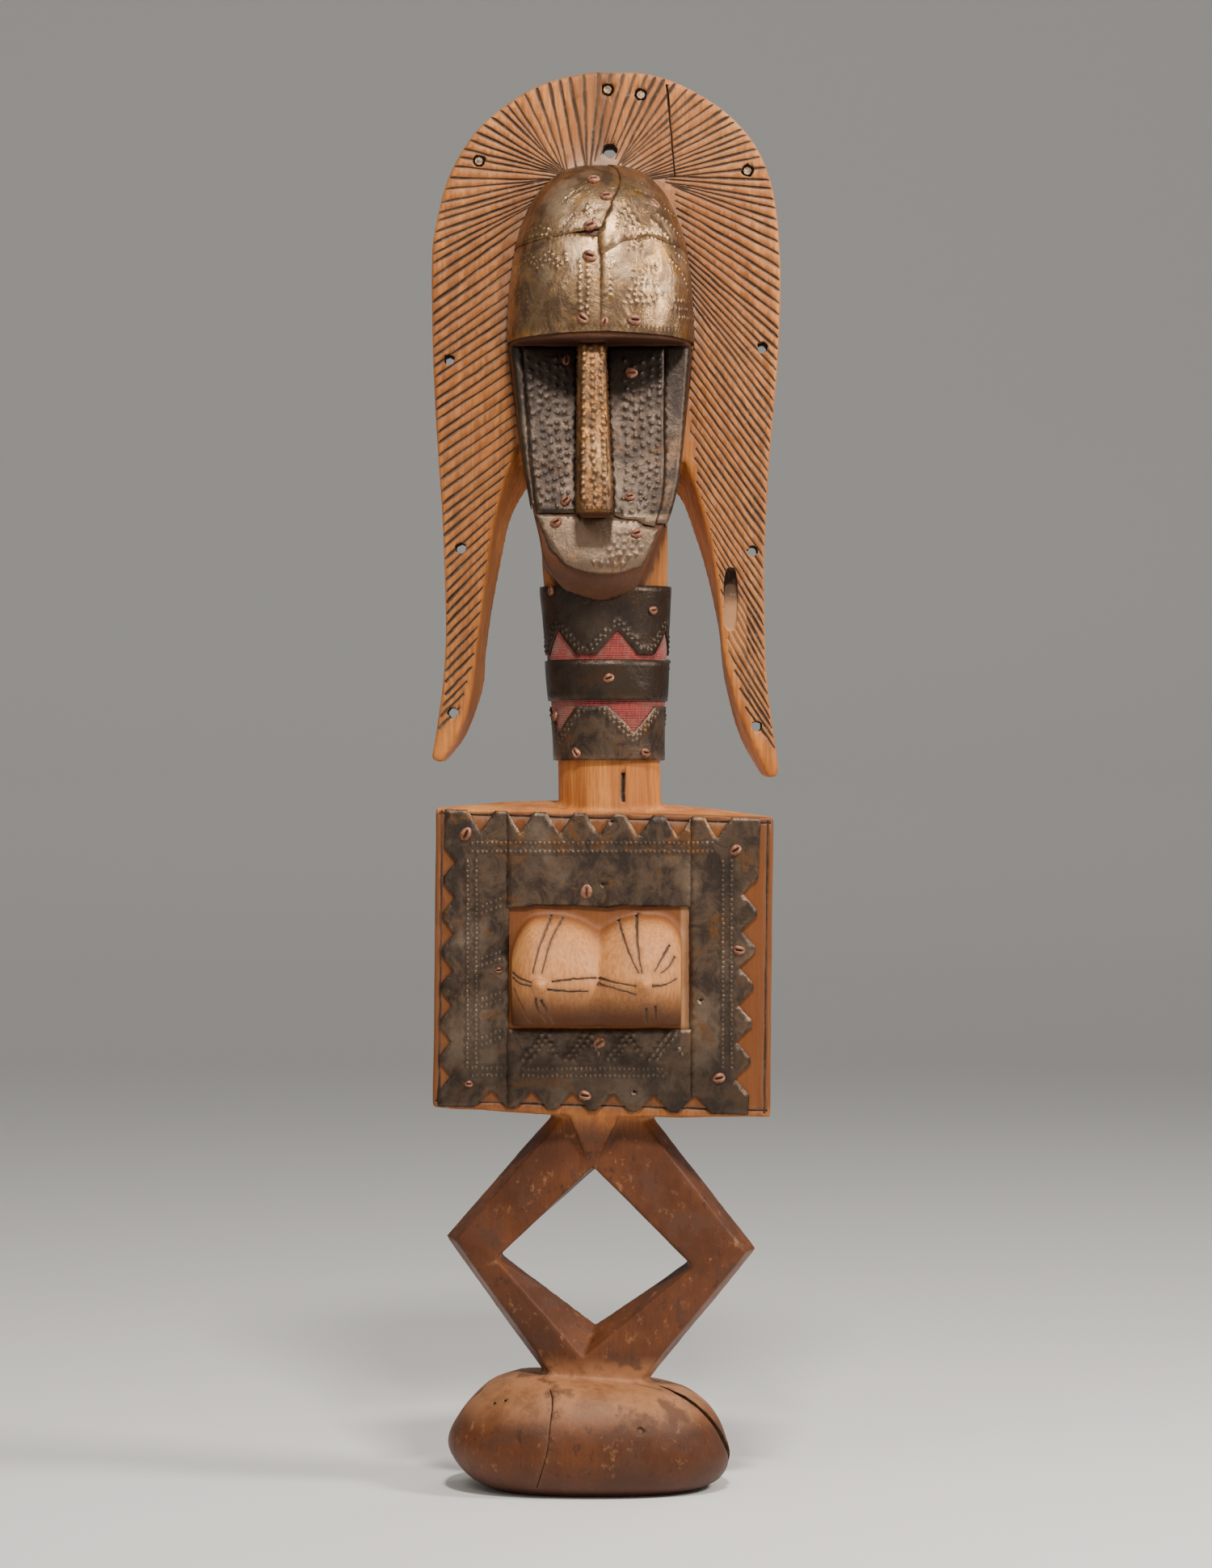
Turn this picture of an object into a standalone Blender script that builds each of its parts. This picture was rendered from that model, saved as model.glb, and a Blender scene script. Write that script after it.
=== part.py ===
"""Carved wooden guardian figure dressed in beaten metal sheets.

One block of wood makes the oval foot, the lozenge of bent legs, the square torso with
its breasts, the neck, the long head and the hood-like crest whose two lappets hang
beside the neck. Thin sheets are pinned over it with small folded clips, and a strip of
cloth is wound on the neck under the metal bands. Metres, Z up, the face looks along -Y,
and the origin lies on the ground under the middle of the torso.
"""
import math
import random

import bmesh
import bpy
from mathutils import Matrix, Vector
from mathutils.geometry import delaunay_2d_cdt

# Heights from the ground up: they add up to the whole figure
BASE_HEIGHT = 0.0455
LEGS_HEIGHT = 0.1136
TORSO_HEIGHT = 0.1250
NECK_SHOWN = 0.0875
FACE_HEIGHT = 0.1087
FOREHEAD_HEIGHT = 0.0751
CREST_RISE = 0.0406

# Widths from left to right
BASE_WIDTH = 0.1190
LEGS_WIDTH = 0.1310
TORSO_WIDTH = 0.1409
NECK_WIDTH = 0.0440
HEAD_WIDTH = 0.0768
CREST_WIDTH = 0.1470
NOSE_WIDTH = 0.0122

# Depths from front to back
BASE_DEPTH = 0.0900
LEGS_DEPTH = 0.0340
TORSO_DEPTH = 0.0400
TORSO_EDGE = 0.0120
NECK_DEPTH = 0.0406
CREST_THICKNESS = 0.0180
FOREHEAD_DEPTH = 0.0390
BREAST_DEPTH = 0.0225
FACE_FLARE = 0.0030

CREST_LENGTH = 0.2973
CREST_FRONT = -0.0020
TORSO_FRONT = -0.0220
FOREHEAD_KEEL = 0.0015

# Exponents of the rounded forms: the forehead's climb, its taper seen from the front, its
# bulge, its roundness seen from above, and the squareness of the foot
DOME_CLIMB = 0.83
DOME_TAPER = 2.5
DOME_SHOULDER = 2.6
DOME_BULGE = 2.2
DOME_ROUND = 0.87
FOOT_SQUARE = 1.2

# Carving
GROOVE_PITCH = 0.0053
GROOVE_WIDTH = 0.0013
GROOVE_DEPTH = 0.0009
GROOVE_SHIFT = 0.0005
GROOVE_OVERRUN = 0.0010
LINE_WIDTH = 0.0009
PROUD = 0.0004
HANGING_HOLE = 0.0060
RIM_HOLE = 0.0044
PEG_HOLE = 0.0054
SLOT_WIDTH = 0.0060
SLOT_HEIGHT = 0.0265
SLOT_DEPTH = 0.0070
CRACK_WIDTH = 0.0006
CRACK_DEPTH = 0.0030
WORN_WIDTH = 0.0022
WORN_DEPTH = 0.0026
SPLIT_WIDTH = 0.0020
SPLIT_DEPTH = 0.0110

# Metal, cloth and pins
SHEET = 0.0008
CLOTH = 0.0008
GAP = 0.0003
LAY = 0.0005
SEAM = 0.0004
CLIP_LENGTH = 0.0062
CLIP_WIDTH = 0.0048
CLIP_RISE = 0.0020
PEG_WIDTH = 0.0034
PEG_LENGTH = 0.0040
PEG_SUNK = 0.0012
TOP_NOTCH = 0.0102
BOTTOM_NOTCH = 0.0109
WINDOW_WIDTH = 0.0751
WINDOW_HEIGHT = 0.0512
TOOTH = 0.0090
NAIL_HOLE = 0.0014
LEDGE_LEFT = 0.0012
LEDGE_RIGHT = 0.0034
BED = 0.0006
ROOT = 0.0040
BAR_SIDES = 8

Z_TORSO = BASE_HEIGHT + LEGS_HEIGHT
Z_NECK = Z_TORSO + TORSO_HEIGHT
Z_CHIN = Z_NECK + NECK_SHOWN
Z_BROW = Z_CHIN + FACE_HEIGHT
Z_DOME = Z_BROW + FOREHEAD_HEIGHT
Z_TOP = Z_DOME + CREST_RISE
HEAD_X = -0.0024
BREAST_X = -0.0029
NECK_X = 0.0017
BASE_Y = -0.0010
BREAST_TIPS = {-1: -0.33, 1: 0.0}
BREAST_JOIN = 0.70
BREAST_EDGE = 0.22
WINDOW_Z = Z_TORSO + 0.481 * TORSO_HEIGHT
CREST_BACK = CREST_FRONT + CREST_THICKNESS
CREST_MIDDLE = CREST_FRONT + 0.35 * CREST_THICKNESS

# Crest outline as shares of its half width and of its length, from the left tip over the top
CREST_OUTER = [
    (-1.003, 0.026), (-0.968, 0.072), (-0.933, 0.139), (-0.920, 0.227), (-0.937, 0.365),
    (-0.964, 0.461), (-0.988, 0.564), (-1.000, 0.720), (-0.974, 0.786), (-0.886, 0.862),
    (-0.701, 0.928), (-0.420, 0.978), (-0.125, 0.999), (0.023, 1.000), (0.260, 0.997),
    (0.542, 0.969), (0.807, 0.914), (0.956, 0.837), (1.000, 0.720), (0.984, 0.587),
    (0.941, 0.461), (0.913, 0.338), (0.910, 0.216), (0.928, 0.130), (0.978, 0.037),
    (0.984, 0.005), (0.928, 0.000),
]
# Inner edges of the lappets from the jaw down, on the front and on the back of the plank
LEFT_FRONT = [
    (-0.464, 0.495), (-0.541, 0.452), (-0.594, 0.412), (-0.660, 0.338), (-0.710, 0.242),
    (-0.752, 0.154), (-0.796, 0.095), (-0.868, 0.052), (-0.944, 0.021),
]
LEFT_BACK = [
    (-0.394, 0.427), (-0.470, 0.405), (-0.553, 0.365), (-0.606, 0.306), (-0.654, 0.244),
    (-0.689, 0.183), (-0.710, 0.125), (-0.807, 0.060), (-0.928, 0.022),
]
RIGHT_FRONT = [
    (0.394, 0.495), (0.456, 0.449), (0.530, 0.397), (0.599, 0.332), (0.648, 0.246),
    (0.667, 0.185), (0.717, 0.130), (0.803, 0.068), (0.903, 0.016),
]
RIGHT_BACK = [
    (0.348, 0.415), (0.436, 0.395), (0.510, 0.344), (0.586, 0.283), (0.648, 0.216),
    (0.667, 0.169), (0.686, 0.135), (0.766, 0.062), (0.891, 0.006),
]

# Leading incised lines of the crest, outer end then inner end, in the same shares
LEFT_LINES = [
    ((-0.042, 1.001), (-0.090, 0.865)), ((-0.130, 0.998), (-0.111, 0.870)),
    ((-0.209, 0.994), (-0.116, 0.865)), ((-0.325, 0.984), (-0.227, 0.865)),
    ((-0.468, 0.969), (-0.260, 0.866)), ((-0.524, 0.961), (-0.274, 0.862)),
    ((-0.612, 0.948), (-0.274, 0.868)), ((-0.751, 0.914), (-0.288, 0.862)),
    ((-0.835, 0.880), (-0.279, 0.856)), ((-0.881, 0.851), (-0.316, 0.848)),
    ((-0.937, 0.815), (-0.362, 0.846)), ((-0.969, 0.788), (-0.376, 0.835)),
    ((-0.974, 0.775), (-0.390, 0.825)), ((-0.983, 0.730), (-0.464, 0.805)),
    ((-0.987, 0.693), (-0.505, 0.778)), ((-0.992, 0.657), (-0.536, 0.737)),
    ((-0.978, 0.506), (-0.530, 0.578)), ((-0.932, 0.390), (-0.545, 0.462)),
    ((-0.905, 0.250), (-0.640, 0.318)), ((-0.915, 0.120), (-0.765, 0.158)),
    ((-0.965, 0.055), (-0.865, 0.080)),
]
RIGHT_LINES = [
    ((0.023, 0.998), (-0.056, 0.884)), ((0.102, 1.000), (-0.014, 0.898)),
    ((0.237, 0.997), (0.070, 0.902)), ((0.329, 0.990), (0.079, 0.874)),
    ((0.468, 0.977), (0.116, 0.881)), ((0.603, 0.954), (0.107, 0.868)),
    ((0.710, 0.938), (0.172, 0.862)), ((0.789, 0.922), (0.199, 0.856)),
    ((0.858, 0.904), (0.227, 0.852)), ((0.895, 0.882), (0.227, 0.848)),
    ((0.932, 0.847), (0.385, 0.852)), ((0.955, 0.822), (0.399, 0.842)),
    ((0.979, 0.777), (0.410, 0.836)), ((0.984, 0.708), (0.440, 0.792)),
    ((0.978, 0.640), (0.480, 0.742)), ((0.955, 0.520), (0.500, 0.670)),
    ((0.930, 0.400), (0.490, 0.550)), ((0.905, 0.280), (0.545, 0.410)),
    ((0.900, 0.170), (0.640, 0.290)), ((0.935, 0.085), (0.700, 0.180)),
    ((0.968, 0.030), (0.830, 0.075)),
]
RIM_HOLES = [
    (-0.900, 0.593), (0.896, 0.610), (-0.831, 0.326),
    (0.840, 0.321), (-0.877, 0.092), (0.868, 0.073),
]
PEG_HOLES = [(0.009, 0.976), (0.200, 0.969), (-0.729, 0.875), (0.812, 0.861)]
HANGING_PLACE = (0.023, 0.889)
SLOT_PLACE = (0.715, 0.253)

# Face from the brow down, in shares of its height: middle, half width, depth and roundness
FACE_MIDDLE = [(0.0, 0.0), (0.25, 0.01), (0.58, 0.02), (0.74, -0.01), (0.85, -0.04), (1.0, 0.01)]
FACE_HALF = [
    (-0.05, 0.950), (0.034, 0.940), (0.249, 0.887), (0.465, 0.830), (0.575, 0.782), (0.655, 0.734),
    (0.742, 0.655), (0.849, 0.560), (0.929, 0.437), (0.972, 0.320), (0.994, 0.175), (1.0, 0.090),
]
FACE_DEPTH = [
    (-0.05, 0.100), (0.0, 0.108), (0.25, 0.153), (0.5, 0.225), (0.65, 0.279),
    (0.8, 0.324), (0.87, 0.333), (0.93, 0.306), (1.0, 0.234),
]
FACE_ROUND = [(0.0, 0.018), (0.45, 0.006), (0.8, -0.036), (1.0, -0.050)]
NOSE_END = 0.667
JAW_START = 0.62
NOSE_MIDDLE = [(0.0, -0.093), (1.0, -0.060)]
NOSE_HALF = [(0.0, 0.80), (1.0, 1.12)]
NOSE_DEPTH = [(0.0, 0.295), (1.0, 0.437)]

# Neck half width from the torso to the jaw, in shares of the shown height and of the width
NECK_SWELL = [
    (-0.1, 0.99), (0.0, 0.98), (0.40, 0.99), (0.62, 1.06), (0.90, 1.12), (1.17, 1.20), (1.60, 1.22),
]
# Foot from the ground up: height, then left and right reach in shares of the half width
BASE_PROFILE = [
    (0.00, -0.79, 0.655), (0.09, -0.946, 0.802), (0.286, -1.082, 0.877), (0.46, -1.118, 0.850),
    (0.68, -1.032, 0.775), (0.857, -0.906, 0.655), (0.967, -0.79, 0.50), (1.03, -0.63, 0.20),
]
# Lozenge corners, left, top, right and bottom, in shares of half the width and of the height
LEG_OUTER = [(-1.031, 0.527), (-0.011, 1.200), (0.968, 0.480), (-0.066, -0.245)]
LEG_HOLE_FRONT = [(-0.702, 0.455), (-0.089, 0.795), (0.557, 0.427), (-0.151, 0.086)]
LEG_HOLE_MIDDLE = [(-0.679, 0.462), (-0.052, 0.785), (0.534, 0.430), (-0.067, 0.198)]

TORSO_X = -0.0012
TORSO_LEAN = 0.0007
TORSO_SLOPE = 0.0020
TORSO_TOP_RISE = 0.0050
TORSO_SAG = 0.0018
BORDER = 0.0026
# How far the corners of the metal frame lie inside the torso front, sideways and in height
FRAME_INSET = {
    "top_left": (0.0037, 0.0006), "top_right": (0.0054, 0.0004),
    "bottom_left": (0.0021, 0.0004), "bottom_right": (0.0092, 0.0008),
}

# Seams of the forehead sheets as left-right angle and upward angle
FOREHEAD_SEAM = [(0.0, 0.02), (0.0, 0.20), (-0.015, 0.40), (-0.023, 0.53)]
CROWN_SEAM = [(0.0, 0.58), (0.07, 0.71), (0.128, 0.81), (0.244, 0.95), (0.317, 1.07), (0.45, 1.50)]
LEFT_CROSS_SEAM = [(-1.52, 0.48), (-0.99, 0.50), (-0.38, 0.54)]
FLAP_SEAM = [(0.005, 0.40), (0.224, 0.49), (0.406, 0.51), (0.527, 0.535), (1.0, 0.485), (1.52, 0.45)]

# Edges of the neck bands and of the cloth from the chin up, in shares of the shown neck
BAND_LEVELS = (0.1080, -0.2491, -0.4869, -0.7749)
CLOTH_LEVELS = (-0.0754, -0.6697)

# Clips: across and up in shares of the form they lie on, then their size
FOREHEAD_CLIPS = [
    (-0.070, 0.889, 0.9), (0.063, 0.788, 0.9), (-0.107, 0.617, 0.95), (-0.115, 0.447, 1.0),
    (-0.185, 0.107, 0.9), (0.044, 0.085, 0.7), (0.359, 0.099, 0.95), (0.573, 0.759, 0.8),
]
FACE_CLIPS = [
    (-0.365, -0.062, 0.75), (0.336, -0.112, 0.8), (-0.375, -0.612, 0.8), (0.320, -0.596, 0.75),
    (-0.479, -0.696, 0.85), (0.396, -0.739, 0.8),
]
NECK_CLIPS = [
    (-1.055, 0.062, 0.7), (0.914, -0.034, 0.75), (0.023, -0.360, 0.8),
    (-1.068, -0.538, 0.7), (-0.668, -0.715, 0.8), (0.745, -0.715, 0.75),
]
# On the torso the window ends at 1 and the torso at 2, from its middle outwards
TORSO_CLIPS = [
    (-1.58, 1.77, 1.0), (1.56, 1.60, 0.9), (-0.14, 1.16, 0.95), (-1.14, -0.04, 0.55),
    (1.60, 0.29, 0.85), (1.36, -1.59, 0.9), (-1.54, -1.66, 0.6), (-0.16, -1.80, 0.9),
    (0.00, -1.16, 0.9),
]
TORSO_NAIL_HOLES = [(0.14, 1.91), (0.04, 1.24), (0.39, -1.75), (1.14, -0.52)]

# Incised lines of the breasts, in shares of half the window from its middle
BREAST_LINES = [
    [(-0.53, 0.86), (-0.60, 0.59), (-0.67, 0.33), (-0.73, -0.06)],
    [(-0.40, 0.84), (-0.48, 0.62), (-0.55, 0.39), (-0.63, -0.06)],
    [(0.21, 0.84), (0.26, 0.56), (0.34, 0.23), (0.43, -0.06)],
    [(0.42, 0.86), (0.42, 0.52), (0.44, 0.20), (0.47, -0.06)],
    [(0.78, 0.39), (0.70, 0.20), (0.61, -0.03)], [(0.84, 0.20), (0.77, 0.04), (0.68, -0.06)],
    [(-0.52, -0.19), (-0.28, -0.15), (-0.03, -0.14)], [(-0.57, -0.32), (-0.32, -0.35), (-0.12, -0.35)],
    [(-0.01, -0.14), (0.19, -0.21), (0.41, -0.27)], [(-0.02, -0.23), (0.19, -0.31), (0.41, -0.40)],
    [(-0.96, -0.06), (-0.88, -0.14), (-0.74, -0.21)], [(-0.96, -0.14), (-0.88, -0.22), (-0.74, -0.27)],
    [(0.58, -0.27), (0.74, -0.24), (0.86, -0.15)], [(-0.70, -0.45), (-0.67, -0.65), (-0.57, -0.90)],
    [(-0.64, -0.48), (-0.57, -0.68), (-0.50, -0.90)], [(-0.94, -0.32), (-0.88, -0.52), (-0.77, -0.88)],
    [(0.52, -0.62), (0.53, -0.88)], [(0.62, -0.58), (0.63, -0.81)],
]

# Cracks: of the crest in its outline shares, of the foot in shares of half its width and height
CREST_CRACK = [(0.348, 0.983), (0.395, 0.852)]
FOOT_CRACK = [
    (-0.390, 0.96), (-0.373, 0.86), (-0.390, 0.66), (-0.407, 0.46), (-0.447, 0.26), (-0.481, 0.10),
]
# Slot worn in the neck: left-right share, depth share, and heights in shares of the shown neck
WORN_PLACE = (0.323, 0.94)
WORN_HEIGHTS = (0.19, 0.10, 0.05)
# Split of the foot: turn from the front in degrees and share of the height at both ends
SPLIT_ENDS = [(62, 0.97), (88, 0.20)]


def clear_scene():
    """Remove every object that the open file holds."""
    for item in list(bpy.data.objects):
        bpy.data.objects.remove(item, do_unlink=True)


def new_collection(name, hidden=False):
    """Add a collection to the scene; a hidden one is for cutters and joined forms."""
    made = bpy.data.collections.new(name)
    bpy.context.scene.collection.children.link(made)
    made.hide_render = hidden
    return made


def material(name, colour, roughness, metallic=0.0):
    """Make a plain Principled material."""
    made = bpy.data.materials.new(name)
    made.use_nodes = True
    shader = made.node_tree.nodes["Principled BSDF"]
    shader.inputs["Base Color"].default_value = (*colour, 1.0)
    shader.inputs["Roughness"].default_value = roughness
    shader.inputs["Metallic"].default_value = metallic
    made.diffuse_color = (*colour, 1.0)
    return made


def add_object(name, data, collection, finish=None):
    """Link a mesh or curve as an object; without a finish it is a helper."""
    made = bpy.data.objects.new(name, data)
    collection.objects.link(made)
    if finish is None:
        made.hide_render = True
        made.display_type = "WIRE"
    else:
        data.materials.append(finish)
    return made


def mesh_from(bm, name):
    """Turn a bmesh into a mesh with outward faces."""
    bmesh.ops.recalc_face_normals(bm, faces=bm.faces)
    data = bpy.data.meshes.new(name)
    bm.to_mesh(data)
    bm.free()
    return data


def smooth_path(points, parts):
    """Points of a smooth curve through the given ones, with so many parts to each span."""
    path = [Vector(point) for point in points]
    ends = [2 * path[0] - path[1]] + path + [2 * path[-1] - path[-2]]
    curve = []
    for before, start, end, after in zip(ends, ends[1:], ends[2:], ends[3:]):
        for step in range(parts):
            t = step / parts
            curve.append(0.5 * (
                2 * start + (end - before) * t
                + (2 * before - 5 * start + 4 * end - after) * t ** 2
                + (3 * start - before - 3 * end + after) * t ** 3))
    return curve + [path[-1]]


def along(keys, place):
    """Value at a place between keys of place and value, eased through each key."""
    if place <= keys[0][0]:
        return keys[0][1]
    if place >= keys[-1][0]:
        return keys[-1][1]
    index = next(i for i in range(1, len(keys)) if place <= keys[i][0])

    def slope(i):
        low, high = keys[max(i - 1, 0)], keys[min(i + 1, len(keys) - 1)]
        return (high[1] - low[1]) / (high[0] - low[0])

    (a, low), (b, high) = keys[index - 1], keys[index]
    span = b - a
    t = (place - a) / span
    return (
        (1 + 2 * t) * (1 - t) ** 2 * low + t * (1 - t) ** 2 * span * slope(index - 1)
        + t ** 2 * (3 - 2 * t) * high + t ** 2 * (t - 1) * span * slope(index))


def spread(low, high, count):
    """Evenly spaced values from low to high, both included."""
    return [low + (high - low) * step / (count - 1) for step in range(count)]


def loft(name, rings, closed=False):
    """Skin rings of equal count; the ends are capped unless the rings close on themselves."""
    bm = bmesh.new()
    loops = [[bm.verts.new(point) for point in ring] for ring in rings]
    pairs = list(zip(loops, loops[1:]))
    if closed:
        pairs.append((loops[-1], loops[0]))
    for near, far in pairs:
        for i in range(len(near)):
            j = (i + 1) % len(near)
            bm.faces.new((near[i], near[j], far[j], far[i]))
    if not closed:
        bm.faces.new(loops[0])
        bm.faces.new(loops[-1])
    bmesh.ops.triangulate(bm, faces=[face for face in bm.faces if len(face.verts) == 4])
    return mesh_from(bm, name)


def combine(target, operation, collection):
    """Join to a solid, or take from it, everything in a collection."""
    step = target.modifiers.new(operation.lower(), "BOOLEAN")
    step.operation = operation
    step.operand_type = "COLLECTION"
    step.collection = collection
    step.solver = "EXACT"


def crest_point(share, y=CREST_FRONT):
    """Point of the crest plank from its outline shares."""
    return Vector((share[0] * CREST_WIDTH / 2, y, Z_TOP - CREST_LENGTH * (1 - share[1])))


def dome_half(rise):
    """Half width of the forehead at a share of its height."""
    return HEAD_WIDTH / 2 * max(1 - rise ** DOME_TAPER, 0.0) ** (1 / DOME_SHOULDER)


def dome_point(theta, phi, grow=0.0):
    """Point of the forehead: theta runs from left to right, phi from the brow to the top."""
    rise = max(math.sin(phi), 0.0) ** DOME_CLIMB
    wide = dome_half(rise) + grow
    deep = FOREHEAD_DEPTH * max(1 - rise ** DOME_BULGE, 0.0) ** (1 / DOME_BULGE) + grow
    side = abs(math.sin(theta)) ** DOME_ROUND
    front = max(math.cos(theta), 0.0) ** DOME_ROUND
    keel = FOREHEAD_KEEL * max(0.0, 1 - side / 0.35) * (1 - rise)
    return Vector((
        HEAD_X + math.copysign(wide * side, theta),
        CREST_FRONT - deep * front - keel,
        Z_BROW + (FOREHEAD_HEIGHT + grow) * rise))


def dome_angles(x, z):
    """The two angles at which the forehead passes through a place seen from the front."""
    rise = min(max((z - Z_BROW) / FOREHEAD_HEIGHT, 0.0), 0.999)
    side = min(max((x - HEAD_X) / dome_half(rise), -1.0), 1.0)
    theta = math.copysign(math.asin(abs(side) ** (1 / DOME_ROUND)), side)
    return theta, math.asin(rise ** (1 / DOME_CLIMB))


def face_point(across, down, grow=0.0):
    """Point of the face: across runs from -1 to 1, down from 0 at the brow to 1 at the chin."""
    half = HEAD_WIDTH / 2
    depth = along(FACE_DEPTH, down) + along(FACE_ROUND, down) * across ** 2
    return Vector((
        HEAD_X + half * (along(FACE_MIDDLE, down) + along(FACE_HALF, down) * across),
        CREST_FRONT - depth * FACE_HEIGHT - grow,
        Z_BROW - down * FACE_HEIGHT))


def nose_corners(down, grow=0.0):
    """Left base, left front, right front and right base of the nose at a share of its length."""
    middle = HEAD_X + along(NOSE_MIDDLE, down) * HEAD_WIDTH / 2
    half = along(NOSE_HALF, down) * NOSE_WIDTH / 2 + grow
    front = CREST_FRONT - along(NOSE_DEPTH, down) * FACE_HEIGHT - grow
    root = face_point(0.0, down * NOSE_END).y
    z = Z_BROW - down * NOSE_END * FACE_HEIGHT
    return [
        Vector((middle - half, root, z)),
        Vector((middle - half, front + 0.30 * half, z)),
        Vector((middle - 0.72 * half, front, z)),
        Vector((middle + 0.72 * half, front, z)),
        Vector((middle + half, front + 0.30 * half, z)),
        Vector((middle + half, root, z)),
    ]


def neck_point(angle, z, grow=0.0):
    """Point of the neck: angle 0 faces the front and grows to the right."""
    up = (z - Z_NECK) / NECK_SHOWN
    swell = along(NECK_SWELL, up)
    return Vector((
        NECK_X * (1 - up) + (NECK_WIDTH / 2 * swell + grow) * math.sin(angle),
        -(NECK_DEPTH / 2 * swell + grow) * math.cos(angle),
        z))


def torso_corner(side, height):
    """Left or right end of the torso front at a share of its height, as x and z."""
    x = TORSO_X + TORSO_LEAN * (2 * height - 1) + side * TORSO_WIDTH / 2
    return x, Z_TORSO + TORSO_HEIGHT * height - side * TORSO_SLOPE


def frame_place(across, up):
    """Place on the torso front: 1 is an edge of the window and 2 the edge of the torso."""
    x = BREAST_X + min(max(across, -1.0), 1.0) * WINDOW_WIDTH / 2
    z = WINDOW_Z + min(max(up, -1.0), 1.0) * WINDOW_HEIGHT / 2
    side = math.copysign(1.0, across)
    edge = TORSO_X + side * TORSO_WIDTH / 2
    x += max(abs(across) - 1, 0.0) * (edge - BREAST_X - side * WINDOW_WIDTH / 2)
    side = math.copysign(1.0, up)
    edge = Z_TORSO + TORSO_HEIGHT * (up > 0)
    z += max(abs(up) - 1, 0.0) * (edge - WINDOW_Z - side * WINDOW_HEIGHT / 2)
    return x, z


def base_reach(up):
    """Left and right reach of the foot at a share of its height."""
    left = along([(row[0], row[1]) for row in BASE_PROFILE], up)
    right = along([(row[0], row[2]) for row in BASE_PROFILE], up)
    return left * BASE_WIDTH / 2, right * BASE_WIDTH / 2


def base_point(angle, up, grow=0.0):
    """Point of the foot: angle 0 faces the front and grows to the right."""
    left, right = base_reach(up)
    half = (right - left) / 2
    deep = BASE_DEPTH / BASE_WIDTH * half
    x = math.copysign(abs(math.sin(angle)) ** (1 / FOOT_SQUARE), math.sin(angle)) * (half + grow)
    y = -math.copysign(abs(math.cos(angle)) ** (1 / FOOT_SQUARE), math.cos(angle)) * (deep + grow)
    tilt = 1 - 0.035 * max(up - 0.5, 0.0) * 2 * x / half
    return Vector(((left + right) / 2 + x, y + BASE_Y, BASE_HEIGHT * up * tilt))


def base_angle(x, up):
    """The angle at which the front of the foot passes through a left-right place."""
    left, right = base_reach(up)
    share = (x - (left + right) / 2) / ((right - left) / 2)
    return math.copysign(math.asin(min(abs(share), 1.0) ** FOOT_SQUARE), share)


def crest_plank():
    """The flat hood and its lappets, with inner sides that slant between front and back."""
    rings = []
    for right, left, y in (
            (RIGHT_FRONT, LEFT_FRONT, CREST_FRONT), (RIGHT_BACK, LEFT_BACK, CREST_BACK)):
        outline = smooth_path(CREST_OUTER, 3)
        outline += smooth_path(right[::-1], 2) + smooth_path(left, 2)
        rings.append([crest_point(share, y) for share in outline])
    return loft("crest_plank", rings)


def forehead():
    """The domed brow, flat below and sunk into the plank behind."""
    rings = []
    for phi in spread(0.0, math.radians(88), 11):
        front = [dome_point(theta, phi) for theta in spread(-math.pi / 2, math.pi / 2, 19)]
        ends = [Vector((front[i].x, CREST_MIDDLE, front[i].z)) for i in (-1, 0)]
        rings.append(front + ends)
    return loft("forehead", rings)


def face():
    """The long hollow-cheeked face; above the jaw its sides flare towards the crest."""
    rings = []
    for down in (-0.03, 0.15, 0.3, 0.45, 0.6, 0.68, 0.76, 0.84, 0.89, 0.93, 0.965, 0.985, 0.998):
        front = [face_point(across, down) for across in spread(-1.0, 1.0, 11)]
        flare = FACE_FLARE * max(1 - down / JAW_START, 0.0)
        ends = [
            Vector((front[i].x + side * flare, CREST_MIDDLE, front[i].z))
            for i, side in ((-1, 1), (0, -1))]
        rings.append(front + ends)
    return loft("face", rings)


def nose():
    """The straight nose, cut flat at its tip."""
    rings = []
    for down in [-0.03] + spread(0.0, 1.0, 4):
        ring = nose_corners(max(down, 0.0))
        for point in ring:
            point.z = Z_BROW - down * NOSE_END * FACE_HEIGHT
        for end in (0, -1):
            ring[end].y = CREST_MIDDLE
        rings.append(ring)
    return loft("nose", rings)


def neck():
    """The round neck, which runs up behind the jaw and fades out on the back of the crest."""
    low = Z_NECK - ROOT
    high = Z_CHIN + 0.48 * FACE_HEIGHT
    angles = [math.tau * step / 24 for step in range(24)]
    rings = [[neck_point(angle, z) for angle in angles] for z in spread(low, high, 5)]
    fade = []
    for point in rings[-1]:
        y = max(min(point.y, CREST_BACK - 0.1 * CREST_THICKNESS), CREST_FRONT)
        fade.append(Vector((0.7 * point.x, y, point.z + 0.28 * FACE_HEIGHT)))
    return loft("neck", rings + [fade])


def torso():
    """The square body: flat in front, arched behind, with a top that climbs to the back."""
    rings = []
    for across in spread(-1.0, 1.0, 13):
        arch = 1 - across ** 2
        back = TORSO_FRONT + TORSO_EDGE + (TORSO_DEPTH - TORSO_EDGE) * arch ** 0.8
        ring = []
        sag = -TORSO_SAG * arch
        for height, y, rise in ((0, TORSO_FRONT, sag), (1, TORSO_FRONT, 0),
                                (1, back, TORSO_TOP_RISE * arch), (0, back, sag)):
            (left, z_left), (right, z_right) = torso_corner(-1, height), torso_corner(1, height)
            share = (across + 1) / 2
            ring.append(Vector((
                left + (right - left) * share, y, z_left + (z_right - z_left) * share + rise)))
        rings.append(ring)
    return loft("torso", rings)


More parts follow.
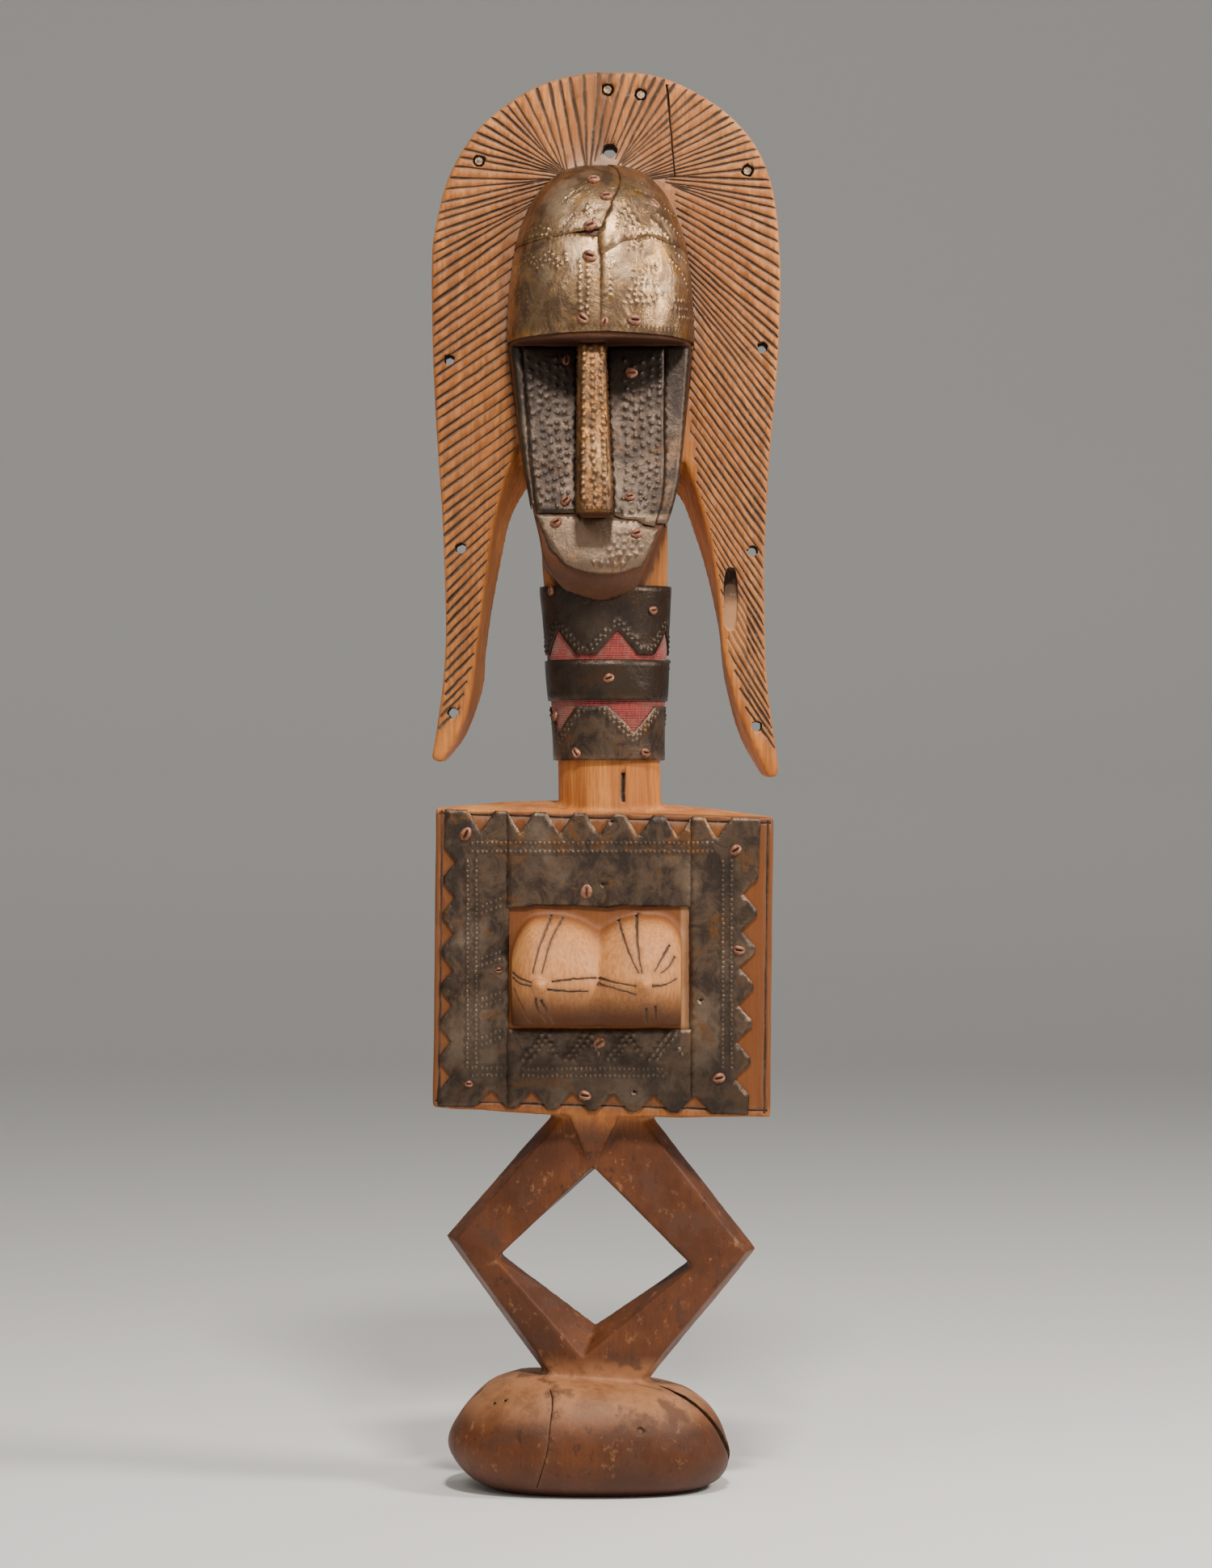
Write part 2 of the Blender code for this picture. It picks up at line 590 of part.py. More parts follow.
def breast_height(x, z):
    """How far the breasts stand out of the torso at a place of their window."""
    half = WINDOW_WIDTH / 4
    side = -1 if x < BREAST_X else 1
    middle = BREAST_X + side * half
    tip = middle + BREAST_TIPS[side] * half
    tip_z = WINDOW_Z - 0.13 * WINDOW_HEIGHT
    place = min((x - middle) * side / half, 1.0)
    drop = 0.36 * place ** 4 if place > 0 else 0.12 * place ** 2
    top_z = WINDOW_Z + (0.435 - drop) * WINDOW_HEIGHT
    if z > tip_z:
        up = (z - tip_z) / (top_z - tip_z)
        climb = max(0.0, 1 - up ** 1.6) ** 0.65
        join = BREAST_JOIN * (1 - 0.4 * min(up, 1.0))
        edge = BREAST_EDGE
    else:
        down = (tip_z - z) / (0.36 * WINDOW_HEIGHT)
        climb = 1 - 0.62 * down ** 2
        join = BREAST_JOIN * (1 - 0.15 * min(down, 1.0))
        edge = BREAST_EDGE * (1 - 0.8 * min(down, 1.0))
    inward = (x - tip) * side < 0
    reach = abs(middle - side * half * (1 if inward else -1) - tip)
    away = min(abs(x - tip) / reach, 1.0)
    floor = join if inward else edge
    across = floor + (1 - floor) * (1 - away ** 2.2) ** 0.70
    return BREAST_DEPTH * climb * across


def breast_point(x, z):
    """Point of the breasts at a place of their window."""
    return Vector((x, TORSO_FRONT + BED - breast_height(x, z), z))


def breasts():
    """The paired breasts carved in the window of the torso."""
    left = BREAST_X - WINDOW_WIDTH / 2 + LEDGE_LEFT
    right = BREAST_X + WINDOW_WIDTH / 2 - LEDGE_RIGHT
    bottom = WINDOW_Z - 0.47 * WINDOW_HEIGHT
    top = WINDOW_Z + 0.44 * WINDOW_HEIGHT
    sunk = TORSO_FRONT + ROOT
    rings = []
    for x in spread(left, right, 17):
        ring = [Vector((x, sunk, bottom))]
        for z in spread(bottom, top, 8):
            ring.append(breast_point(x, z))
        ring.append(Vector((x, sunk, top)))
        rings.append(ring)
    return loft("breasts", rings)


def leg_corner(share, y):
    """Corner of the lozenge from its shares of half the width and of the height."""
    return Vector((share[0] * LEGS_WIDTH / 2, y, BASE_HEIGHT + share[1] * LEGS_HEIGHT))


def legs():
    """The bent legs: four bars around a lozenge, ridged towards the inside."""
    deep = LEGS_DEPTH / 2
    tracks = (
        (LEG_OUTER, 0.0, 1.00), (LEG_OUTER, -0.80 * deep, 0.93), (LEG_HOLE_FRONT, -deep, 1.0),
        (LEG_HOLE_MIDDLE, 0.0, 1.0), (LEG_HOLE_FRONT, deep, 1.0), (LEG_OUTER, 0.80 * deep, 0.93))
    middle = leg_corner(LEG_HOLE_MIDDLE[0], 0.0).lerp(leg_corner(LEG_HOLE_MIDDLE[2], 0.0), 0.5)
    rings = []
    for corner in range(4):
        for step in range(4):
            ring = []
            for corners, y, size in tracks:
                start = leg_corner(corners[corner], y)
                end = leg_corner(corners[(corner + 1) % 4], y)
                point = start.lerp(end, step / 4)
                point.x = middle.x + (point.x - middle.x) * size
                point.z = middle.z + (point.z - middle.z) * size
                ring.append(point)
            rings.append(ring)
    return loft("legs", rings, closed=True)


def hip():
    """The wedge at the middle that carries the torso front down into the legs."""
    middle = leg_corner(LEG_HOLE_FRONT[1], 0.0)
    rings = []
    for share, left, right, y in (
            (1.02, 0.134, 0.160, TORSO_FRONT + GAP), (0.97, 0.134, 0.160, TORSO_FRONT + GAP),
            (0.86, 0.061, 0.069, -0.565 * LEGS_DEPTH), (0.80, 0.015, 0.015, -0.488 * LEGS_DEPTH)):
        z = BASE_HEIGHT + share * LEGS_HEIGHT
        low = middle.x - left * LEGS_WIDTH / 2
        high = middle.x + right * LEGS_WIDTH / 2
        rings.append([
            Vector((low, y, z)), Vector((high, y, z)),
            Vector((high, 0.0, z)), Vector((low, 0.0, z))])
    return loft("hip", rings)


def base():
    """The oval foot, flat on the ground and rounded above."""
    angles = [math.tau * step / 28 for step in range(28)]
    levels = [row[0] for row in BASE_PROFILE]
    return loft("base", [[base_point(angle, up) for angle in angles] for up in levels])


def groove(name, points, facing, width, depth, fade=0.35):
    """Cutter of a V-shaped incision along points, fading towards its last one."""
    rings = []
    for index, point in enumerate(points):
        share = index / (len(points) - 1)
        size = 1 - (1 - fade) * share ** 1.5
        near, far = points[max(index - 1, 0)], points[min(index + 1, len(points) - 1)]
        normal = facing[index]
        across = (far - near).cross(normal).normalized()
        half = 0.5 * width * size * (1 + PROUD / (depth * size))
        rings.append([
            point + normal * PROUD - across * half,
            point + normal * PROUD + across * half,
            point - normal * depth * size])
    return loft(name, rings)


def crest_lines(keys):
    """Pairs of ends for the incised lines, filled in evenly between the leading ones."""
    lines = []
    for (outer, inner), (next_outer, next_inner) in zip(keys, keys[1:]):
        reach = (crest_point(next_outer) - crest_point(outer)).length
        count = max(1, round(reach / GROOVE_PITCH))
        for step in range(count):
            t = step / count
            lines.append((
                crest_point(outer).lerp(crest_point(next_outer), t),
                crest_point(inner).lerp(crest_point(next_inner), t)))
    return lines


def crest_grooves(cuts):
    """Cut the lines that fan out from the head over the crest and its lappets."""
    chance = random.Random(11)
    front = Vector((0.0, -1.0, 0.0))
    for side, keys in (("left", LEFT_LINES), ("right", RIGHT_LINES)):
        for index, (outer, inner) in enumerate(crest_lines(keys)):
            shift = Vector((0.0, 0.0, chance.uniform(-GROOVE_SHIFT, GROOVE_SHIFT)))
            stop = inner.lerp(outer, chance.uniform(0.0, 0.06))
            start = outer + (outer - inner).normalized() * GROOVE_OVERRUN + shift
            size = chance.uniform(0.85, 1.15)
            name = f"groove_{side}_{index}"
            add_object(name, groove(
                name, [start, stop], [front, front],
                GROOVE_WIDTH * size, GROOVE_DEPTH * size), cuts)


def cylinder(name, width, start, end):
    """Round bar between two points."""
    bm = bmesh.new()
    bmesh.ops.create_cone(
        bm, cap_ends=True, segments=BAR_SIDES, radius1=width / 2, radius2=width / 2,
        depth=(end - start).length)
    turn = (end - start).to_track_quat("Z", "Y").to_matrix().to_4x4()
    bmesh.ops.transform(bm, matrix=Matrix.Translation((start + end) / 2) @ turn, verts=bm.verts)
    return mesh_from(bm, name)


def crest_holes(cuts):
    """Cut the holes of the crest: through the rim, blind for the pegs, and the one to hang by."""
    outside = CREST_FRONT - PROUD
    beyond = CREST_BACK + PROUD
    blind = CREST_FRONT + PEG_LENGTH
    rows = [("hanging_hole", HANGING_PLACE, HANGING_HOLE, beyond)]
    rows += [(f"rim_hole_{i}", place, RIM_HOLE, beyond) for i, place in enumerate(RIM_HOLES)]
    rows += [(f"peg_hole_{i}", place, PEG_HOLE, blind) for i, place in enumerate(PEG_HOLES)]
    for name, place, width, depth in rows:
        bar = cylinder(name, width, crest_point(place, outside), crest_point(place, depth))
        add_object(name, bar, cuts)


def crest_slot(cuts):
    """Cut the upright blind slot in the right lappet, round at its top."""
    middle = crest_point(SLOT_PLACE)
    half = SLOT_WIDTH / 2
    low = middle.z - SLOT_HEIGHT / 2
    spring = middle.z + SLOT_HEIGHT / 2 - half
    outline = [(middle.x - half, low), (middle.x + half, low)]
    for angle in spread(0.0, math.pi, 6):
        outline.append((middle.x + half * math.cos(angle), spring + half * math.sin(angle)))
    rings = [
        [Vector((x, y, z)) for x, z in outline]
        for y in (CREST_FRONT - PROUD, CREST_FRONT + SLOT_DEPTH)]
    add_object("crest_slot", loft("crest_slot", rings), cuts)


def cracks(cuts):
    """Cut the drying cracks of the crest and the foot, and the slot worn in the neck."""
    front = Vector((0.0, -1.0, 0.0))
    crest = [crest_point(place) for place in CREST_CRACK]
    add_object("crest_crack", groove(
        "crest_crack", crest, [front, front], CRACK_WIDTH, CRACK_DEPTH), cuts)
    points = []
    facing = []
    for across, up in FOOT_CRACK:
        angle = base_angle(across * BASE_WIDTH / 2, up)
        points.append(base_point(angle, up))
        rim = base_point(angle, up + 0.04) - base_point(angle, up - 0.04)
        turn = base_point(angle + 0.05, up) - base_point(angle - 0.05, up)
        facing.append(turn.cross(rim).normalized())
    add_object("foot_crack", groove(
        "foot_crack", points, facing, CRACK_WIDTH, CRACK_DEPTH, fade=0.8), cuts)
    across, deep = WORN_PLACE
    worn = [
        Vector((across * NECK_WIDTH / 2, -deep * NECK_DEPTH / 2, Z_NECK + share * NECK_SHOWN))
        for share in WORN_HEIGHTS]
    add_object("neck_slot", groove(
        "neck_slot", worn, [front] * len(worn), WORN_WIDTH, WORN_DEPTH, fade=0.5), cuts)


def foot_split(cuts):
    """Cut the slanting split that parts the right end of the foot."""
    (turn, up), (last_turn, last_up) = SPLIT_ENDS
    start = base_point(math.radians(turn), up)
    end = base_point(math.radians(last_turn), last_up)
    inward = Vector((-0.50, 0.85, 0.0)).normalized()
    across = Vector((0.55, 0.35, 0.75)).normalized()
    rings = []
    for share in spread(-0.08, 1.0, 5):
        point = start.lerp(end, share)
        angle = math.radians(turn + (last_turn - turn) * share)
        outward = base_point(angle, up + (last_up - up) * share) - inward * SPLIT_DEPTH / 2
        side = across * SPLIT_WIDTH * (0.45 + 1.1 * share)
        deep = point + inward * SPLIT_DEPTH * (0.55 + 0.9 * share)
        rings.append([outward - side, outward + side, deep + side * 0.4, deep - side * 0.4])
    add_object("foot_split", loft("foot_split", rings), cuts)


def breast_facing(x, z):
    """Outward direction of the breasts at a place of their window."""
    step = WINDOW_WIDTH / 120
    across = breast_point(x + step, z) - breast_point(x - step, z)
    climb = breast_point(x, z + step) - breast_point(x, z - step)
    return across.cross(climb).normalized()


def breast_lines(cuts):
    """Cut the incised lines of the breasts."""
    for index, line in enumerate(BREAST_LINES):
        places = [
            (BREAST_X + x * WINDOW_WIDTH / 2, WINDOW_Z + z * WINDOW_HEIGHT / 2) for x, z in line]
        points = [breast_point(x, z) for x, z in places]
        facing = [breast_facing(x, z) for x, z in places]
        name = f"breast_line_{index}"
        add_object(name, groove(name, points, facing, LINE_WIDTH, LINE_WIDTH, fade=0.6), cuts)


def torso_border(cuts):
    """Cut the fine lines that run along the edges of the torso front."""
    front = Vector((0.0, -1.0, 0.0))
    corners = []
    for side, height in ((-1, 0), (-1, 1), (1, 1), (1, 0)):
        x, z = torso_corner(side, height)
        corners.append(Vector((x - side * BORDER, TORSO_FRONT, z - (2 * height - 1) * BORDER)))
    for index, start in enumerate(corners):
        name = f"torso_border_{index}"
        end = corners[(index + 1) % 4]
        add_object(name, groove(
            name, [start, end], [front, front], LINE_WIDTH, LINE_WIDTH, fade=0.9), cuts)


def inside(point, outline):
    """Whether a point of the plane lies inside a closed outline."""
    hit = False
    for (ax, ay), (bx, by) in zip(outline, outline[1:] + outline[:1]):
        if (ay > point[1]) != (by > point[1]):
            if point[0] < ax + (bx - ax) * (point[1] - ay) / (by - ay):
                hit = not hit
    return hit


def edge_distance(point, outline):
    """Distance from a point to the nearest edge of an outline."""
    place = Vector(point)
    nearest = math.inf
    for start, end in zip(outline, outline[1:] + outline[:1]):
        run = Vector(end) - Vector(start)
        share = min(max((place - Vector(start)).dot(run) / run.length_squared, 0.0), 1.0)
        nearest = min(nearest, (Vector(start) + run * share - place).length)
    return nearest


def laid_sheet(name, outline, step, place, thickness, collection, finish):
    """Fill an outline with triangles, lay it on a form and give it its thickness outward."""
    border = []
    for start, end in zip(outline, outline[1:] + outline[:1]):
        run = Vector(end) - Vector(start)
        parts = max(1, round(run.length / step))
        border += [tuple(Vector(start) + run * part / parts) for part in range(parts)]
    low = [min(point[axis] for point in border) for axis in (0, 1)]
    high = [max(point[axis] for point in border) for axis in (0, 1)]
    points = list(border)
    rows = max(1, round((high[1] - low[1]) / step))
    columns = max(1, round((high[0] - low[0]) / step))
    for row in range(1, rows):
        for column in range(1, columns):
            point = (
                low[0] + (high[0] - low[0]) * column / columns,
                low[1] + (high[1] - low[1]) * row / rows)
            if inside(point, border) and edge_distance(point, border) > 0.45 * step:
                points.append(point)
    edges = [(i, (i + 1) % len(border)) for i in range(len(border))]
    flat, _, faces, *_ = delaunay_2d_cdt([Vector(p) for p in points], edges, [], 1, 1e-9)
    bm = bmesh.new()
    verts = [bm.verts.new(place(x, y)) for x, y in flat]
    for face_verts in faces:
        bm.faces.new([verts[i] for i in face_verts])
    data = bpy.data.meshes.new(name)
    bm.to_mesh(data)
    bm.free()
    made = add_object(name, data, collection, finish)
    shell = made.modifiers.new("thickness", "SOLIDIFY")
    shell.thickness = thickness
    shell.offset = 1.0


def forehead_sheets(collection, finish):
    """The four sheets of the forehead, meeting at the centre seam and at the cross seams."""
    edge, top = CROWN_SEAM[-1][1] + 0.02, CROWN_SEAM[-1][1]
    low = FOREHEAD_SEAM[0][1]
    gap = SEAM / (HEAD_WIDTH / 2)
    left_up = [(x, y + 2 * gap) for x, y in LEFT_CROSS_SEAM]
    flap_up = [(x, y + 2 * gap) for x, y in FLAP_SEAM]

    def lay(x, y):
        return dome_point(x, y, LAY)

    pieces = {
        "forehead_sheet_lower_left": (
            [(-edge, low)] + [(x - gap, y) for x, y in FOREHEAD_SEAM] + LEFT_CROSS_SEAM[::-1]),
        "forehead_sheet_lower_right": (
            [(x + gap, y) for x, y in FOREHEAD_SEAM[1::-1]] + [(edge, low)] + FLAP_SEAM[::-1]),
        "forehead_sheet_upper_left": (
            left_up + [(x - gap, y) for x, y in CROWN_SEAM] + [(-edge, top)]),
        "forehead_sheet_upper_right": (
            flap_up + [(edge, top)] + [(x + gap, y) for x, y in CROWN_SEAM[::-1]]
            + [(FOREHEAD_SEAM[-1][0] + gap, FOREHEAD_SEAM[-1][1])]),
    }
    for name, outline in pieces.items():
        laid_sheet(name, outline, 0.20, lay, SHEET, collection, finish)


def face_sheets(collection, finish):
    """The cheek sheets, the narrow strips at the edges of the face, and the chin sheet."""
    scale = FACE_HEIGHT / (HEAD_WIDTH / 2)
    cheek_end = NOSE_END - 0.010

    def lay(x, y):
        return face_point(x, -y / scale, LAY)

    def beside_nose(side, down):
        middle = face_point(0.0, down).x
        half = face_point(1.0, down).x - middle
        index = 0 if side < 0 else -1
        edge = nose_corners(down / NOSE_END, GAP + SHEET + GAP)[index].x
        return (edge - middle) / half

    left_inner = [(beside_nose(-1, s) - 0.01, s) for s in spread(0.015, cheek_end, 4)]
    right_inner = [(beside_nose(1, s) + 0.01, s) for s in spread(0.015, cheek_end, 4)]
    pieces = {
        "cheek_sheet_left": (
            [(-0.90, 0.015)] + left_inner + [(-0.94, cheek_end), (-0.90, 0.30)]),
        "cheek_sheet_right": (
            [(0.72, 0.015)] + right_inner
            + [(0.35, NOSE_END + 0.015), (0.86, NOSE_END + 0.030), (0.76, 0.35)]),
        "cheek_strip_left": [(-0.985, 0.015), (-0.915, 0.015), (-0.915, 0.30), (-0.955, 0.62),
                             (-0.985, 0.62)],
        "cheek_strip_right": [(0.735, 0.015), (0.985, 0.015), (0.985, 0.68), (0.875, 0.68),
                              (0.775, 0.35)],
        "chin_sheet": [(-0.97, 0.668), (0.10, 0.680), (0.50, 0.692), (0.93, 0.712),
                       (0.94, 0.800), (0.88, 0.865), (0.43, 0.892), (-0.17, 0.888),
                       (-0.59, 0.862), (-0.85, 0.790)],
    }
    for name, outline in pieces.items():
        turned = [(x, -y * scale) for x, y in outline]
        step = 0.14 if name == "chin_sheet" else 0.30
        laid_sheet(name, turned, step, lay, SHEET, collection, finish)


def nose_sheet(collection, finish):
    """The brass sheet folded over the front and the sides of the nose."""
    bm = bmesh.new()
    rows = []
    for down in spread(0.025, 1.0, 4):
        corners = nose_corners(down, GAP)
        for end in (0, -1):
            corners[end].y -= LAY + SHEET + GAP
        rows.append([bm.verts.new(point) for point in corners])
    for upper, lower in zip(rows, rows[1:]):
        for i in range(len(upper) - 1):
            bm.faces.new((upper[i], lower[i], lower[i + 1], upper[i + 1]))
    data = bpy.data.meshes.new("nose_sheet")
    bm.to_mesh(data)
    bm.free()
    made = add_object("nose_sheet", data, collection, finish)
    shell = made.modifiers.new("thickness", "SOLIDIFY")
    shell.thickness = SHEET
    shell.offset = 1.0
    shell.use_even_offset = True


def wrap(collection, name, top, bottom, notches, grow, thickness, finish):
    """Wind a strip round the neck; notches hold angle, half angle, height and which edge."""
    radius = NECK_WIDTH / 2
    end = math.radians(178)
    upper = [(-end, top), (end, top)]
    lower = [(end, bottom), (-end, bottom)]
    for angle, half, height, edge in sorted(notches):
        if edge == "upper":
            upper[-1:-1] = [(angle - half, top), (angle, top - height), (angle + half, top)]
        else:
            lower[1:1] = [(angle + half, bottom), (angle, bottom + height), (angle - half, bottom)]
    squeeze = 0.25
    outline = [(angle * radius, z * squeeze) for angle, z in upper + lower]

    def lay(x, z):
        return neck_point(x / radius, z / squeeze, grow)

    laid_sheet(name, outline, 0.0062, lay, thickness, collection, finish)


def neck_wraps(collection, metal, cloth):
    """The cloth on the neck and the three metal bands over it."""
    z_top, z_upper, z_lower, z_bottom = (Z_CHIN + level * NECK_SHOWN for level in BAND_LEVELS)
    cloth_top, cloth_bottom = (Z_CHIN + level * NECK_SHOWN for level in CLOTH_LEVELS)
    over = LAY + CLOTH + LAY
    wrap(collection, "neck_cloth", cloth_top, cloth_bottom, [], LAY, CLOTH, cloth)
    notches = [
        (math.radians(angle), math.radians(20), TOP_NOTCH, "lower")
        for angle in (-110, -50, 10, 70, 130)]
    wrap(collection, "neck_band_top", z_top, z_upper + SEAM, notches, over, SHEET, metal)
    wrap(collection, "neck_band_middle", z_upper, z_lower, [], over, SHEET, metal)
    notches = [
        (math.radians(angle), math.radians(27), BOTTOM_NOTCH, "upper")
        for angle in (-147, -60, 27, 114)]
    wrap(collection, "neck_band_bottom", z_lower - SEAM, z_bottom, notches, over, SHEET, metal)


def toothed(start, end, first, last, count, depth, tip):
    """Toothed edge from start to end: valleys on its right side, flat tips between them."""
    run = Vector(end) - Vector(start)
    inward = Vector((run.y, -run.x)).normalized() * depth
    half = (last - first) / (count - 1) * (1 - tip) / 2
    points = [Vector(start)]
    for share in spread(first, last, count):
        valley = Vector(start) + run * share
        points += [valley - run * half, valley + inward, valley + run * half]
    return [tuple(point) for point in points + [Vector(end)]]


def between(points, low, high):
    """The part of a line that lies between two left-right places, cut at them."""
    kept = []
    for (ax, ay), (bx, by) in zip(points, points[1:]):
        if low <= ax <= high:
            kept.append((ax, ay))
        for limit in (low, high):
            if ax < limit < bx:
                kept.append((limit, ay + (by - ay) * (limit - ax) / (bx - ax)))
    if low <= points[-1][0] <= high:
        kept.append(points[-1])
    return kept


def flat_sheet(name, outline, holes, collection, finish):
    """A flat sheet on the torso front, with its nail holes."""
    data = bpy.data.curves.new(name, "CURVE")
    data.dimensions = "2D"
    data.fill_mode = "BOTH"
    data.extrude = SHEET / 2
    loops = [outline]
    for x, z in holes:
        ring = [math.tau * step / 8 for step in range(8)]
        loops.append([
            (x + NAIL_HOLE / 2 * math.cos(turn), z + NAIL_HOLE / 2 * math.sin(turn))
            for turn in ring])
    for loop in loops:
        spline = data.splines.new("POLY")
        spline.points.add(len(loop) - 1)
        for point, (x, z) in zip(spline.points, loop):
            point.co = (x, z, 0.0, 1.0)
        spline.use_cyclic_u = True
    made = add_object(name, data, collection, finish)
    made.rotation_euler = (math.pi / 2, 0.0, 0.0)
    made.location = (0.0, TORSO_FRONT - GAP - SHEET / 2, 0.0)


def torso_sheets(collection, finish):
    """The four toothed sheets that frame the window of the breasts."""
    corners = {}
    for side, across in (("left", -1), ("right", 1)):
        for level, height in (("bottom", 0), ("top", 1)):
            x, z = torso_corner(across, height)
            inset, drop = FRAME_INSET[f"{level}_{side}"]
            corners[f"{level}_{side}"] = (x - across * inset, z - (2 * height - 1) * drop)
    top = toothed(corners["top_left"], corners["top_right"], 0.115, 0.864, 7, TOOTH, 0.30)
    right = toothed(
        corners["top_right"], corners["bottom_right"], 0.256, 0.880, 6, 0.70 * TOOTH, 0.15)
    bottom = toothed(
        corners["bottom_right"], corners["bottom_left"], 0.174, 0.829, 6, 0.85 * TOOTH, 0.18)
    left = toothed(
        corners["bottom_left"], corners["top_left"], 0.100, 0.823, 7, 0.55 * TOOTH, 0.18)
    bottom.reverse()
    far = TORSO_WIDTH
    window_left = BREAST_X - WINDOW_WIDTH / 2
    window_right = BREAST_X + WINDOW_WIDTH / 2
    window_top = WINDOW_Z + WINDOW_HEIGHT / 2
    window_bottom = WINDOW_Z - WINDOW_HEIGHT / 2
    pieces = {
        "torso_sheet_left": (
            between(top, -far, window_left - SEAM)
            + between(bottom, -far, window_left - SEAM)[::-1] + left[1:-1]),
        "torso_sheet_right": (
            between(top, window_right + SEAM, far) + right[1:-1]
            + between(bottom, window_right + SEAM, far)[::-1]),
        "torso_sheet_top": (
            between(top, window_left, window_right)
            + [(window_right, window_top), (window_left, window_top)]),
        "torso_sheet_bottom": (
            [(window_left, window_bottom), (window_right, window_bottom)]
            + between(bottom, window_left, window_right)[::-1]),
    }
    nails = [frame_place(*place) for place in TORSO_NAIL_HOLES]
    for name, outline in pieces.items():
        holes = [
            place for place in nails
            if inside(place, outline) and edge_distance(place, outline) > NAIL_HOLE]
        flat_sheet(name, outline, holes, collection, finish)


def clip_mesh(name, share):
    """Half of a flattened ball: the folded head of a clip, lying on its flat side."""
    bm = bmesh.new()
    bmesh.ops.create_uvsphere(bm, u_segments=6, v_segments=4, radius=1.0)
    size = Matrix.Diagonal((
        share * CLIP_LENGTH / 2, share * CLIP_WIDTH / 2, share * CLIP_RISE, 1.0))
    bmesh.ops.transform(bm, matrix=size, verts=bm.verts)
    cut = bmesh.ops.bisect_plane(
        bm, geom=bm.verts[:] + bm.edges[:] + bm.faces[:], dist=1e-6,
        plane_co=(0.0, 0.0, 0.0), plane_no=(0.0, 0.0, 1.0), clear_inner=True)
    rim = [item for item in cut["geom_cut"] if isinstance(item, bmesh.types.BMEdge)]
    bmesh.ops.holes_fill(bm, edges=rim, sides=0)
    return mesh_from(bm, name)


def clip_places():
    """Name, size, point and outward direction of every clip, on the outside of what it pins."""
    rows = []
    step = 0.02
    lift = LAY + SHEET + GAP
    for index, (across, up, size) in enumerate(FOREHEAD_CLIPS):
        x = HEAD_X + across * HEAD_WIDTH / 2
        theta, phi = dome_angles(x, Z_BROW + up * FOREHEAD_HEIGHT)
        point = dome_point(theta, phi, lift)
        right = dome_point(theta + step, phi, lift) - dome_point(theta - step, phi, lift)
        climb = dome_point(theta, phi + step, lift) - dome_point(theta, phi - step, lift)
        rows.append((f"forehead_clip_{index + 1}", size, point, right.cross(climb).normalized()))
    for index, (across, up, size) in enumerate(FACE_CLIPS):
        x = HEAD_X + across * HEAD_WIDTH / 2
        middle = face_point(0.0, -up).x
        share = (x - middle) / (face_point(1.0, -up).x - middle)
        point = face_point(share, -up, lift + GAP / 2)
        right = face_point(share + step, -up) - face_point(share - step, -up)
        climb = face_point(share, -up - step) - face_point(share, -up + step)
        rows.append((f"face_clip_{index + 1}", size, point, right.cross(climb).normalized()))
    over = LAY + CLOTH + lift
    for index, (across, up, size) in enumerate(NECK_CLIPS):
        z = Z_CHIN + up * NECK_SHOWN
        wide = neck_point(math.pi / 2, z, over).x
        angle = math.asin(min(max(across * NECK_WIDTH / 2 / wide, -0.97), 0.97))
        normal = Vector((math.sin(angle), -math.cos(angle), 0.0))
        rows.append((f"neck_clip_{index + 1}", size, neck_point(angle, z, over), normal))
    for index, (across, up, size) in enumerate(TORSO_CLIPS):
        x, z = frame_place(across, up)
        point = Vector((x, TORSO_FRONT - GAP - SHEET - GAP, z))
        rows.append((f"torso_clip_{index + 1}", size, point, Vector((0.0, -1.0, 0.0))))
    return rows


def clips(collection, finish):
    """Place the clips, each turned a little differently about its own axis."""
    chance = random.Random(5)
    for name, size, point, normal in clip_places():
        made = add_object(name, clip_mesh(name, size), collection, finish)
        turn = normal.to_track_quat("Z", "Y").to_matrix().to_4x4()
        spin = Matrix.Rotation(math.radians(chance.uniform(-70, 70)), 4, "Z")
        made.matrix_world = Matrix.Translation(point) @ turn @ spin


def pegs(collection, finish):
    """The broken peg ends that are left in the blind holes of the crest."""
    for index, place in enumerate(PEG_HOLES):
        end = crest_point(place, CREST_FRONT + PEG_LENGTH - GAP)
        start = crest_point(place, CREST_FRONT + PEG_SUNK)
        name = f"crest_peg_{index + 1}"
        add_object(name, cylinder(name, PEG_WIDTH, start, end), collection, finish)


def collar_room():
    """Room under the jaw for the top neck band and what lies under it."""
    high = Z_CHIN + BAND_LEVELS[0] * NECK_SHOWN + 2 * GAP
    front = neck_point(0.0, high, 2 * LAY + CLOTH + SHEET + 2 * GAP).y
    size = Vector((HEAD_WIDTH, 1.5 * NECK_DEPTH, 0.18 * FACE_HEIGHT))
    place = Vector((HEAD_X, front + size.y / 2, high - size.z / 2))
    bm = bmesh.new()
    bmesh.ops.create_cube(bm, size=1.0)
    bmesh.ops.transform(
        bm, matrix=Matrix.Translation(place) @ Matrix.Diagonal((*size, 1.0)), verts=bm.verts)
    return mesh_from(bm, "collar_room")


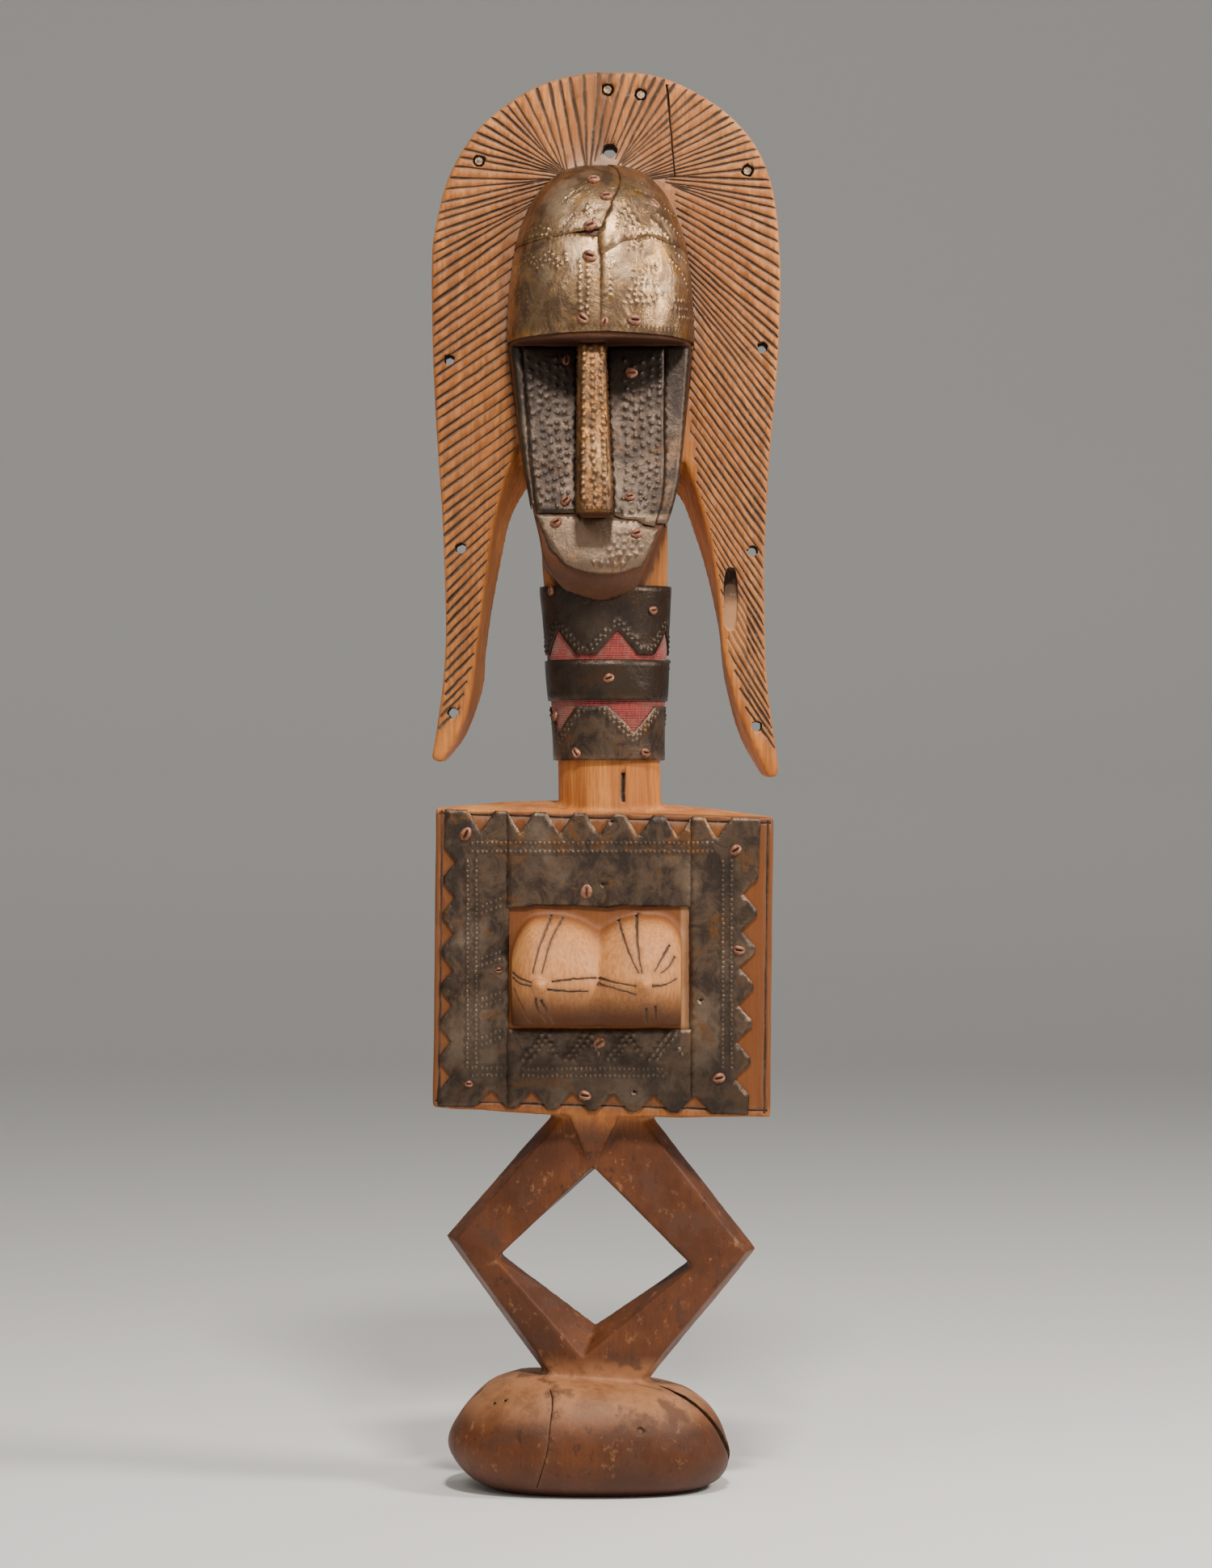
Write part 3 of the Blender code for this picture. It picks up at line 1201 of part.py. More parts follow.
def carved_figure(collection, finish):
    """Join the carved forms to the torso and cut the holes and the incised lines."""
    forms = new_collection("figure_forms", hidden=True)
    cuts = new_collection("figure_cuts", hidden=True)
    room = new_collection("collar_room", hidden=True)
    for make in (crest_plank, forehead, nose, neck, breasts, hip, legs, base):
        data = make()
        add_object(data.name, data, forms)
    jaw = add_object("face", face(), forms)
    add_object("collar_cut", collar_room(), room)
    combine(jaw, "DIFFERENCE", room)
    crest_grooves(cuts)
    crest_holes(cuts)
    crest_slot(cuts)
    cracks(cuts)
    foot_split(cuts)
    breast_lines(cuts)
    torso_border(cuts)
    figure = add_object("carved_figure", torso(), collection, finish)
    combine(figure, "UNION", forms)
    combine(figure, "DIFFERENCE", cuts)


def main():
    """Build the whole figure."""
    clear_scene()
    figure = new_collection("guardian_figure")
    wood = material("carved_wood", (0.33, 0.15, 0.06), 0.55)
    bronze = material("forehead_bronze", (0.30, 0.22, 0.13), 0.45, 1.0)
    brass = material("nose_brass", (0.42, 0.27, 0.12), 0.42, 1.0)
    dark = material("dark_copper", (0.13, 0.10, 0.08), 0.55, 1.0)
    copper = material("clip_copper", (0.45, 0.20, 0.13), 0.50, 1.0)
    red = material("red_cloth", (0.22, 0.03, 0.03), 0.90)
    pale = material("peg_wood", (0.50, 0.36, 0.24), 0.70)
    carved_figure(figure, wood)
    forehead_sheets(figure, bronze)
    face_sheets(figure, dark)
    nose_sheet(figure, brass)
    neck_wraps(figure, dark, red)
    torso_sheets(figure, dark)
    clips(figure, copper)
    pegs(figure, pale)


main()
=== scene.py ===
"""Looks of the carved guardian figure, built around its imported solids.

The wood is rebuilt finer from the same driving dimensions as the solids, fused, worn and
cut with the incised lines. The sheets are laid again with their punched dots and torn
edges, and the clips get their fold. Metres, Z up, the face looks along -Y.
"""

import math
import random

import bmesh
import bpy
import numpy as np
from mathutils import Matrix, Vector, noise
from mathutils.geometry import delaunay_2d_cdt
from mathutils.kdtree import KDTree


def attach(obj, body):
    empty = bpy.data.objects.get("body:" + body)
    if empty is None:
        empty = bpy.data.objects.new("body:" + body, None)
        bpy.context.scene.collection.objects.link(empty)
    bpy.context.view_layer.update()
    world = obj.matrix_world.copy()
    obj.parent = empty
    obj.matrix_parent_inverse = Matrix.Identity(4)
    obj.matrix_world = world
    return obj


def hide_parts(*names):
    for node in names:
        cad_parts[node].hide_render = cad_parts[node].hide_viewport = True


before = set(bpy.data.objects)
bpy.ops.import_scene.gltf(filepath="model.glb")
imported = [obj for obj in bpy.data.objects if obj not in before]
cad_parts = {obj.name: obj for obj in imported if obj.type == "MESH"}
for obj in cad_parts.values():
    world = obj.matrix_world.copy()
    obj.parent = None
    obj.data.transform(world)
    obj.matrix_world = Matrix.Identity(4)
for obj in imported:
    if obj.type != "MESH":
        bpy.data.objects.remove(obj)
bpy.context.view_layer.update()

# Heights from the ground up: they add up to the whole figure
BASE_HEIGHT = 0.0455
LEGS_HEIGHT = 0.1136
TORSO_HEIGHT = 0.1250
NECK_SHOWN = 0.0875
FACE_HEIGHT = 0.1087
FOREHEAD_HEIGHT = 0.0751
CREST_RISE = 0.0406

# Widths from left to right
BASE_WIDTH = 0.1190
LEGS_WIDTH = 0.1310
TORSO_WIDTH = 0.1409
NECK_WIDTH = 0.0440
HEAD_WIDTH = 0.0768
CREST_WIDTH = 0.1470
NOSE_WIDTH = 0.0122

# Depths from front to back
BASE_DEPTH = 0.0900
LEGS_DEPTH = 0.0340
TORSO_DEPTH = 0.0400
TORSO_EDGE = 0.0120
NECK_DEPTH = 0.0406
CREST_THICKNESS = 0.0180
FOREHEAD_DEPTH = 0.0390
BREAST_DEPTH = 0.0225
FACE_FLARE = 0.0030

CREST_LENGTH = 0.2973
CREST_FRONT = -0.0020
TORSO_FRONT = -0.0220
FOREHEAD_KEEL = 0.0015

# Exponents of the rounded forms: the forehead's climb, its taper and its shoulders seen from
# the front, its bulge, its roundness seen from above, and the squareness of the foot
DOME_CLIMB = 0.83
DOME_TAPER = 2.5
DOME_SHOULDER = 2.6
DOME_BULGE = 2.2
DOME_ROUND = 0.87
FOOT_SQUARE = 1.2
# Exponent of the torso's arched back, and the share by which the foot is lower at its right
TORSO_ARCH = 0.8
FOOT_TILT = 0.035
# Half width of the brow's keel as a share of the forehead's
KEEL_SIDE = 0.35
# Folds beside the ridge of the nose, back from it and across, in shares of its half width
NOSE_CHAMFER = 0.30
NOSE_FLAT = 0.72
# How high the neck runs behind the face, how far it then takes to fade, and its width there
NECK_RUN = 0.48
NECK_FADE = 0.28
NECK_NARROW = 0.7

# Carving
GROOVE_PITCH = 0.0047
GROOVE_WIDTH = 0.0013
GROOVE_DEPTH = 0.0009
GROOVE_SHIFT = 0.0005
GROOVE_OVERRUN = 0.0010
PROUD = 0.0004
HANGING_HOLE = 0.0060
RIM_HOLE = 0.0044
PEG_HOLE = 0.0054
SLOT_WIDTH = 0.0060
SLOT_HEIGHT = 0.0265
SLOT_DEPTH = 0.0070
CRACK_WIDTH = 0.0010
CRACK_DEPTH = 0.0030
WORN_WIDTH = 0.0022
WORN_DEPTH = 0.0026
SPLIT_WIDTH = 0.0020
SPLIT_DEPTH = 0.0110

# Metal, cloth and pins
SHEET = 0.0008
CLOTH = 0.0008
GAP = 0.0003
LAY = 0.0005
SEAM = 0.0004
CLIP_LENGTH = 0.0062
CLIP_WIDTH = 0.0048
CLIP_RISE = 0.0020
PEG_LENGTH = 0.0040
TOP_NOTCH = 0.0102
BOTTOM_NOTCH = 0.0109
WINDOW_WIDTH = 0.0751
WINDOW_HEIGHT = 0.0512
TOOTH = 0.0090
NAIL_HOLE = 0.0014
LEDGE_LEFT = 0.0012
LEDGE_RIGHT = 0.0034
BED = 0.0006
ROOT = 0.0040

Z_TORSO = BASE_HEIGHT + LEGS_HEIGHT
Z_NECK = Z_TORSO + TORSO_HEIGHT
Z_CHIN = Z_NECK + NECK_SHOWN
Z_BROW = Z_CHIN + FACE_HEIGHT
Z_DOME = Z_BROW + FOREHEAD_HEIGHT
Z_TOP = Z_DOME + CREST_RISE
HEAD_X = -0.0024
BREAST_X = -0.0029
NECK_X = 0.0017
BASE_Y = -0.0010
BREAST_TIPS = {-1: -0.33, 1: 0.0}
# Breasts: how full they stay where they join and at their outer edges, and what they lose
# there upwards and downwards
BREAST_JOIN = 0.70
BREAST_EDGE = 0.22
JOIN_LOSS_UP = 0.4
JOIN_LOSS_DOWN = 0.15
EDGE_LOSS_DOWN = 0.8
# Their top above the window's middle, how it falls outside and inside the middle of each,
# and how far they reach below the tips, in shares of the window's height
BREAST_TOP = 0.435
FALL_OUTSIDE = 0.36
FALL_INSIDE = 0.12
BREAST_FOOT = 0.36
# Their rounding: exponents above the tips and across, and the share lost below the tips
TOP_FALL = 1.6
TOP_ROUND = 0.65
BREAST_BULGE = 2.2
BREAST_ROUND = 0.70
UNDER_FALL = 0.62
WINDOW_Z = Z_TORSO + 0.481 * TORSO_HEIGHT
BREAST_TIP_Z = WINDOW_Z - 0.13 * WINDOW_HEIGHT
CREST_BACK = CREST_FRONT + CREST_THICKNESS
CREST_MIDDLE = CREST_FRONT + 0.35 * CREST_THICKNESS

# Crest outline as shares of its half width and of its length, from the left tip over the top
CREST_OUTER = [
    (-1.003, 0.026), (-0.968, 0.072), (-0.933, 0.139), (-0.920, 0.227), (-0.937, 0.365),
    (-0.964, 0.461), (-0.988, 0.564), (-1.000, 0.720), (-0.974, 0.786), (-0.886, 0.862),
    (-0.701, 0.928), (-0.420, 0.978), (-0.125, 0.999), (0.023, 1.000), (0.260, 0.997),
    (0.542, 0.969), (0.807, 0.914), (0.956, 0.837), (1.000, 0.720), (0.984, 0.587),
    (0.941, 0.461), (0.913, 0.338), (0.910, 0.216), (0.928, 0.130), (0.978, 0.037),
    (0.984, 0.005), (0.928, 0.000),
]
# Inner edges of the lappets from the jaw down, on the front and on the back of the plank
LEFT_FRONT = [
    (-0.464, 0.495), (-0.541, 0.452), (-0.594, 0.412), (-0.660, 0.338), (-0.710, 0.242),
    (-0.752, 0.154), (-0.796, 0.095), (-0.868, 0.052), (-0.944, 0.021),
]
LEFT_BACK = [
    (-0.394, 0.427), (-0.470, 0.405), (-0.553, 0.365), (-0.606, 0.306), (-0.654, 0.244),
    (-0.689, 0.183), (-0.710, 0.125), (-0.807, 0.060), (-0.928, 0.022),
]
RIGHT_FRONT = [
    (0.394, 0.495), (0.456, 0.449), (0.530, 0.397), (0.599, 0.332), (0.648, 0.246),
    (0.667, 0.185), (0.717, 0.130), (0.803, 0.068), (0.903, 0.016),
]
RIGHT_BACK = [
    (0.348, 0.415), (0.436, 0.395), (0.510, 0.344), (0.586, 0.283), (0.648, 0.216),
    (0.667, 0.169), (0.686, 0.135), (0.766, 0.062), (0.891, 0.006),
]

# Leading incised lines of the crest, outer end then inner end, in the same shares
LEFT_LINES = [
    ((-0.042, 1.001), (-0.090, 0.865)), ((-0.130, 0.998), (-0.111, 0.870)),
    ((-0.209, 0.994), (-0.116, 0.865)), ((-0.325, 0.984), (-0.227, 0.865)),
    ((-0.468, 0.969), (-0.260, 0.866)), ((-0.524, 0.961), (-0.274, 0.862)),
    ((-0.612, 0.948), (-0.274, 0.868)), ((-0.751, 0.914), (-0.288, 0.862)),
    ((-0.835, 0.880), (-0.279, 0.856)), ((-0.881, 0.851), (-0.316, 0.848)),
    ((-0.937, 0.815), (-0.362, 0.846)), ((-0.969, 0.788), (-0.376, 0.835)),
    ((-0.974, 0.775), (-0.390, 0.825)), ((-0.983, 0.730), (-0.464, 0.805)),
    ((-0.987, 0.693), (-0.505, 0.778)), ((-0.992, 0.657), (-0.536, 0.737)),
    ((-0.978, 0.506), (-0.530, 0.578)), ((-0.932, 0.390), (-0.545, 0.462)),
    ((-0.905, 0.250), (-0.640, 0.318)), ((-0.915, 0.120), (-0.765, 0.158)),
    ((-0.965, 0.055), (-0.865, 0.080)),
]
RIGHT_LINES = [
    ((0.023, 0.998), (-0.056, 0.884)), ((0.102, 1.000), (-0.014, 0.898)),
    ((0.237, 0.997), (0.070, 0.902)), ((0.329, 0.990), (0.079, 0.874)),
    ((0.468, 0.977), (0.116, 0.881)), ((0.603, 0.954), (0.107, 0.868)),
    ((0.710, 0.938), (0.172, 0.862)), ((0.789, 0.922), (0.199, 0.856)),
    ((0.858, 0.904), (0.227, 0.852)), ((0.895, 0.882), (0.227, 0.848)),
    ((0.932, 0.847), (0.385, 0.852)), ((0.955, 0.822), (0.399, 0.842)),
    ((0.979, 0.777), (0.410, 0.836)), ((0.984, 0.708), (0.440, 0.792)),
    ((0.978, 0.640), (0.480, 0.742)), ((0.955, 0.520), (0.500, 0.670)),
    ((0.930, 0.400), (0.490, 0.550)), ((0.905, 0.280), (0.545, 0.410)),
    ((0.900, 0.170), (0.640, 0.290)), ((0.935, 0.085), (0.700, 0.180)),
    ((0.968, 0.030), (0.830, 0.075)),
]
RIM_HOLES = [
    (-0.900, 0.593), (0.896, 0.610), (-0.831, 0.326),
    (0.840, 0.321), (-0.877, 0.092), (0.868, 0.073),
]
PEG_HOLES = [(0.009, 0.976), (0.200, 0.969), (-0.729, 0.875), (0.812, 0.861)]
HANGING_PLACE = (0.023, 0.889)
SLOT_PLACE = (0.715, 0.253)

# Face from the brow down, in shares of its height: middle, half width, depth and roundness
FACE_MIDDLE = [(0.0, 0.0), (0.25, 0.01), (0.58, 0.02), (0.74, -0.01), (0.85, -0.04), (1.0, 0.01)]
FACE_HALF = [
    (-0.05, 0.950), (0.034, 0.940), (0.249, 0.887), (0.465, 0.830), (0.575, 0.782), (0.655, 0.734),
    (0.742, 0.655), (0.849, 0.560), (0.929, 0.437), (0.972, 0.320), (0.994, 0.175), (1.0, 0.090),
]
FACE_DEPTH = [
    (-0.05, 0.100), (0.0, 0.108), (0.25, 0.153), (0.5, 0.225), (0.65, 0.279),
    (0.8, 0.324), (0.87, 0.333), (0.93, 0.306), (1.0, 0.234),
]
FACE_ROUND = [(0.0, 0.018), (0.45, 0.006), (0.8, -0.036), (1.0, -0.050)]
NOSE_END = 0.667
JAW_START = 0.62
NOSE_MIDDLE = [(0.0, -0.093), (1.0, -0.060)]
NOSE_HALF = [(0.0, 0.80), (1.0, 1.12)]
NOSE_DEPTH = [(0.0, 0.295), (1.0, 0.437)]

# Neck half width from the torso to the jaw, in shares of the shown height and of the width
NECK_SWELL = [
    (-0.1, 0.99), (0.0, 0.98), (0.40, 0.99), (0.62, 1.06), (0.90, 1.12), (1.17, 1.20), (1.60, 1.22),
]
# Foot from the ground up: height, then left and right reach in shares of the half width
BASE_PROFILE = [
    (0.00, -0.79, 0.655), (0.09, -0.946, 0.802), (0.286, -1.082, 0.877), (0.46, -1.118, 0.850),
    (0.68, -1.032, 0.775), (0.857, -0.906, 0.655), (0.967, -0.79, 0.50), (1.03, -0.63, 0.20),
]
# Lozenge corners, left, top, right and bottom, in shares of half the width and of the height
LEG_OUTER = [(-1.031, 0.527), (-0.011, 1.200), (0.968, 0.480), (-0.066, -0.245)]
LEG_HOLE_FRONT = [(-0.702, 0.455), (-0.089, 0.795), (0.557, 0.427), (-0.151, 0.086)]
LEG_HOLE_MIDDLE = [(-0.679, 0.462), (-0.052, 0.785), (0.534, 0.430), (-0.067, 0.198)]

TORSO_X = -0.0012
TORSO_LEAN = 0.0007
TORSO_SLOPE = 0.0020
TORSO_TOP_RISE = 0.0050
TORSO_SAG = 0.0018
BORDER = 0.0026
# How far the corners of the metal frame lie inside the torso front, sideways and in height
FRAME_INSET = {
    "top_left": (0.0037, 0.0006), "top_right": (0.0054, 0.0004),
    "bottom_left": (0.0021, 0.0004), "bottom_right": (0.0092, 0.0008),
}

# Seams of the forehead sheets as left-right angle and upward angle
FOREHEAD_SEAM = [(0.0, 0.02), (0.0, 0.20), (-0.015, 0.40), (-0.023, 0.53)]
CROWN_SEAM = [(0.0, 0.58), (0.07, 0.71), (0.128, 0.81), (0.244, 0.95), (0.317, 1.07), (0.45, 1.50)]
LEFT_CROSS_SEAM = [(-1.52, 0.48), (-0.99, 0.50), (-0.38, 0.54)]
FLAP_SEAM = [(0.005, 0.40), (0.224, 0.49), (0.406, 0.51), (0.527, 0.535), (1.0, 0.485), (1.52, 0.45)]

# Edges of the neck bands and of the cloth from the chin up, in shares of the shown neck
BAND_LEVELS = (0.1080, -0.2491, -0.4869, -0.7749)
CLOTH_LEVELS = (-0.0754, -0.6697)

# Clips: across and up in shares of the form they lie on, then their size
FOREHEAD_CLIPS = [
    (-0.070, 0.889, 0.9), (0.063, 0.788, 0.9), (-0.107, 0.617, 0.95), (-0.115, 0.447, 1.0),
    (-0.185, 0.107, 0.9), (0.044, 0.085, 0.7), (0.359, 0.099, 0.95), (0.573, 0.759, 0.8),
]
FACE_CLIPS = [
    (-0.365, -0.062, 0.75), (0.336, -0.112, 0.8), (-0.375, -0.612, 0.8), (0.320, -0.596, 0.75),
    (-0.479, -0.696, 0.85), (0.396, -0.739, 0.8),
]
NECK_CLIPS = [
    (-1.055, 0.062, 0.7), (0.914, -0.034, 0.75), (0.023, -0.360, 0.8),
    (-1.068, -0.538, 0.7), (-0.668, -0.715, 0.8), (0.745, -0.715, 0.75),
]
# On the torso the window ends at 1 and the torso at 2, from its middle outwards
TORSO_CLIPS = [
    (-1.58, 1.77, 1.0), (1.56, 1.60, 0.9), (-0.14, 1.16, 0.95), (-1.14, -0.04, 0.55),
    (1.60, 0.29, 0.85), (1.36, -1.59, 0.9), (-1.54, -1.66, 0.6), (-0.16, -1.80, 0.9),
    (0.00, -1.16, 0.9),
]
TORSO_NAIL_HOLES = [(0.14, 1.91), (0.04, 1.24), (0.39, -1.75), (1.14, -0.52)]

# Incised lines of the breasts, in shares of half the window from its middle
BREAST_LINES = [
    [(-0.53, 0.86), (-0.60, 0.59), (-0.67, 0.33), (-0.73, -0.06)],
    [(-0.40, 0.84), (-0.48, 0.62), (-0.55, 0.39), (-0.63, -0.06)],
    [(0.21, 0.84), (0.26, 0.56), (0.34, 0.23), (0.43, -0.06)],
    [(0.42, 0.86), (0.42, 0.52), (0.44, 0.20), (0.47, -0.06)],
    [(0.78, 0.39), (0.70, 0.20), (0.61, -0.03)], [(0.84, 0.20), (0.77, 0.04), (0.68, -0.06)],
    [(-0.52, -0.19), (-0.28, -0.15), (-0.03, -0.14)], [(-0.57, -0.32), (-0.32, -0.35), (-0.12, -0.35)],
    [(-0.01, -0.14), (0.19, -0.21), (0.41, -0.27)], [(-0.02, -0.23), (0.19, -0.31), (0.41, -0.40)],
    [(-0.96, -0.06), (-0.88, -0.14), (-0.74, -0.21)], [(-0.96, -0.14), (-0.88, -0.22), (-0.74, -0.27)],
    [(0.58, -0.27), (0.74, -0.24), (0.86, -0.15)], [(-0.70, -0.45), (-0.67, -0.65), (-0.57, -0.90)],
    [(-0.64, -0.48), (-0.57, -0.68), (-0.50, -0.90)], [(-0.94, -0.32), (-0.88, -0.52), (-0.77, -0.88)],
    [(0.52, -0.62), (0.53, -0.88)], [(0.62, -0.58), (0.63, -0.81)],
]

# Cracks: of the crest in its outline shares, of the foot in shares of half its width and height
CREST_CRACK = [(0.348, 0.983), (0.395, 0.852)]
FOOT_CRACK = [
    (-0.390, 0.96), (-0.373, 0.86), (-0.390, 0.66), (-0.407, 0.46), (-0.447, 0.26), (-0.481, 0.10),
]
# Slot worn in the neck: left-right share, depth share, and heights in shares of the shown neck
WORN_PLACE = (0.323, 0.94)
WORN_HEIGHTS = (0.19, 0.10, 0.05)
# Split of the foot: turn from the front in degrees and share of the height at both ends
SPLIT_ENDS = [(62, 0.97), (88, 0.20)]


def mesh_from(bm, name):
    """Turn a bmesh into a mesh with outward faces."""
    bmesh.ops.recalc_face_normals(bm, faces=bm.faces)
    data = bpy.data.meshes.new(name)
    bm.to_mesh(data)
    bm.free()
    return data


def smooth_path(points, parts):
    """Points of a smooth curve through the given ones, with so many parts to each span."""
    path = [Vector(point) for point in points]
    ends = [2 * path[0] - path[1]] + path + [2 * path[-1] - path[-2]]
    curve = []
    for before, start, end, after in zip(ends, ends[1:], ends[2:], ends[3:]):
        for step in range(parts):
            t = step / parts
            curve.append(0.5 * (
                2 * start + (end - before) * t
                + (2 * before - 5 * start + 4 * end - after) * t ** 2
                + (3 * start - before - 3 * end + after) * t ** 3))
    return curve + [path[-1]]


def along(keys, place):
    """Value at a place between keys of place and value, eased through each key."""
    if place <= keys[0][0]:
        return keys[0][1]
    if place >= keys[-1][0]:
        return keys[-1][1]
    index = next(i for i in range(1, len(keys)) if place <= keys[i][0])

    def slope(i):
        low, high = keys[max(i - 1, 0)], keys[min(i + 1, len(keys) - 1)]
        return (high[1] - low[1]) / (high[0] - low[0])

    (a, low), (b, high) = keys[index - 1], keys[index]
    span = b - a
    t = (place - a) / span
    return (
        (1 + 2 * t) * (1 - t) ** 2 * low + t * (1 - t) ** 2 * span * slope(index - 1)
        + t ** 2 * (3 - 2 * t) * high + t ** 2 * (t - 1) * span * slope(index))


def spread(low, high, count):
    """Evenly spaced values from low to high, both included."""
    return [low + (high - low) * step / (count - 1) for step in range(count)]


def loft(name, rings, closed=False):
    """Skin rings of equal count; the ends are capped unless the rings close on themselves."""
    bm = bmesh.new()
    loops = [[bm.verts.new(point) for point in ring] for ring in rings]
    pairs = list(zip(loops, loops[1:]))
    if closed:
        pairs.append((loops[-1], loops[0]))
    for near, far in pairs:
        for i in range(len(near)):
            j = (i + 1) % len(near)
            bm.faces.new((near[i], near[j], far[j], far[i]))
    if not closed:
        bm.faces.new(loops[0])
        bm.faces.new(loops[-1])
    bmesh.ops.triangulate(bm, faces=[face for face in bm.faces if len(face.verts) == 4])
    return mesh_from(bm, name)


def crest_point(share, y=CREST_FRONT):
    """Point of the crest plank from its outline shares."""
    return Vector((share[0] * CREST_WIDTH / 2, y, Z_TOP - CREST_LENGTH * (1 - share[1])))


def dome_half(rise):
    """Half width of the forehead at a share of its height."""
    return HEAD_WIDTH / 2 * max(1 - rise ** DOME_TAPER, 0.0) ** (1 / DOME_SHOULDER)


def dome_point(theta, phi, grow=0.0):
    """Point of the forehead: theta runs from left to right, phi from the brow to the top."""
    rise = max(math.sin(phi), 0.0) ** DOME_CLIMB
    wide = dome_half(rise) + grow
    deep = FOREHEAD_DEPTH * max(1 - rise ** DOME_BULGE, 0.0) ** (1 / DOME_BULGE) + grow
    side = abs(math.sin(theta)) ** DOME_ROUND
    front = max(math.cos(theta), 0.0) ** DOME_ROUND
    keel = FOREHEAD_KEEL * max(0.0, 1 - side / KEEL_SIDE) * (1 - rise)
    return Vector((
        HEAD_X + math.copysign(wide * side, theta),
        CREST_FRONT - deep * front - keel,
        Z_BROW + (FOREHEAD_HEIGHT + grow) * rise))


def dome_angles(x, z):
    """The two angles at which the forehead passes through a place seen from the front."""
    rise = min(max((z - Z_BROW) / FOREHEAD_HEIGHT, 0.0), 0.999)
    side = min(max((x - HEAD_X) / dome_half(rise), -1.0), 1.0)
    theta = math.copysign(math.asin(abs(side) ** (1 / DOME_ROUND)), side)
    return theta, math.asin(rise ** (1 / DOME_CLIMB))


def face_point(across, down, grow=0.0):
    """Point of the face: across runs from -1 to 1, down from 0 at the brow to 1 at the chin."""
    half = HEAD_WIDTH / 2
    depth = along(FACE_DEPTH, down) + along(FACE_ROUND, down) * across ** 2
    return Vector((
        HEAD_X + half * (along(FACE_MIDDLE, down) + along(FACE_HALF, down) * across),
        CREST_FRONT - depth * FACE_HEIGHT - grow,
        Z_BROW - down * FACE_HEIGHT))


def nose_corners(down, grow=0.0):
    """Left base, left front, right front and right base of the nose at a share of its length."""
    middle = HEAD_X + along(NOSE_MIDDLE, down) * HEAD_WIDTH / 2
    half = along(NOSE_HALF, down) * NOSE_WIDTH / 2 + grow
    front = CREST_FRONT - along(NOSE_DEPTH, down) * FACE_HEIGHT - grow
    root = face_point(0.0, down * NOSE_END).y
    z = Z_BROW - down * NOSE_END * FACE_HEIGHT
    return [
        Vector((middle - half, root, z)),
        Vector((middle - half, front + NOSE_CHAMFER * half, z)),
        Vector((middle - NOSE_FLAT * half, front, z)),
        Vector((middle + NOSE_FLAT * half, front, z)),
        Vector((middle + half, front + NOSE_CHAMFER * half, z)),
        Vector((middle + half, root, z)),
    ]


def neck_point(angle, z, grow=0.0):
    """Point of the neck: angle 0 faces the front and grows to the right."""
    up = (z - Z_NECK) / NECK_SHOWN
    swell = along(NECK_SWELL, up)
    return Vector((
        NECK_X * (1 - up) + (NECK_WIDTH / 2 * swell + grow) * math.sin(angle),
        -(NECK_DEPTH / 2 * swell + grow) * math.cos(angle),
        z))


def torso_corner(side, height):
    """Left or right end of the torso front at a share of its height, as x and z."""
    x = TORSO_X + TORSO_LEAN * (2 * height - 1) + side * TORSO_WIDTH / 2
    return x, Z_TORSO + TORSO_HEIGHT * height - side * TORSO_SLOPE


def frame_place(across, up):
    """Place on the torso front: 1 is an edge of the window and 2 the edge of the torso."""
    x = BREAST_X + min(max(across, -1.0), 1.0) * WINDOW_WIDTH / 2
    z = WINDOW_Z + min(max(up, -1.0), 1.0) * WINDOW_HEIGHT / 2
    side = math.copysign(1.0, across)
    edge = TORSO_X + side * TORSO_WIDTH / 2
    x += max(abs(across) - 1, 0.0) * (edge - BREAST_X - side * WINDOW_WIDTH / 2)
    side = math.copysign(1.0, up)
    edge = Z_TORSO + TORSO_HEIGHT * (up > 0)
    z += max(abs(up) - 1, 0.0) * (edge - WINDOW_Z - side * WINDOW_HEIGHT / 2)
    return x, z


def base_reach(up):
    """Left and right reach of the foot at a share of its height."""
    left = along([(row[0], row[1]) for row in BASE_PROFILE], up)
    right = along([(row[0], row[2]) for row in BASE_PROFILE], up)
    return left * BASE_WIDTH / 2, right * BASE_WIDTH / 2


def base_point(angle, up, grow=0.0):
    """Point of the foot: angle 0 faces the front and grows to the right."""
    left, right = base_reach(up)
    half = (right - left) / 2
    deep = BASE_DEPTH / BASE_WIDTH * half
    x = math.copysign(abs(math.sin(angle)) ** (1 / FOOT_SQUARE), math.sin(angle)) * (half + grow)
    y = -math.copysign(abs(math.cos(angle)) ** (1 / FOOT_SQUARE), math.cos(angle)) * (deep + grow)
    tilt = 1 - FOOT_TILT * max(up - 0.5, 0.0) * 2 * x / half
    return Vector(((left + right) / 2 + x, y + BASE_Y, BASE_HEIGHT * up * tilt))


def base_angle(x, up):
    """The angle at which the front of the foot passes through a left-right place."""
    left, right = base_reach(up)
    share = (x - (left + right) / 2) / ((right - left) / 2)
    return math.copysign(math.asin(min(abs(share), 1.0) ** FOOT_SQUARE), share)


def crest_plank():
    """The flat hood and its lappets, with inner sides that slant between front and back."""
    rings = []
    for right, left, y in (
            (RIGHT_FRONT, LEFT_FRONT, CREST_FRONT), (RIGHT_BACK, LEFT_BACK, CREST_BACK)):
        outline = smooth_path(CREST_OUTER, 8)
        outline += smooth_path(right[::-1], 5) + smooth_path(left, 5)
        rings.append([crest_point(share, y) for share in outline])
    return loft("crest_plank", rings)


def forehead():
    """The domed brow, flat below and sunk into the plank behind."""
    rings = []
    for phi in spread(0.0, math.radians(88), 33):
        front = [dome_point(theta, phi) for theta in spread(-math.pi / 2, math.pi / 2, 57)]
        ends = [Vector((front[i].x, CREST_MIDDLE, front[i].z)) for i in (-1, 0)]
        rings.append(front + ends)
    return loft("forehead", rings)


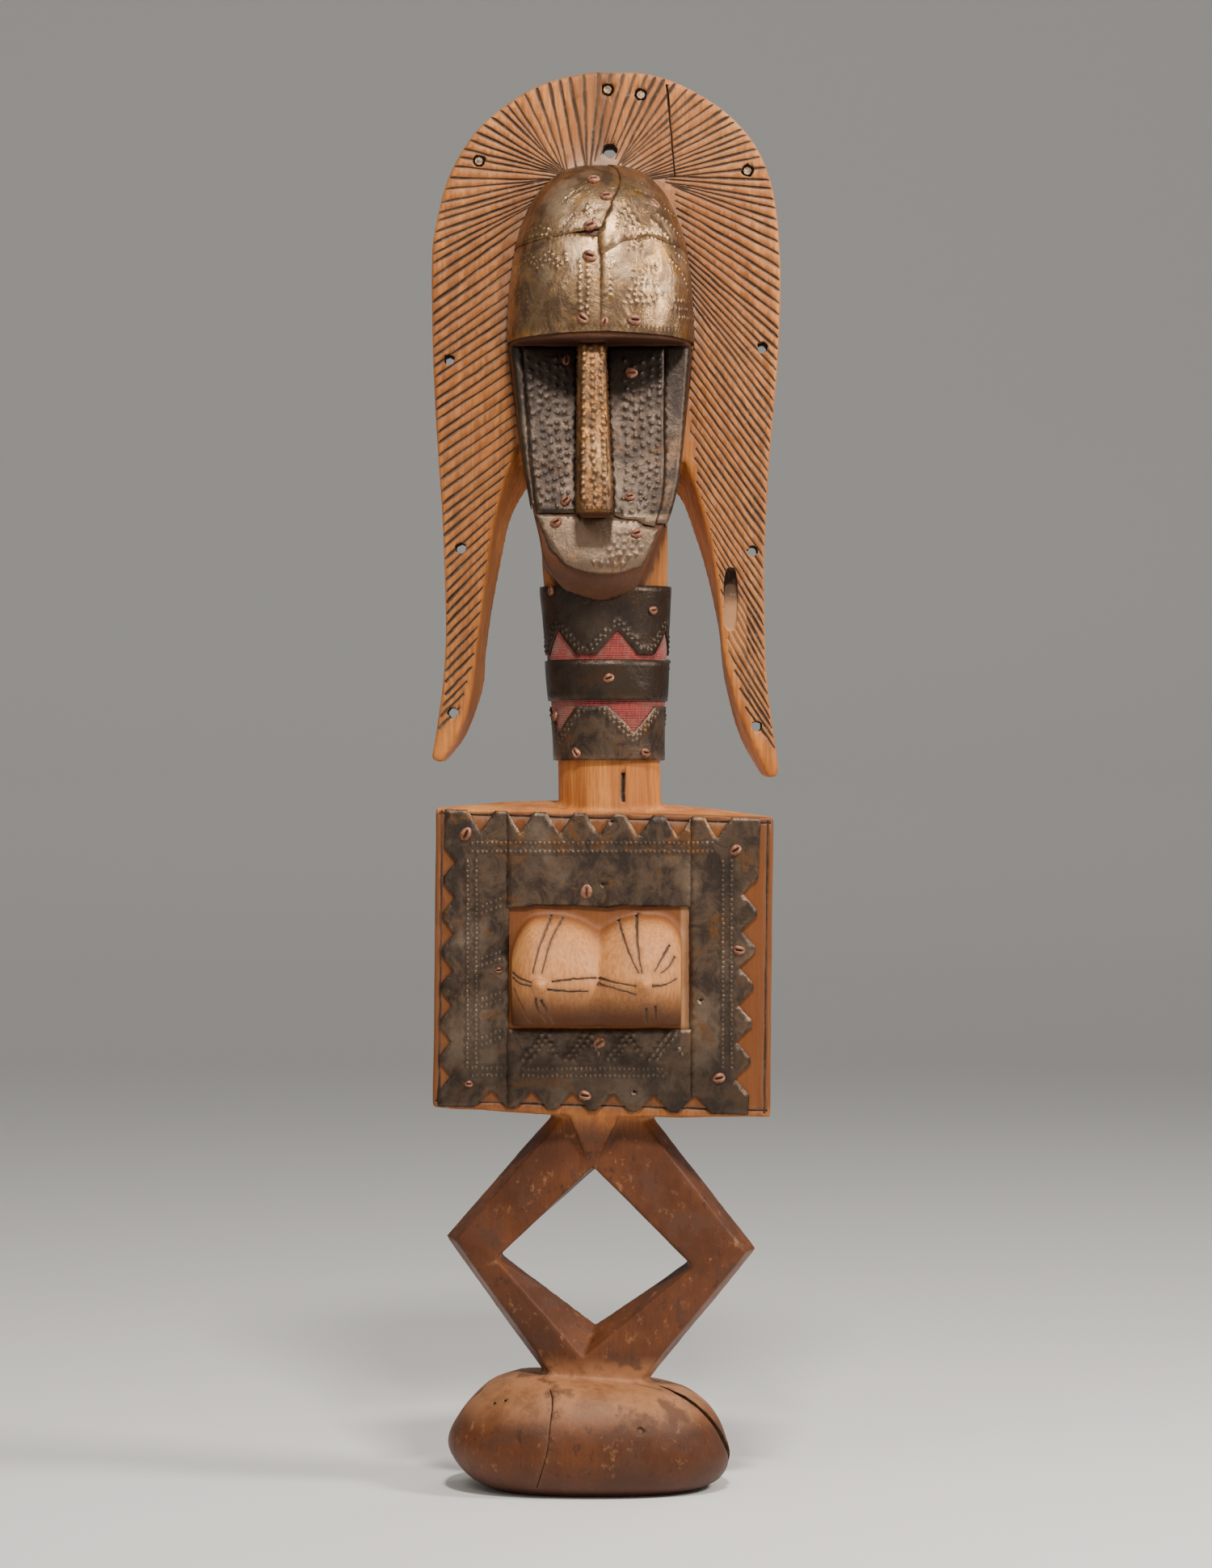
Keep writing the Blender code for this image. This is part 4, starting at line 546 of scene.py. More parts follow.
def face():
    """The long hollow-cheeked face; above the jaw its sides flare towards the crest."""
    rings = []
    for down in spread(-0.03, 0.90, 30) + spread(0.91, 0.998, 12):
        front = [face_point(across, down) for across in spread(-1.0, 1.0, 31)]
        flare = FACE_FLARE * max(1 - down / JAW_START, 0.0)
        ends = [
            Vector((front[i].x + side * flare, CREST_MIDDLE, front[i].z))
            for i, side in ((-1, 1), (0, -1))]
        rings.append(front + ends)
    return loft("face", rings)


def nose():
    """The straight nose, cut flat at its tip."""
    rings = []
    for down in [-0.03] + spread(0.0, 1.0, 4):
        ring = nose_corners(max(down, 0.0))
        for point in ring:
            point.z = Z_BROW - down * NOSE_END * FACE_HEIGHT
        for end in (0, -1):
            ring[end].y = CREST_MIDDLE
        rings.append(ring)
    return loft("nose", rings)


def neck():
    """The round neck, which runs up behind the jaw and fades out on the back of the crest."""
    low = Z_NECK - ROOT
    high = Z_CHIN + NECK_RUN * FACE_HEIGHT
    angles = [math.tau * step / 72 for step in range(72)]
    rings = [[neck_point(angle, z) for angle in angles] for z in spread(low, high, 24)]
    fade = []
    for point in rings[-1]:
        y = max(min(point.y, CREST_BACK - 0.1 * CREST_THICKNESS), CREST_FRONT)
        fade.append(Vector((NECK_NARROW * point.x, y, point.z + NECK_FADE * FACE_HEIGHT)))
    return loft("neck", rings + [fade])


def torso():
    """The square body: flat in front, arched behind, with a top that climbs to the back."""
    rings = []
    for across in spread(-1.0, 1.0, 41):
        arch = 1 - across ** 2
        back = TORSO_FRONT + TORSO_EDGE + (TORSO_DEPTH - TORSO_EDGE) * arch ** TORSO_ARCH
        ring = []
        sag = -TORSO_SAG * arch
        for height, y, rise in ((0, TORSO_FRONT, sag), (1, TORSO_FRONT, 0),
                                (1, back, TORSO_TOP_RISE * arch), (0, back, sag)):
            (left, z_left), (right, z_right) = torso_corner(-1, height), torso_corner(1, height)
            share = (across + 1) / 2
            ring.append(Vector((
                left + (right - left) * share, y, z_left + (z_right - z_left) * share + rise)))
        rings.append(ring)
    return loft("torso", rings)


def breast_height(x, z):
    """How far the breasts stand out of the torso at a place of their window."""
    half = WINDOW_WIDTH / 4
    side = -1 if x < BREAST_X else 1
    middle = BREAST_X + side * half
    tip = middle + BREAST_TIPS[side] * half
    place = min((x - middle) * side / half, 1.0)
    drop = FALL_OUTSIDE * place ** 4 if place > 0 else FALL_INSIDE * place ** 2
    top_z = WINDOW_Z + (BREAST_TOP - drop) * WINDOW_HEIGHT
    if z > BREAST_TIP_Z:
        up = (z - BREAST_TIP_Z) / (top_z - BREAST_TIP_Z)
        climb = max(0.0, 1 - up ** TOP_FALL) ** TOP_ROUND
        join = BREAST_JOIN * (1 - JOIN_LOSS_UP * min(up, 1.0))
        edge = BREAST_EDGE
    else:
        down = (BREAST_TIP_Z - z) / (BREAST_FOOT * WINDOW_HEIGHT)
        climb = 1 - UNDER_FALL * down ** 2
        join = BREAST_JOIN * (1 - JOIN_LOSS_DOWN * min(down, 1.0))
        edge = BREAST_EDGE * (1 - EDGE_LOSS_DOWN * min(down, 1.0))
    inward = (x - tip) * side < 0
    reach = abs(middle - side * half * (1 if inward else -1) - tip)
    away = min(abs(x - tip) / reach, 1.0)
    floor = join if inward else edge
    across = floor + (1 - floor) * (1 - away ** BREAST_BULGE) ** BREAST_ROUND
    return BREAST_DEPTH * climb * across


def breast_point(x, z):
    """Point of the breasts at a place of their window."""
    return Vector((x, TORSO_FRONT + BED - breast_height(x, z), z))


def breasts():
    """The paired breasts carved in the window of the torso."""
    left = BREAST_X - WINDOW_WIDTH / 2 + LEDGE_LEFT
    right = BREAST_X + WINDOW_WIDTH / 2 - LEDGE_RIGHT
    bottom = WINDOW_Z - 0.47 * WINDOW_HEIGHT
    top = WINDOW_Z + 0.44 * WINDOW_HEIGHT
    sunk = TORSO_FRONT + ROOT
    rings = []
    for x in spread(left, right, 77):
        ring = [Vector((x, sunk, bottom))]
        for z in spread(bottom, top, 45):
            ring.append(breast_point(x, z))
        ring.append(Vector((x, sunk, top)))
        rings.append(ring)
    return loft("breasts", rings)


def leg_corner(share, y):
    """Corner of the lozenge from its shares of half the width and of the height."""
    return Vector((share[0] * LEGS_WIDTH / 2, y, BASE_HEIGHT + share[1] * LEGS_HEIGHT))


def legs():
    """The bent legs: four bars around a lozenge, ridged towards the inside."""
    deep = LEGS_DEPTH / 2
    tracks = (
        (LEG_OUTER, 0.0, 1.00), (LEG_OUTER, -0.80 * deep, 0.93), (LEG_HOLE_FRONT, -deep, 1.0),
        (LEG_HOLE_MIDDLE, 0.0, 1.0), (LEG_HOLE_FRONT, deep, 1.0), (LEG_OUTER, 0.80 * deep, 0.93))
    middle = leg_corner(LEG_HOLE_MIDDLE[0], 0.0).lerp(leg_corner(LEG_HOLE_MIDDLE[2], 0.0), 0.5)
    rings = []
    for corner in range(4):
        for step in range(4):
            ring = []
            for corners, y, size in tracks:
                start = leg_corner(corners[corner], y)
                end = leg_corner(corners[(corner + 1) % 4], y)
                point = start.lerp(end, step / 4)
                point.x = middle.x + (point.x - middle.x) * size
                point.z = middle.z + (point.z - middle.z) * size
                ring.append(point)
            rings.append(ring)
    return loft("legs", rings, closed=True)


def hip():
    """The wedge at the middle that carries the torso front down into the legs."""
    middle = leg_corner(LEG_HOLE_FRONT[1], 0.0)
    # Share of the legs' height, reach to both sides in shares of half their width, and depth
    rings = []
    for share, left, right, y in (
            (1.02, 0.134, 0.160, TORSO_FRONT + GAP), (0.97, 0.134, 0.160, TORSO_FRONT + GAP),
            (0.86, 0.061, 0.069, -0.565 * LEGS_DEPTH), (0.80, 0.015, 0.015, -0.488 * LEGS_DEPTH)):
        z = BASE_HEIGHT + share * LEGS_HEIGHT
        low = middle.x - left * LEGS_WIDTH / 2
        high = middle.x + right * LEGS_WIDTH / 2
        rings.append([
            Vector((low, y, z)), Vector((high, y, z)),
            Vector((high, 0.0, z)), Vector((low, 0.0, z))])
    return loft("hip", rings)


def base():
    """The oval foot, flat on the ground and rounded above."""
    angles = [math.tau * step / 90 for step in range(90)]
    levels = spread(0.0, BASE_PROFILE[-1][0], 34)
    return loft("base", [[base_point(angle, up) for angle in angles] for up in levels])


def crest_lines(keys):
    """Pairs of ends for the incised lines, filled in evenly between the leading ones."""
    lines = []
    for (outer, inner), (next_outer, next_inner) in zip(keys, keys[1:]):
        reach = (crest_point(next_outer) - crest_point(outer)).length
        count = max(1, round(reach / GROOVE_PITCH))
        for step in range(count):
            t = step / count
            lines.append((
                crest_point(outer).lerp(crest_point(next_outer), t),
                crest_point(inner).lerp(crest_point(next_inner), t)))
    return lines


def breast_facing(x, z):
    """Outward direction of the breasts at a place of their window."""
    step = WINDOW_WIDTH / 120
    across = breast_point(x + step, z) - breast_point(x - step, z)
    climb = breast_point(x, z + step) - breast_point(x, z - step)
    return across.cross(climb).normalized()


def inside(point, outline):
    """Whether a point of the plane lies inside a closed outline."""
    hit = False
    for (ax, ay), (bx, by) in zip(outline, outline[1:] + outline[:1]):
        if (ay > point[1]) != (by > point[1]):
            if point[0] < ax + (bx - ax) * (point[1] - ay) / (by - ay):
                hit = not hit
    return hit


def toothed(start, end, first, last, count, depth, tip):
    """Toothed edge from start to end: valleys on its right side, flat tips between them."""
    run = Vector(end) - Vector(start)
    inward = Vector((run.y, -run.x)).normalized() * depth
    half = (last - first) / (count - 1) * (1 - tip) / 2
    points = [Vector(start)]
    for share in spread(first, last, count):
        valley = Vector(start) + run * share
        points += [valley - run * half, valley + inward, valley + run * half]
    return [tuple(point) for point in points + [Vector(end)]]


def between(points, low, high):
    """The part of a line that lies between two left-right places, cut at them."""
    kept = []
    for (ax, ay), (bx, by) in zip(points, points[1:]):
        if low <= ax <= high:
            kept.append((ax, ay))
        for limit in (low, high):
            if ax < limit < bx:
                kept.append((limit, ay + (by - ay) * (limit - ax) / (bx - ax)))
    if low <= points[-1][0] <= high:
        kept.append(points[-1])
    return kept


def clip_places():
    """Name, size, point and outward direction of every clip, on the outside of what it pins."""
    rows = []
    step = 0.02
    lift = LAY + SHEET + GAP
    for index, (across, up, size) in enumerate(FOREHEAD_CLIPS):
        x = HEAD_X + across * HEAD_WIDTH / 2
        theta, phi = dome_angles(x, Z_BROW + up * FOREHEAD_HEIGHT)
        point = dome_point(theta, phi, lift)
        right = dome_point(theta + step, phi, lift) - dome_point(theta - step, phi, lift)
        climb = dome_point(theta, phi + step, lift) - dome_point(theta, phi - step, lift)
        rows.append((f"forehead_clip_{index + 1}", size, point, right.cross(climb).normalized()))
    for index, (across, up, size) in enumerate(FACE_CLIPS):
        x = HEAD_X + across * HEAD_WIDTH / 2
        middle = face_point(0.0, -up).x
        share = (x - middle) / (face_point(1.0, -up).x - middle)
        point = face_point(share, -up, lift + GAP / 2)
        right = face_point(share + step, -up) - face_point(share - step, -up)
        climb = face_point(share, -up - step) - face_point(share, -up + step)
        rows.append((f"face_clip_{index + 1}", size, point, right.cross(climb).normalized()))
    over = LAY + CLOTH + lift
    for index, (across, up, size) in enumerate(NECK_CLIPS):
        z = Z_CHIN + up * NECK_SHOWN
        wide = neck_point(math.pi / 2, z, over).x
        angle = math.asin(min(max(across * NECK_WIDTH / 2 / wide, -0.97), 0.97))
        normal = Vector((math.sin(angle), -math.cos(angle), 0.0))
        rows.append((f"neck_clip_{index + 1}", size, neck_point(angle, z, over), normal))
    for index, (across, up, size) in enumerate(TORSO_CLIPS):
        x, z = frame_place(across, up)
        point = Vector((x, TORSO_FRONT - GAP - SHEET - GAP, z))
        rows.append((f"torso_clip_{index + 1}", size, point, Vector((0.0, -1.0, 0.0))))
    return rows


def collar_room():
    """Room under the jaw for the top neck band and what lies under it."""
    high = Z_CHIN + BAND_LEVELS[0] * NECK_SHOWN + 2 * GAP
    front = neck_point(0.0, high, 2 * LAY + CLOTH + SHEET + 2 * GAP).y
    size = Vector((HEAD_WIDTH, 1.5 * NECK_DEPTH, 0.18 * FACE_HEIGHT))
    place = Vector((HEAD_X, front + size.y / 2, high - size.z / 2))
    bm = bmesh.new()
    bmesh.ops.create_cube(bm, size=1.0)
    bmesh.ops.transform(
        bm, matrix=Matrix.Translation(place) @ Matrix.Diagonal((*size, 1.0)), verts=bm.verts)
    return mesh_from(bm, "collar_room")


# Wood: size of its voxels, faces left after thinning, and how deep wear and tool marks go
VOXEL = 0.0011
WOOD_FACES = 150000
WEAR = 0.00030
CHATTER = 0.00005

# Sheets: lift off the wood, thickness, laps, rise of the upper sheet at a lap, depth of the
# dents, step of the mesh, and how soon a strip has turned round the side of the face
SHEET_LIFT = 0.00035
SHEET_SHOWN = 0.00045
OVERLAP = 0.0007
OVER = 0.00028
DENT = 0.00022
SHEET_STEP = 0.0024
FOLD = 0.03
# Degrees to both sides of the front that a round of dots on the neck covers
ROUND_END = 176
# Step over which the stretch of a surface is measured, and a point away from everything
PROBE = 0.002
FAR_OFF = Vector((9.0, 9.0, 9.0))

# Marks in the foot, knobs of the breasts, how much nearer to the head the crest's lines run,
# and sides of the round holes, of the slot and of the clips
FOOT_PLUG = 0.0032
FOOT_PIT = 0.0015
NIPPLE = 0.0056
NIPPLE_SUNK = 0.0002
LINE_REACH = 0.0045
HOLE_SIDES = 14
SLOT_SIDES = 28
CLIP_SIDES = 28

# Cuts of the lines on the breasts, of the border of the torso and of the crack in the foot
STROKE_WIDTH = 0.00120
STROKE_DEPTH = 0.00065
BORDER_CUT_WIDTH = 0.0010
BORDER_CUT_DEPTH = 0.0008
FOOT_CRACK_WIDTH = 0.0005
FOOT_CRACK_DEPTH = 0.0012

# Hand-cut lines: corners along each, spread of their size, how thin they end, and how those
# of the crown, out to a share of the crest's half width, are wider, deeper and end thinner
LINE_STEPS = 9
UNEVEN = (0.85, 1.15)
LINE_FADE = 0.62
CROWN_REACH = 0.62
CROWN_WIDER = 0.55
CROWN_DEEPER = 0.3
CROWN_FADE = 0.34

# Reach of the grime beside cuts, of the soot and painted shade beside the head and of the
# breasts' polish, the strength of that soot and shade, and the ring of dust round the head in
# shares of its size
GRIME_REACH = 0.0011
SOOT_AND_SHADE_REACH = 0.0060
POLISH_REACH = 0.0045
SOOT_AND_SHADE_SHARE = 0.80
DUST_RING = 1.05
DUST_WIDTH = 0.05
# The dust is full down to so far below the dome's top, and then only this share of it
DUST_DROP = 0.03
DUST_BESIDE = 0.4

# Corners of a sheet: spacing along its border and room beside it, in shares of its step; then
# room round the dots, from them to the border, between them and round the holes, in radii
BORDER_STEP = 0.55
GRID_ROOM = 0.45
DOT_ROOM = 1.45
RIM_ROOM = 1.5
DOT_SPACING = 2.05
HOLE_ROOM = 1.3
# Dents to the metre, and how far apart in them two sheets with neighbouring seeds lie
DENT_SCALE = 95.0
SEED_SHIFT = 3.7

# Punched dots: radius, rise and the pitch along a row
DOT_RADIUS, DOT_RISE, FOREHEAD_PITCH = 0.00075, 0.00036, 0.0025
DENT_RADIUS, DENT_RISE, DENT_PITCH = 0.0005, -0.00022, 0.0020
CHEEK_DOT, CHEEK_RISE = 0.00092, 0.00050
CHIN_RISE, CHIN_PITCH = 0.00045, 0.0034
NOSE_DOT, NOSE_RISE, NOSE_PITCH = 0.00088, 0.00050, 0.0033
NECK_RISE, NECK_PITCH = 0.0005, 0.0027
FINE_DOT, FINE_RISE, FINE_PITCH = 0.00058, 0.00030, 0.0020
BOLD_DOT, BOLD_RISE, BOLD_PITCH = 0.00095, 0.00065, 0.0026

# The camera of the photograph and how wide it sees at the figure
CAMERA_DISTANCE = 2.0
CAMERA_HEIGHT = 0.296
SEEN_HEIGHT = 0.6617
SENSOR = 36.0
# Depth and height of the backdrop's bends, from before the camera to behind the figure
BACKDROP = ((-6.0, 0.0), (3.0, 0.0), (3.6, 0.06), (4.0, 0.3), (4.2, 0.8), (4.2, 6.0))
BACKDROP_HALF = 6.0
# Name, place, aim, size, power and tint of each lamp
LAMPS = (
    ("key", (0.05, -0.66, 1.16), (0.0, 0.0, 0.44), 0.13, 13.5, (1.0, 0.95, 0.88)),
    ("right_key", (0.86, -0.36, 0.84), (0.05, 0.0, 0.42), 0.26, 12.0, (1.0, 0.94, 0.86)),
    ("left_key", (-0.50, -0.80, 1.05), (0.0, 0.0, 0.40), 0.40, 2.2, (1.0, 0.95, 0.88)),
    ("fill", (0.3, -2.2, 0.5), (0.0, 0.0, 0.28), 1.2, 2.5, (1.0, 0.97, 0.93)),
    ("rear", (0.8, 1.2, 1.6), (0.0, 0.0, 0.35), 0.8, 6.0, (1.0, 0.98, 0.95)),
)

# Direction of each clip, in degrees from level
CLIP_TURNS = {
    "forehead": [4, 6, 18, -25, -38, 62, 8, -60],
    "face": [72, -8, 36, 22, 32, 26],
    "neck": [82, 8, 30, 70, -48, -18],
    "torso": [58, 38, 80, 10, -12, 20, 5, -18, 42],
}
# Clips hammered flat or as folded: shares of their rise, length and width, and their slit
CLIP_FORMS = {True: (0.45, 1.08, 1.15, 0.16), False: (0.9, 1.0, 1.0, 0.22)}
CLIP_RINGS = (1.0, 0.97, 0.90, 0.78, 0.62, 0.46, 0.30, 0.15)
FLAT_CLIPS = {"forehead_clip_8", "torso_clip_3", "torso_clip_9", "face_clip_2"}

# Rows of dots on the forehead as seen from the front, in millimetres
FOREHEAD_ROWS = [
    [(-10.8, 516.0), (-10.9, 494.0)], [(-7.6, 516.5), (-7.8, 494.0)],
    [(-36.0, 517.0), (-32.0, 520.0), (-28.0, 516.0), (-24.0, 520.5), (-20.0, 516.5), (-16.0, 520.0)],
    [(-36.0, 514.2), (-32.0, 517.2), (-28.0, 513.2), (-24.0, 517.7), (-20.0, 513.7), (-16.0, 517.2)],
    [(-33.0, 525.5), (-27.0, 527.5), (-21.0, 526.0)], [(-32.0, 528.6), (-27.0, 530.4), (-22.0, 529.2)],
    [(-36.5, 505.0), (-34.5, 497.0), (-35.5, 489.0)], [(-33.5, 506.0), (-32.0, 498.0), (-33.0, 490.0)],
    [(11.5, 512.5), (21.0, 512.5)], [(10.5, 509.6), (17.0, 509.3)], [(12.5, 506.8), (22.5, 507.2)],
    [(9.5, 504.4), (14.5, 504.2)], [(9.0, 501.6), (24.0, 502.6)], [(7.5, 498.8), (21.0, 499.6)],
    [(2.0, 509.0), (2.2, 499.5)], [(9.5, 521.5), (13.0, 524.0), (15.0, 520.0)],
    [(4.5, 531.0), (6.5, 535.5), (9.5, 538.0)], [(7.5, 529.8), (9.4, 533.6), (12.4, 536.0)],
    [(11.0, 530.5), (13.5, 533.5)], [(-8.2, 539.0), (-4.0, 535.8)], [(-8.6, 536.2), (-5.0, 533.0)],
    [(18.5, 533.0), (24.0, 527.5), (29.0, 521.0)], [(21.0, 535.5), (26.5, 530.5), (31.5, 523.5)],
    [(23.5, 538.0), (29.0, 533.0)], [(26.0, 517.0), (31.0, 511.5), (33.5, 504.0)],
    [(28.5, 519.5), (33.5, 514.0), (36.0, 506.0)], [(28.0, 500.0), (34.0, 499.0)],
    [(27.0, 496.5), (35.0, 495.5)], [(30.0, 492.5), (36.0, 491.5)],
]
FOREHEAD_DENTS = [
    [(-33.5, 545.0), (-36.5, 533.0), (-38.5, 520.0)], [(-31.0, 546.0), (-34.0, 534.5)],
    [(14.0, 548.0), (22.0, 545.0), (28.0, 540.0)], [(12.0, 545.0), (19.0, 543.0), (25.5, 537.0)],
    [(31.0, 541.0), (35.5, 531.0), (37.5, 520.0)], [(33.0, 543.5), (37.5, 533.0), (39.0, 522.0)],
    [(-14.0, 535.0), (-18.0, 530.0)], [(-13.0, 545.0), (-18.0, 541.0)],
]

# Colours of the warm wood of the head and torso
WOOD_WARM = (0.55, 0.196, 0.040)
WOOD_DEEP = (0.38, 0.120, 0.022)
WOOD_GRAIN = (0.19, 0.055, 0.015)
WOOD_WORN = (0.62, 0.27, 0.080)
BORDER_TINT = (0.115, 0.034, 0.009)
BROW_SHADE = (0.045, 0.014, 0.007)
# Handled wood of the legs and foot
HANDLED_BROWN = (0.128, 0.037, 0.0095)
HANDLED_DARK = (0.068, 0.0195, 0.005)
HANDLED_GRAIN = (0.050, 0.015, 0.006)
HANDLED_STAIN = (0.20, 0.078, 0.030)
SCUFF_DARK = (0.034, 0.012, 0.006)
SCUFF_PALE = (0.33, 0.150, 0.066)
TREAD_TINT = (0.42, 0.185, 0.080)
# Painted shade low on the foot, where it turns under towards the ground
UNDERSIDE_SHADE = (0.070, 0.030, 0.022)
# Breasts, the patina and painted shade of the hollow beneath them, and the ledge at their right
BREAST_PALE = (0.66, 0.285, 0.095)
BREAST_GRAIN = (0.48, 0.185, 0.055)
BENEATH_SHADE = (0.062, 0.019, 0.007)
LEDGE_TINT = (0.34, 0.17, 0.080)
# What lies on the wood and in its cuts; the soot carries painted shade and the pale of the slot painted
# light
SOIL = (0.052, 0.019, 0.011)
GRIME = (0.130, 0.055, 0.026)
# Soot with painted shade, on and beside the head
SOOT_AND_SHADE = (0.050, 0.018, 0.009)
DUST = (0.36, 0.255, 0.18)
CUT_DARK = (0.080, 0.040, 0.021)
CUT_BROWN = (0.170, 0.085, 0.042)
CUT_DUST = (0.26, 0.20, 0.155)
# Bare wood with painted light, for the lower half of the slot
SLOT_PALE_LIT = (0.46, 0.24, 0.11)
# Cloth, clips, pegs and floor
THREAD_RED = (0.30, 0.036, 0.028)
THREAD_SHADE = (0.15, 0.022, 0.018)
CLOTH_DUST = (0.190, 0.100, 0.070)
CLIP_BROWN = (0.17, 0.066, 0.036)
CLIP_PINK = (0.34, 0.155, 0.092)
# Painted shade in the clips' fold
CLIP_FOLD_SHADE = (0.035, 0.014, 0.010)
PEG_DARK = (0.10, 0.055, 0.03)
PEG_PALE = (0.52, 0.36, 0.22)
FLOOR_PALE = (0.80, 0.79, 0.77, 1.0)


def seen(x, z, y):
    """True left-right place and height of a point at depth y from where the camera sees it."""
    share = (CAMERA_DISTANCE + y) / CAMERA_DISTANCE
    return x * share, CAMERA_HEIGHT + (z - CAMERA_HEIGHT) * share


def helper(name, data):
    """Make an object of a mesh, a light or a camera, and link it."""
    made = bpy.data.objects.new(name, data)
    bpy.context.scene.collection.objects.link(made)
    return made


def settle(item):
    """Turn an object's modifiers into its mesh."""
    bpy.context.view_layer.update()
    graph = bpy.context.evaluated_depsgraph_get()
    fresh = bpy.data.meshes.new_from_object(item.evaluated_get(graph))
    item.modifiers.clear()
    item.data = fresh


def cut_away(item, cutters, solver):
    """Take the cutters from an object and remove them; cut faces keep the cutters' material."""
    group = bpy.data.collections.new("cutters")
    bpy.context.scene.collection.children.link(group)
    for cutter in cutters:
        group.objects.link(cutter)
    step = item.modifiers.new("cut", "BOOLEAN")
    step.operation = "DIFFERENCE"
    step.operand_type = "COLLECTION"
    step.collection = group
    step.solver = solver
    step.material_mode = "TRANSFER"
    settle(item)
    for cutter in cutters:
        bpy.data.objects.remove(cutter)
    bpy.data.collections.remove(group)


# Shader pieces
def socket(tree, value, target):
    """Feed a value or another node's output into an input."""
    if isinstance(value, bpy.types.NodeSocket):
        tree.links.new(value, target)
    elif isinstance(value, tuple) and len(value) == 3 and target.type == "RGBA":
        target.default_value = (*value, 1.0)
    else:
        target.default_value = value


def math_node(tree, operation, a, b):
    """One step of arithmetic."""
    made = tree.nodes.new("ShaderNodeMath")
    made.operation = operation
    socket(tree, a, made.inputs[0])
    socket(tree, b, made.inputs[1])
    return made.outputs[0]


def times(tree, a, b):
    """Product of two masks."""
    return math_node(tree, "MULTIPLY", a, b)


def ranged(tree, value, low, high, first=0.0, last=1.0):
    """Map a value from low..high to first..last, smoothly and clamped."""
    made = tree.nodes.new("ShaderNodeMapRange")
    made.interpolation_type = "SMOOTHSTEP"
    socket(tree, value, made.inputs["Value"])
    made.inputs["From Min"].default_value = low
    made.inputs["From Max"].default_value = high
    made.inputs["To Min"].default_value = first
    made.inputs["To Max"].default_value = last
    return made.outputs["Result"]


def mixed(tree, factor, a, b):
    """Blend two colours."""
    made = tree.nodes.new("ShaderNodeMix")
    made.data_type = "RGBA"
    socket(tree, factor, made.inputs["Factor"])
    socket(tree, a, made.inputs["A"])
    socket(tree, b, made.inputs["B"])
    return made.outputs["Result"]


def grain(tree, scales, detail=3.0, roughness=0.55, distortion=0.0):
    """Noise over the object, stretched by a scale for each axis."""
    place = tree.nodes.new("ShaderNodeTexCoord").outputs["Object"]
    mapping = tree.nodes.new("ShaderNodeMapping")
    mapping.inputs["Scale"].default_value = scales
    tree.links.new(place, mapping.inputs["Vector"])
    made = tree.nodes.new("ShaderNodeTexNoise")
    made.inputs["Scale"].default_value = 1.0
    made.inputs["Detail"].default_value = detail
    made.inputs["Roughness"].default_value = roughness
    made.inputs["Distortion"].default_value = distortion
    tree.links.new(mapping.outputs["Vector"], made.inputs["Vector"])
    return made.outputs["Fac"]


def attribute(tree, name):
    """A value that the mesh carries."""
    made = tree.nodes.new("ShaderNodeAttribute")
    made.attribute_name = name
    return made.outputs["Fac"]


def position(tree):
    """Left-right, depth and height of the shaded point."""
    place = tree.nodes.new("ShaderNodeTexCoord").outputs["Object"]
    made = tree.nodes.new("ShaderNodeSeparateXYZ")
    tree.links.new(place, made.inputs[0])
    return made.outputs


def bumped(tree, height, distance, before=None):
    """Bump from a height value, on top of an earlier one."""
    made = tree.nodes.new("ShaderNodeBump")
    made.inputs["Strength"].default_value = 1.0
    made.inputs["Distance"].default_value = distance
    tree.links.new(height, made.inputs["Height"])
    if before is not None:
        tree.links.new(before, made.inputs["Normal"])
    return made.outputs["Normal"]


def belt(tree, value, rise, fall):
    """Mask between two soft edges, each given by where it starts and where it ends."""
    return times(tree, ranged(tree, value, *rise), ranged(tree, value, *fall))


def finished(tree, shader, colour, rough, *bumps):
    """Feed a shader its colour, its roughness and its bumps, each a height and a distance."""
    socket(tree, colour, shader.inputs["Base Color"])
    socket(tree, rough, shader.inputs["Roughness"])
    normal = None
    for height, distance in bumps:
        normal = bumped(tree, height, distance, normal)
    tree.links.new(normal, shader.inputs["Normal"])


def new_material(name):
    """An empty node material and its shader."""
    made = bpy.data.materials.new(name)
    made.use_nodes = True
    return made, made.node_tree, made.node_tree.nodes["Principled BSDF"]


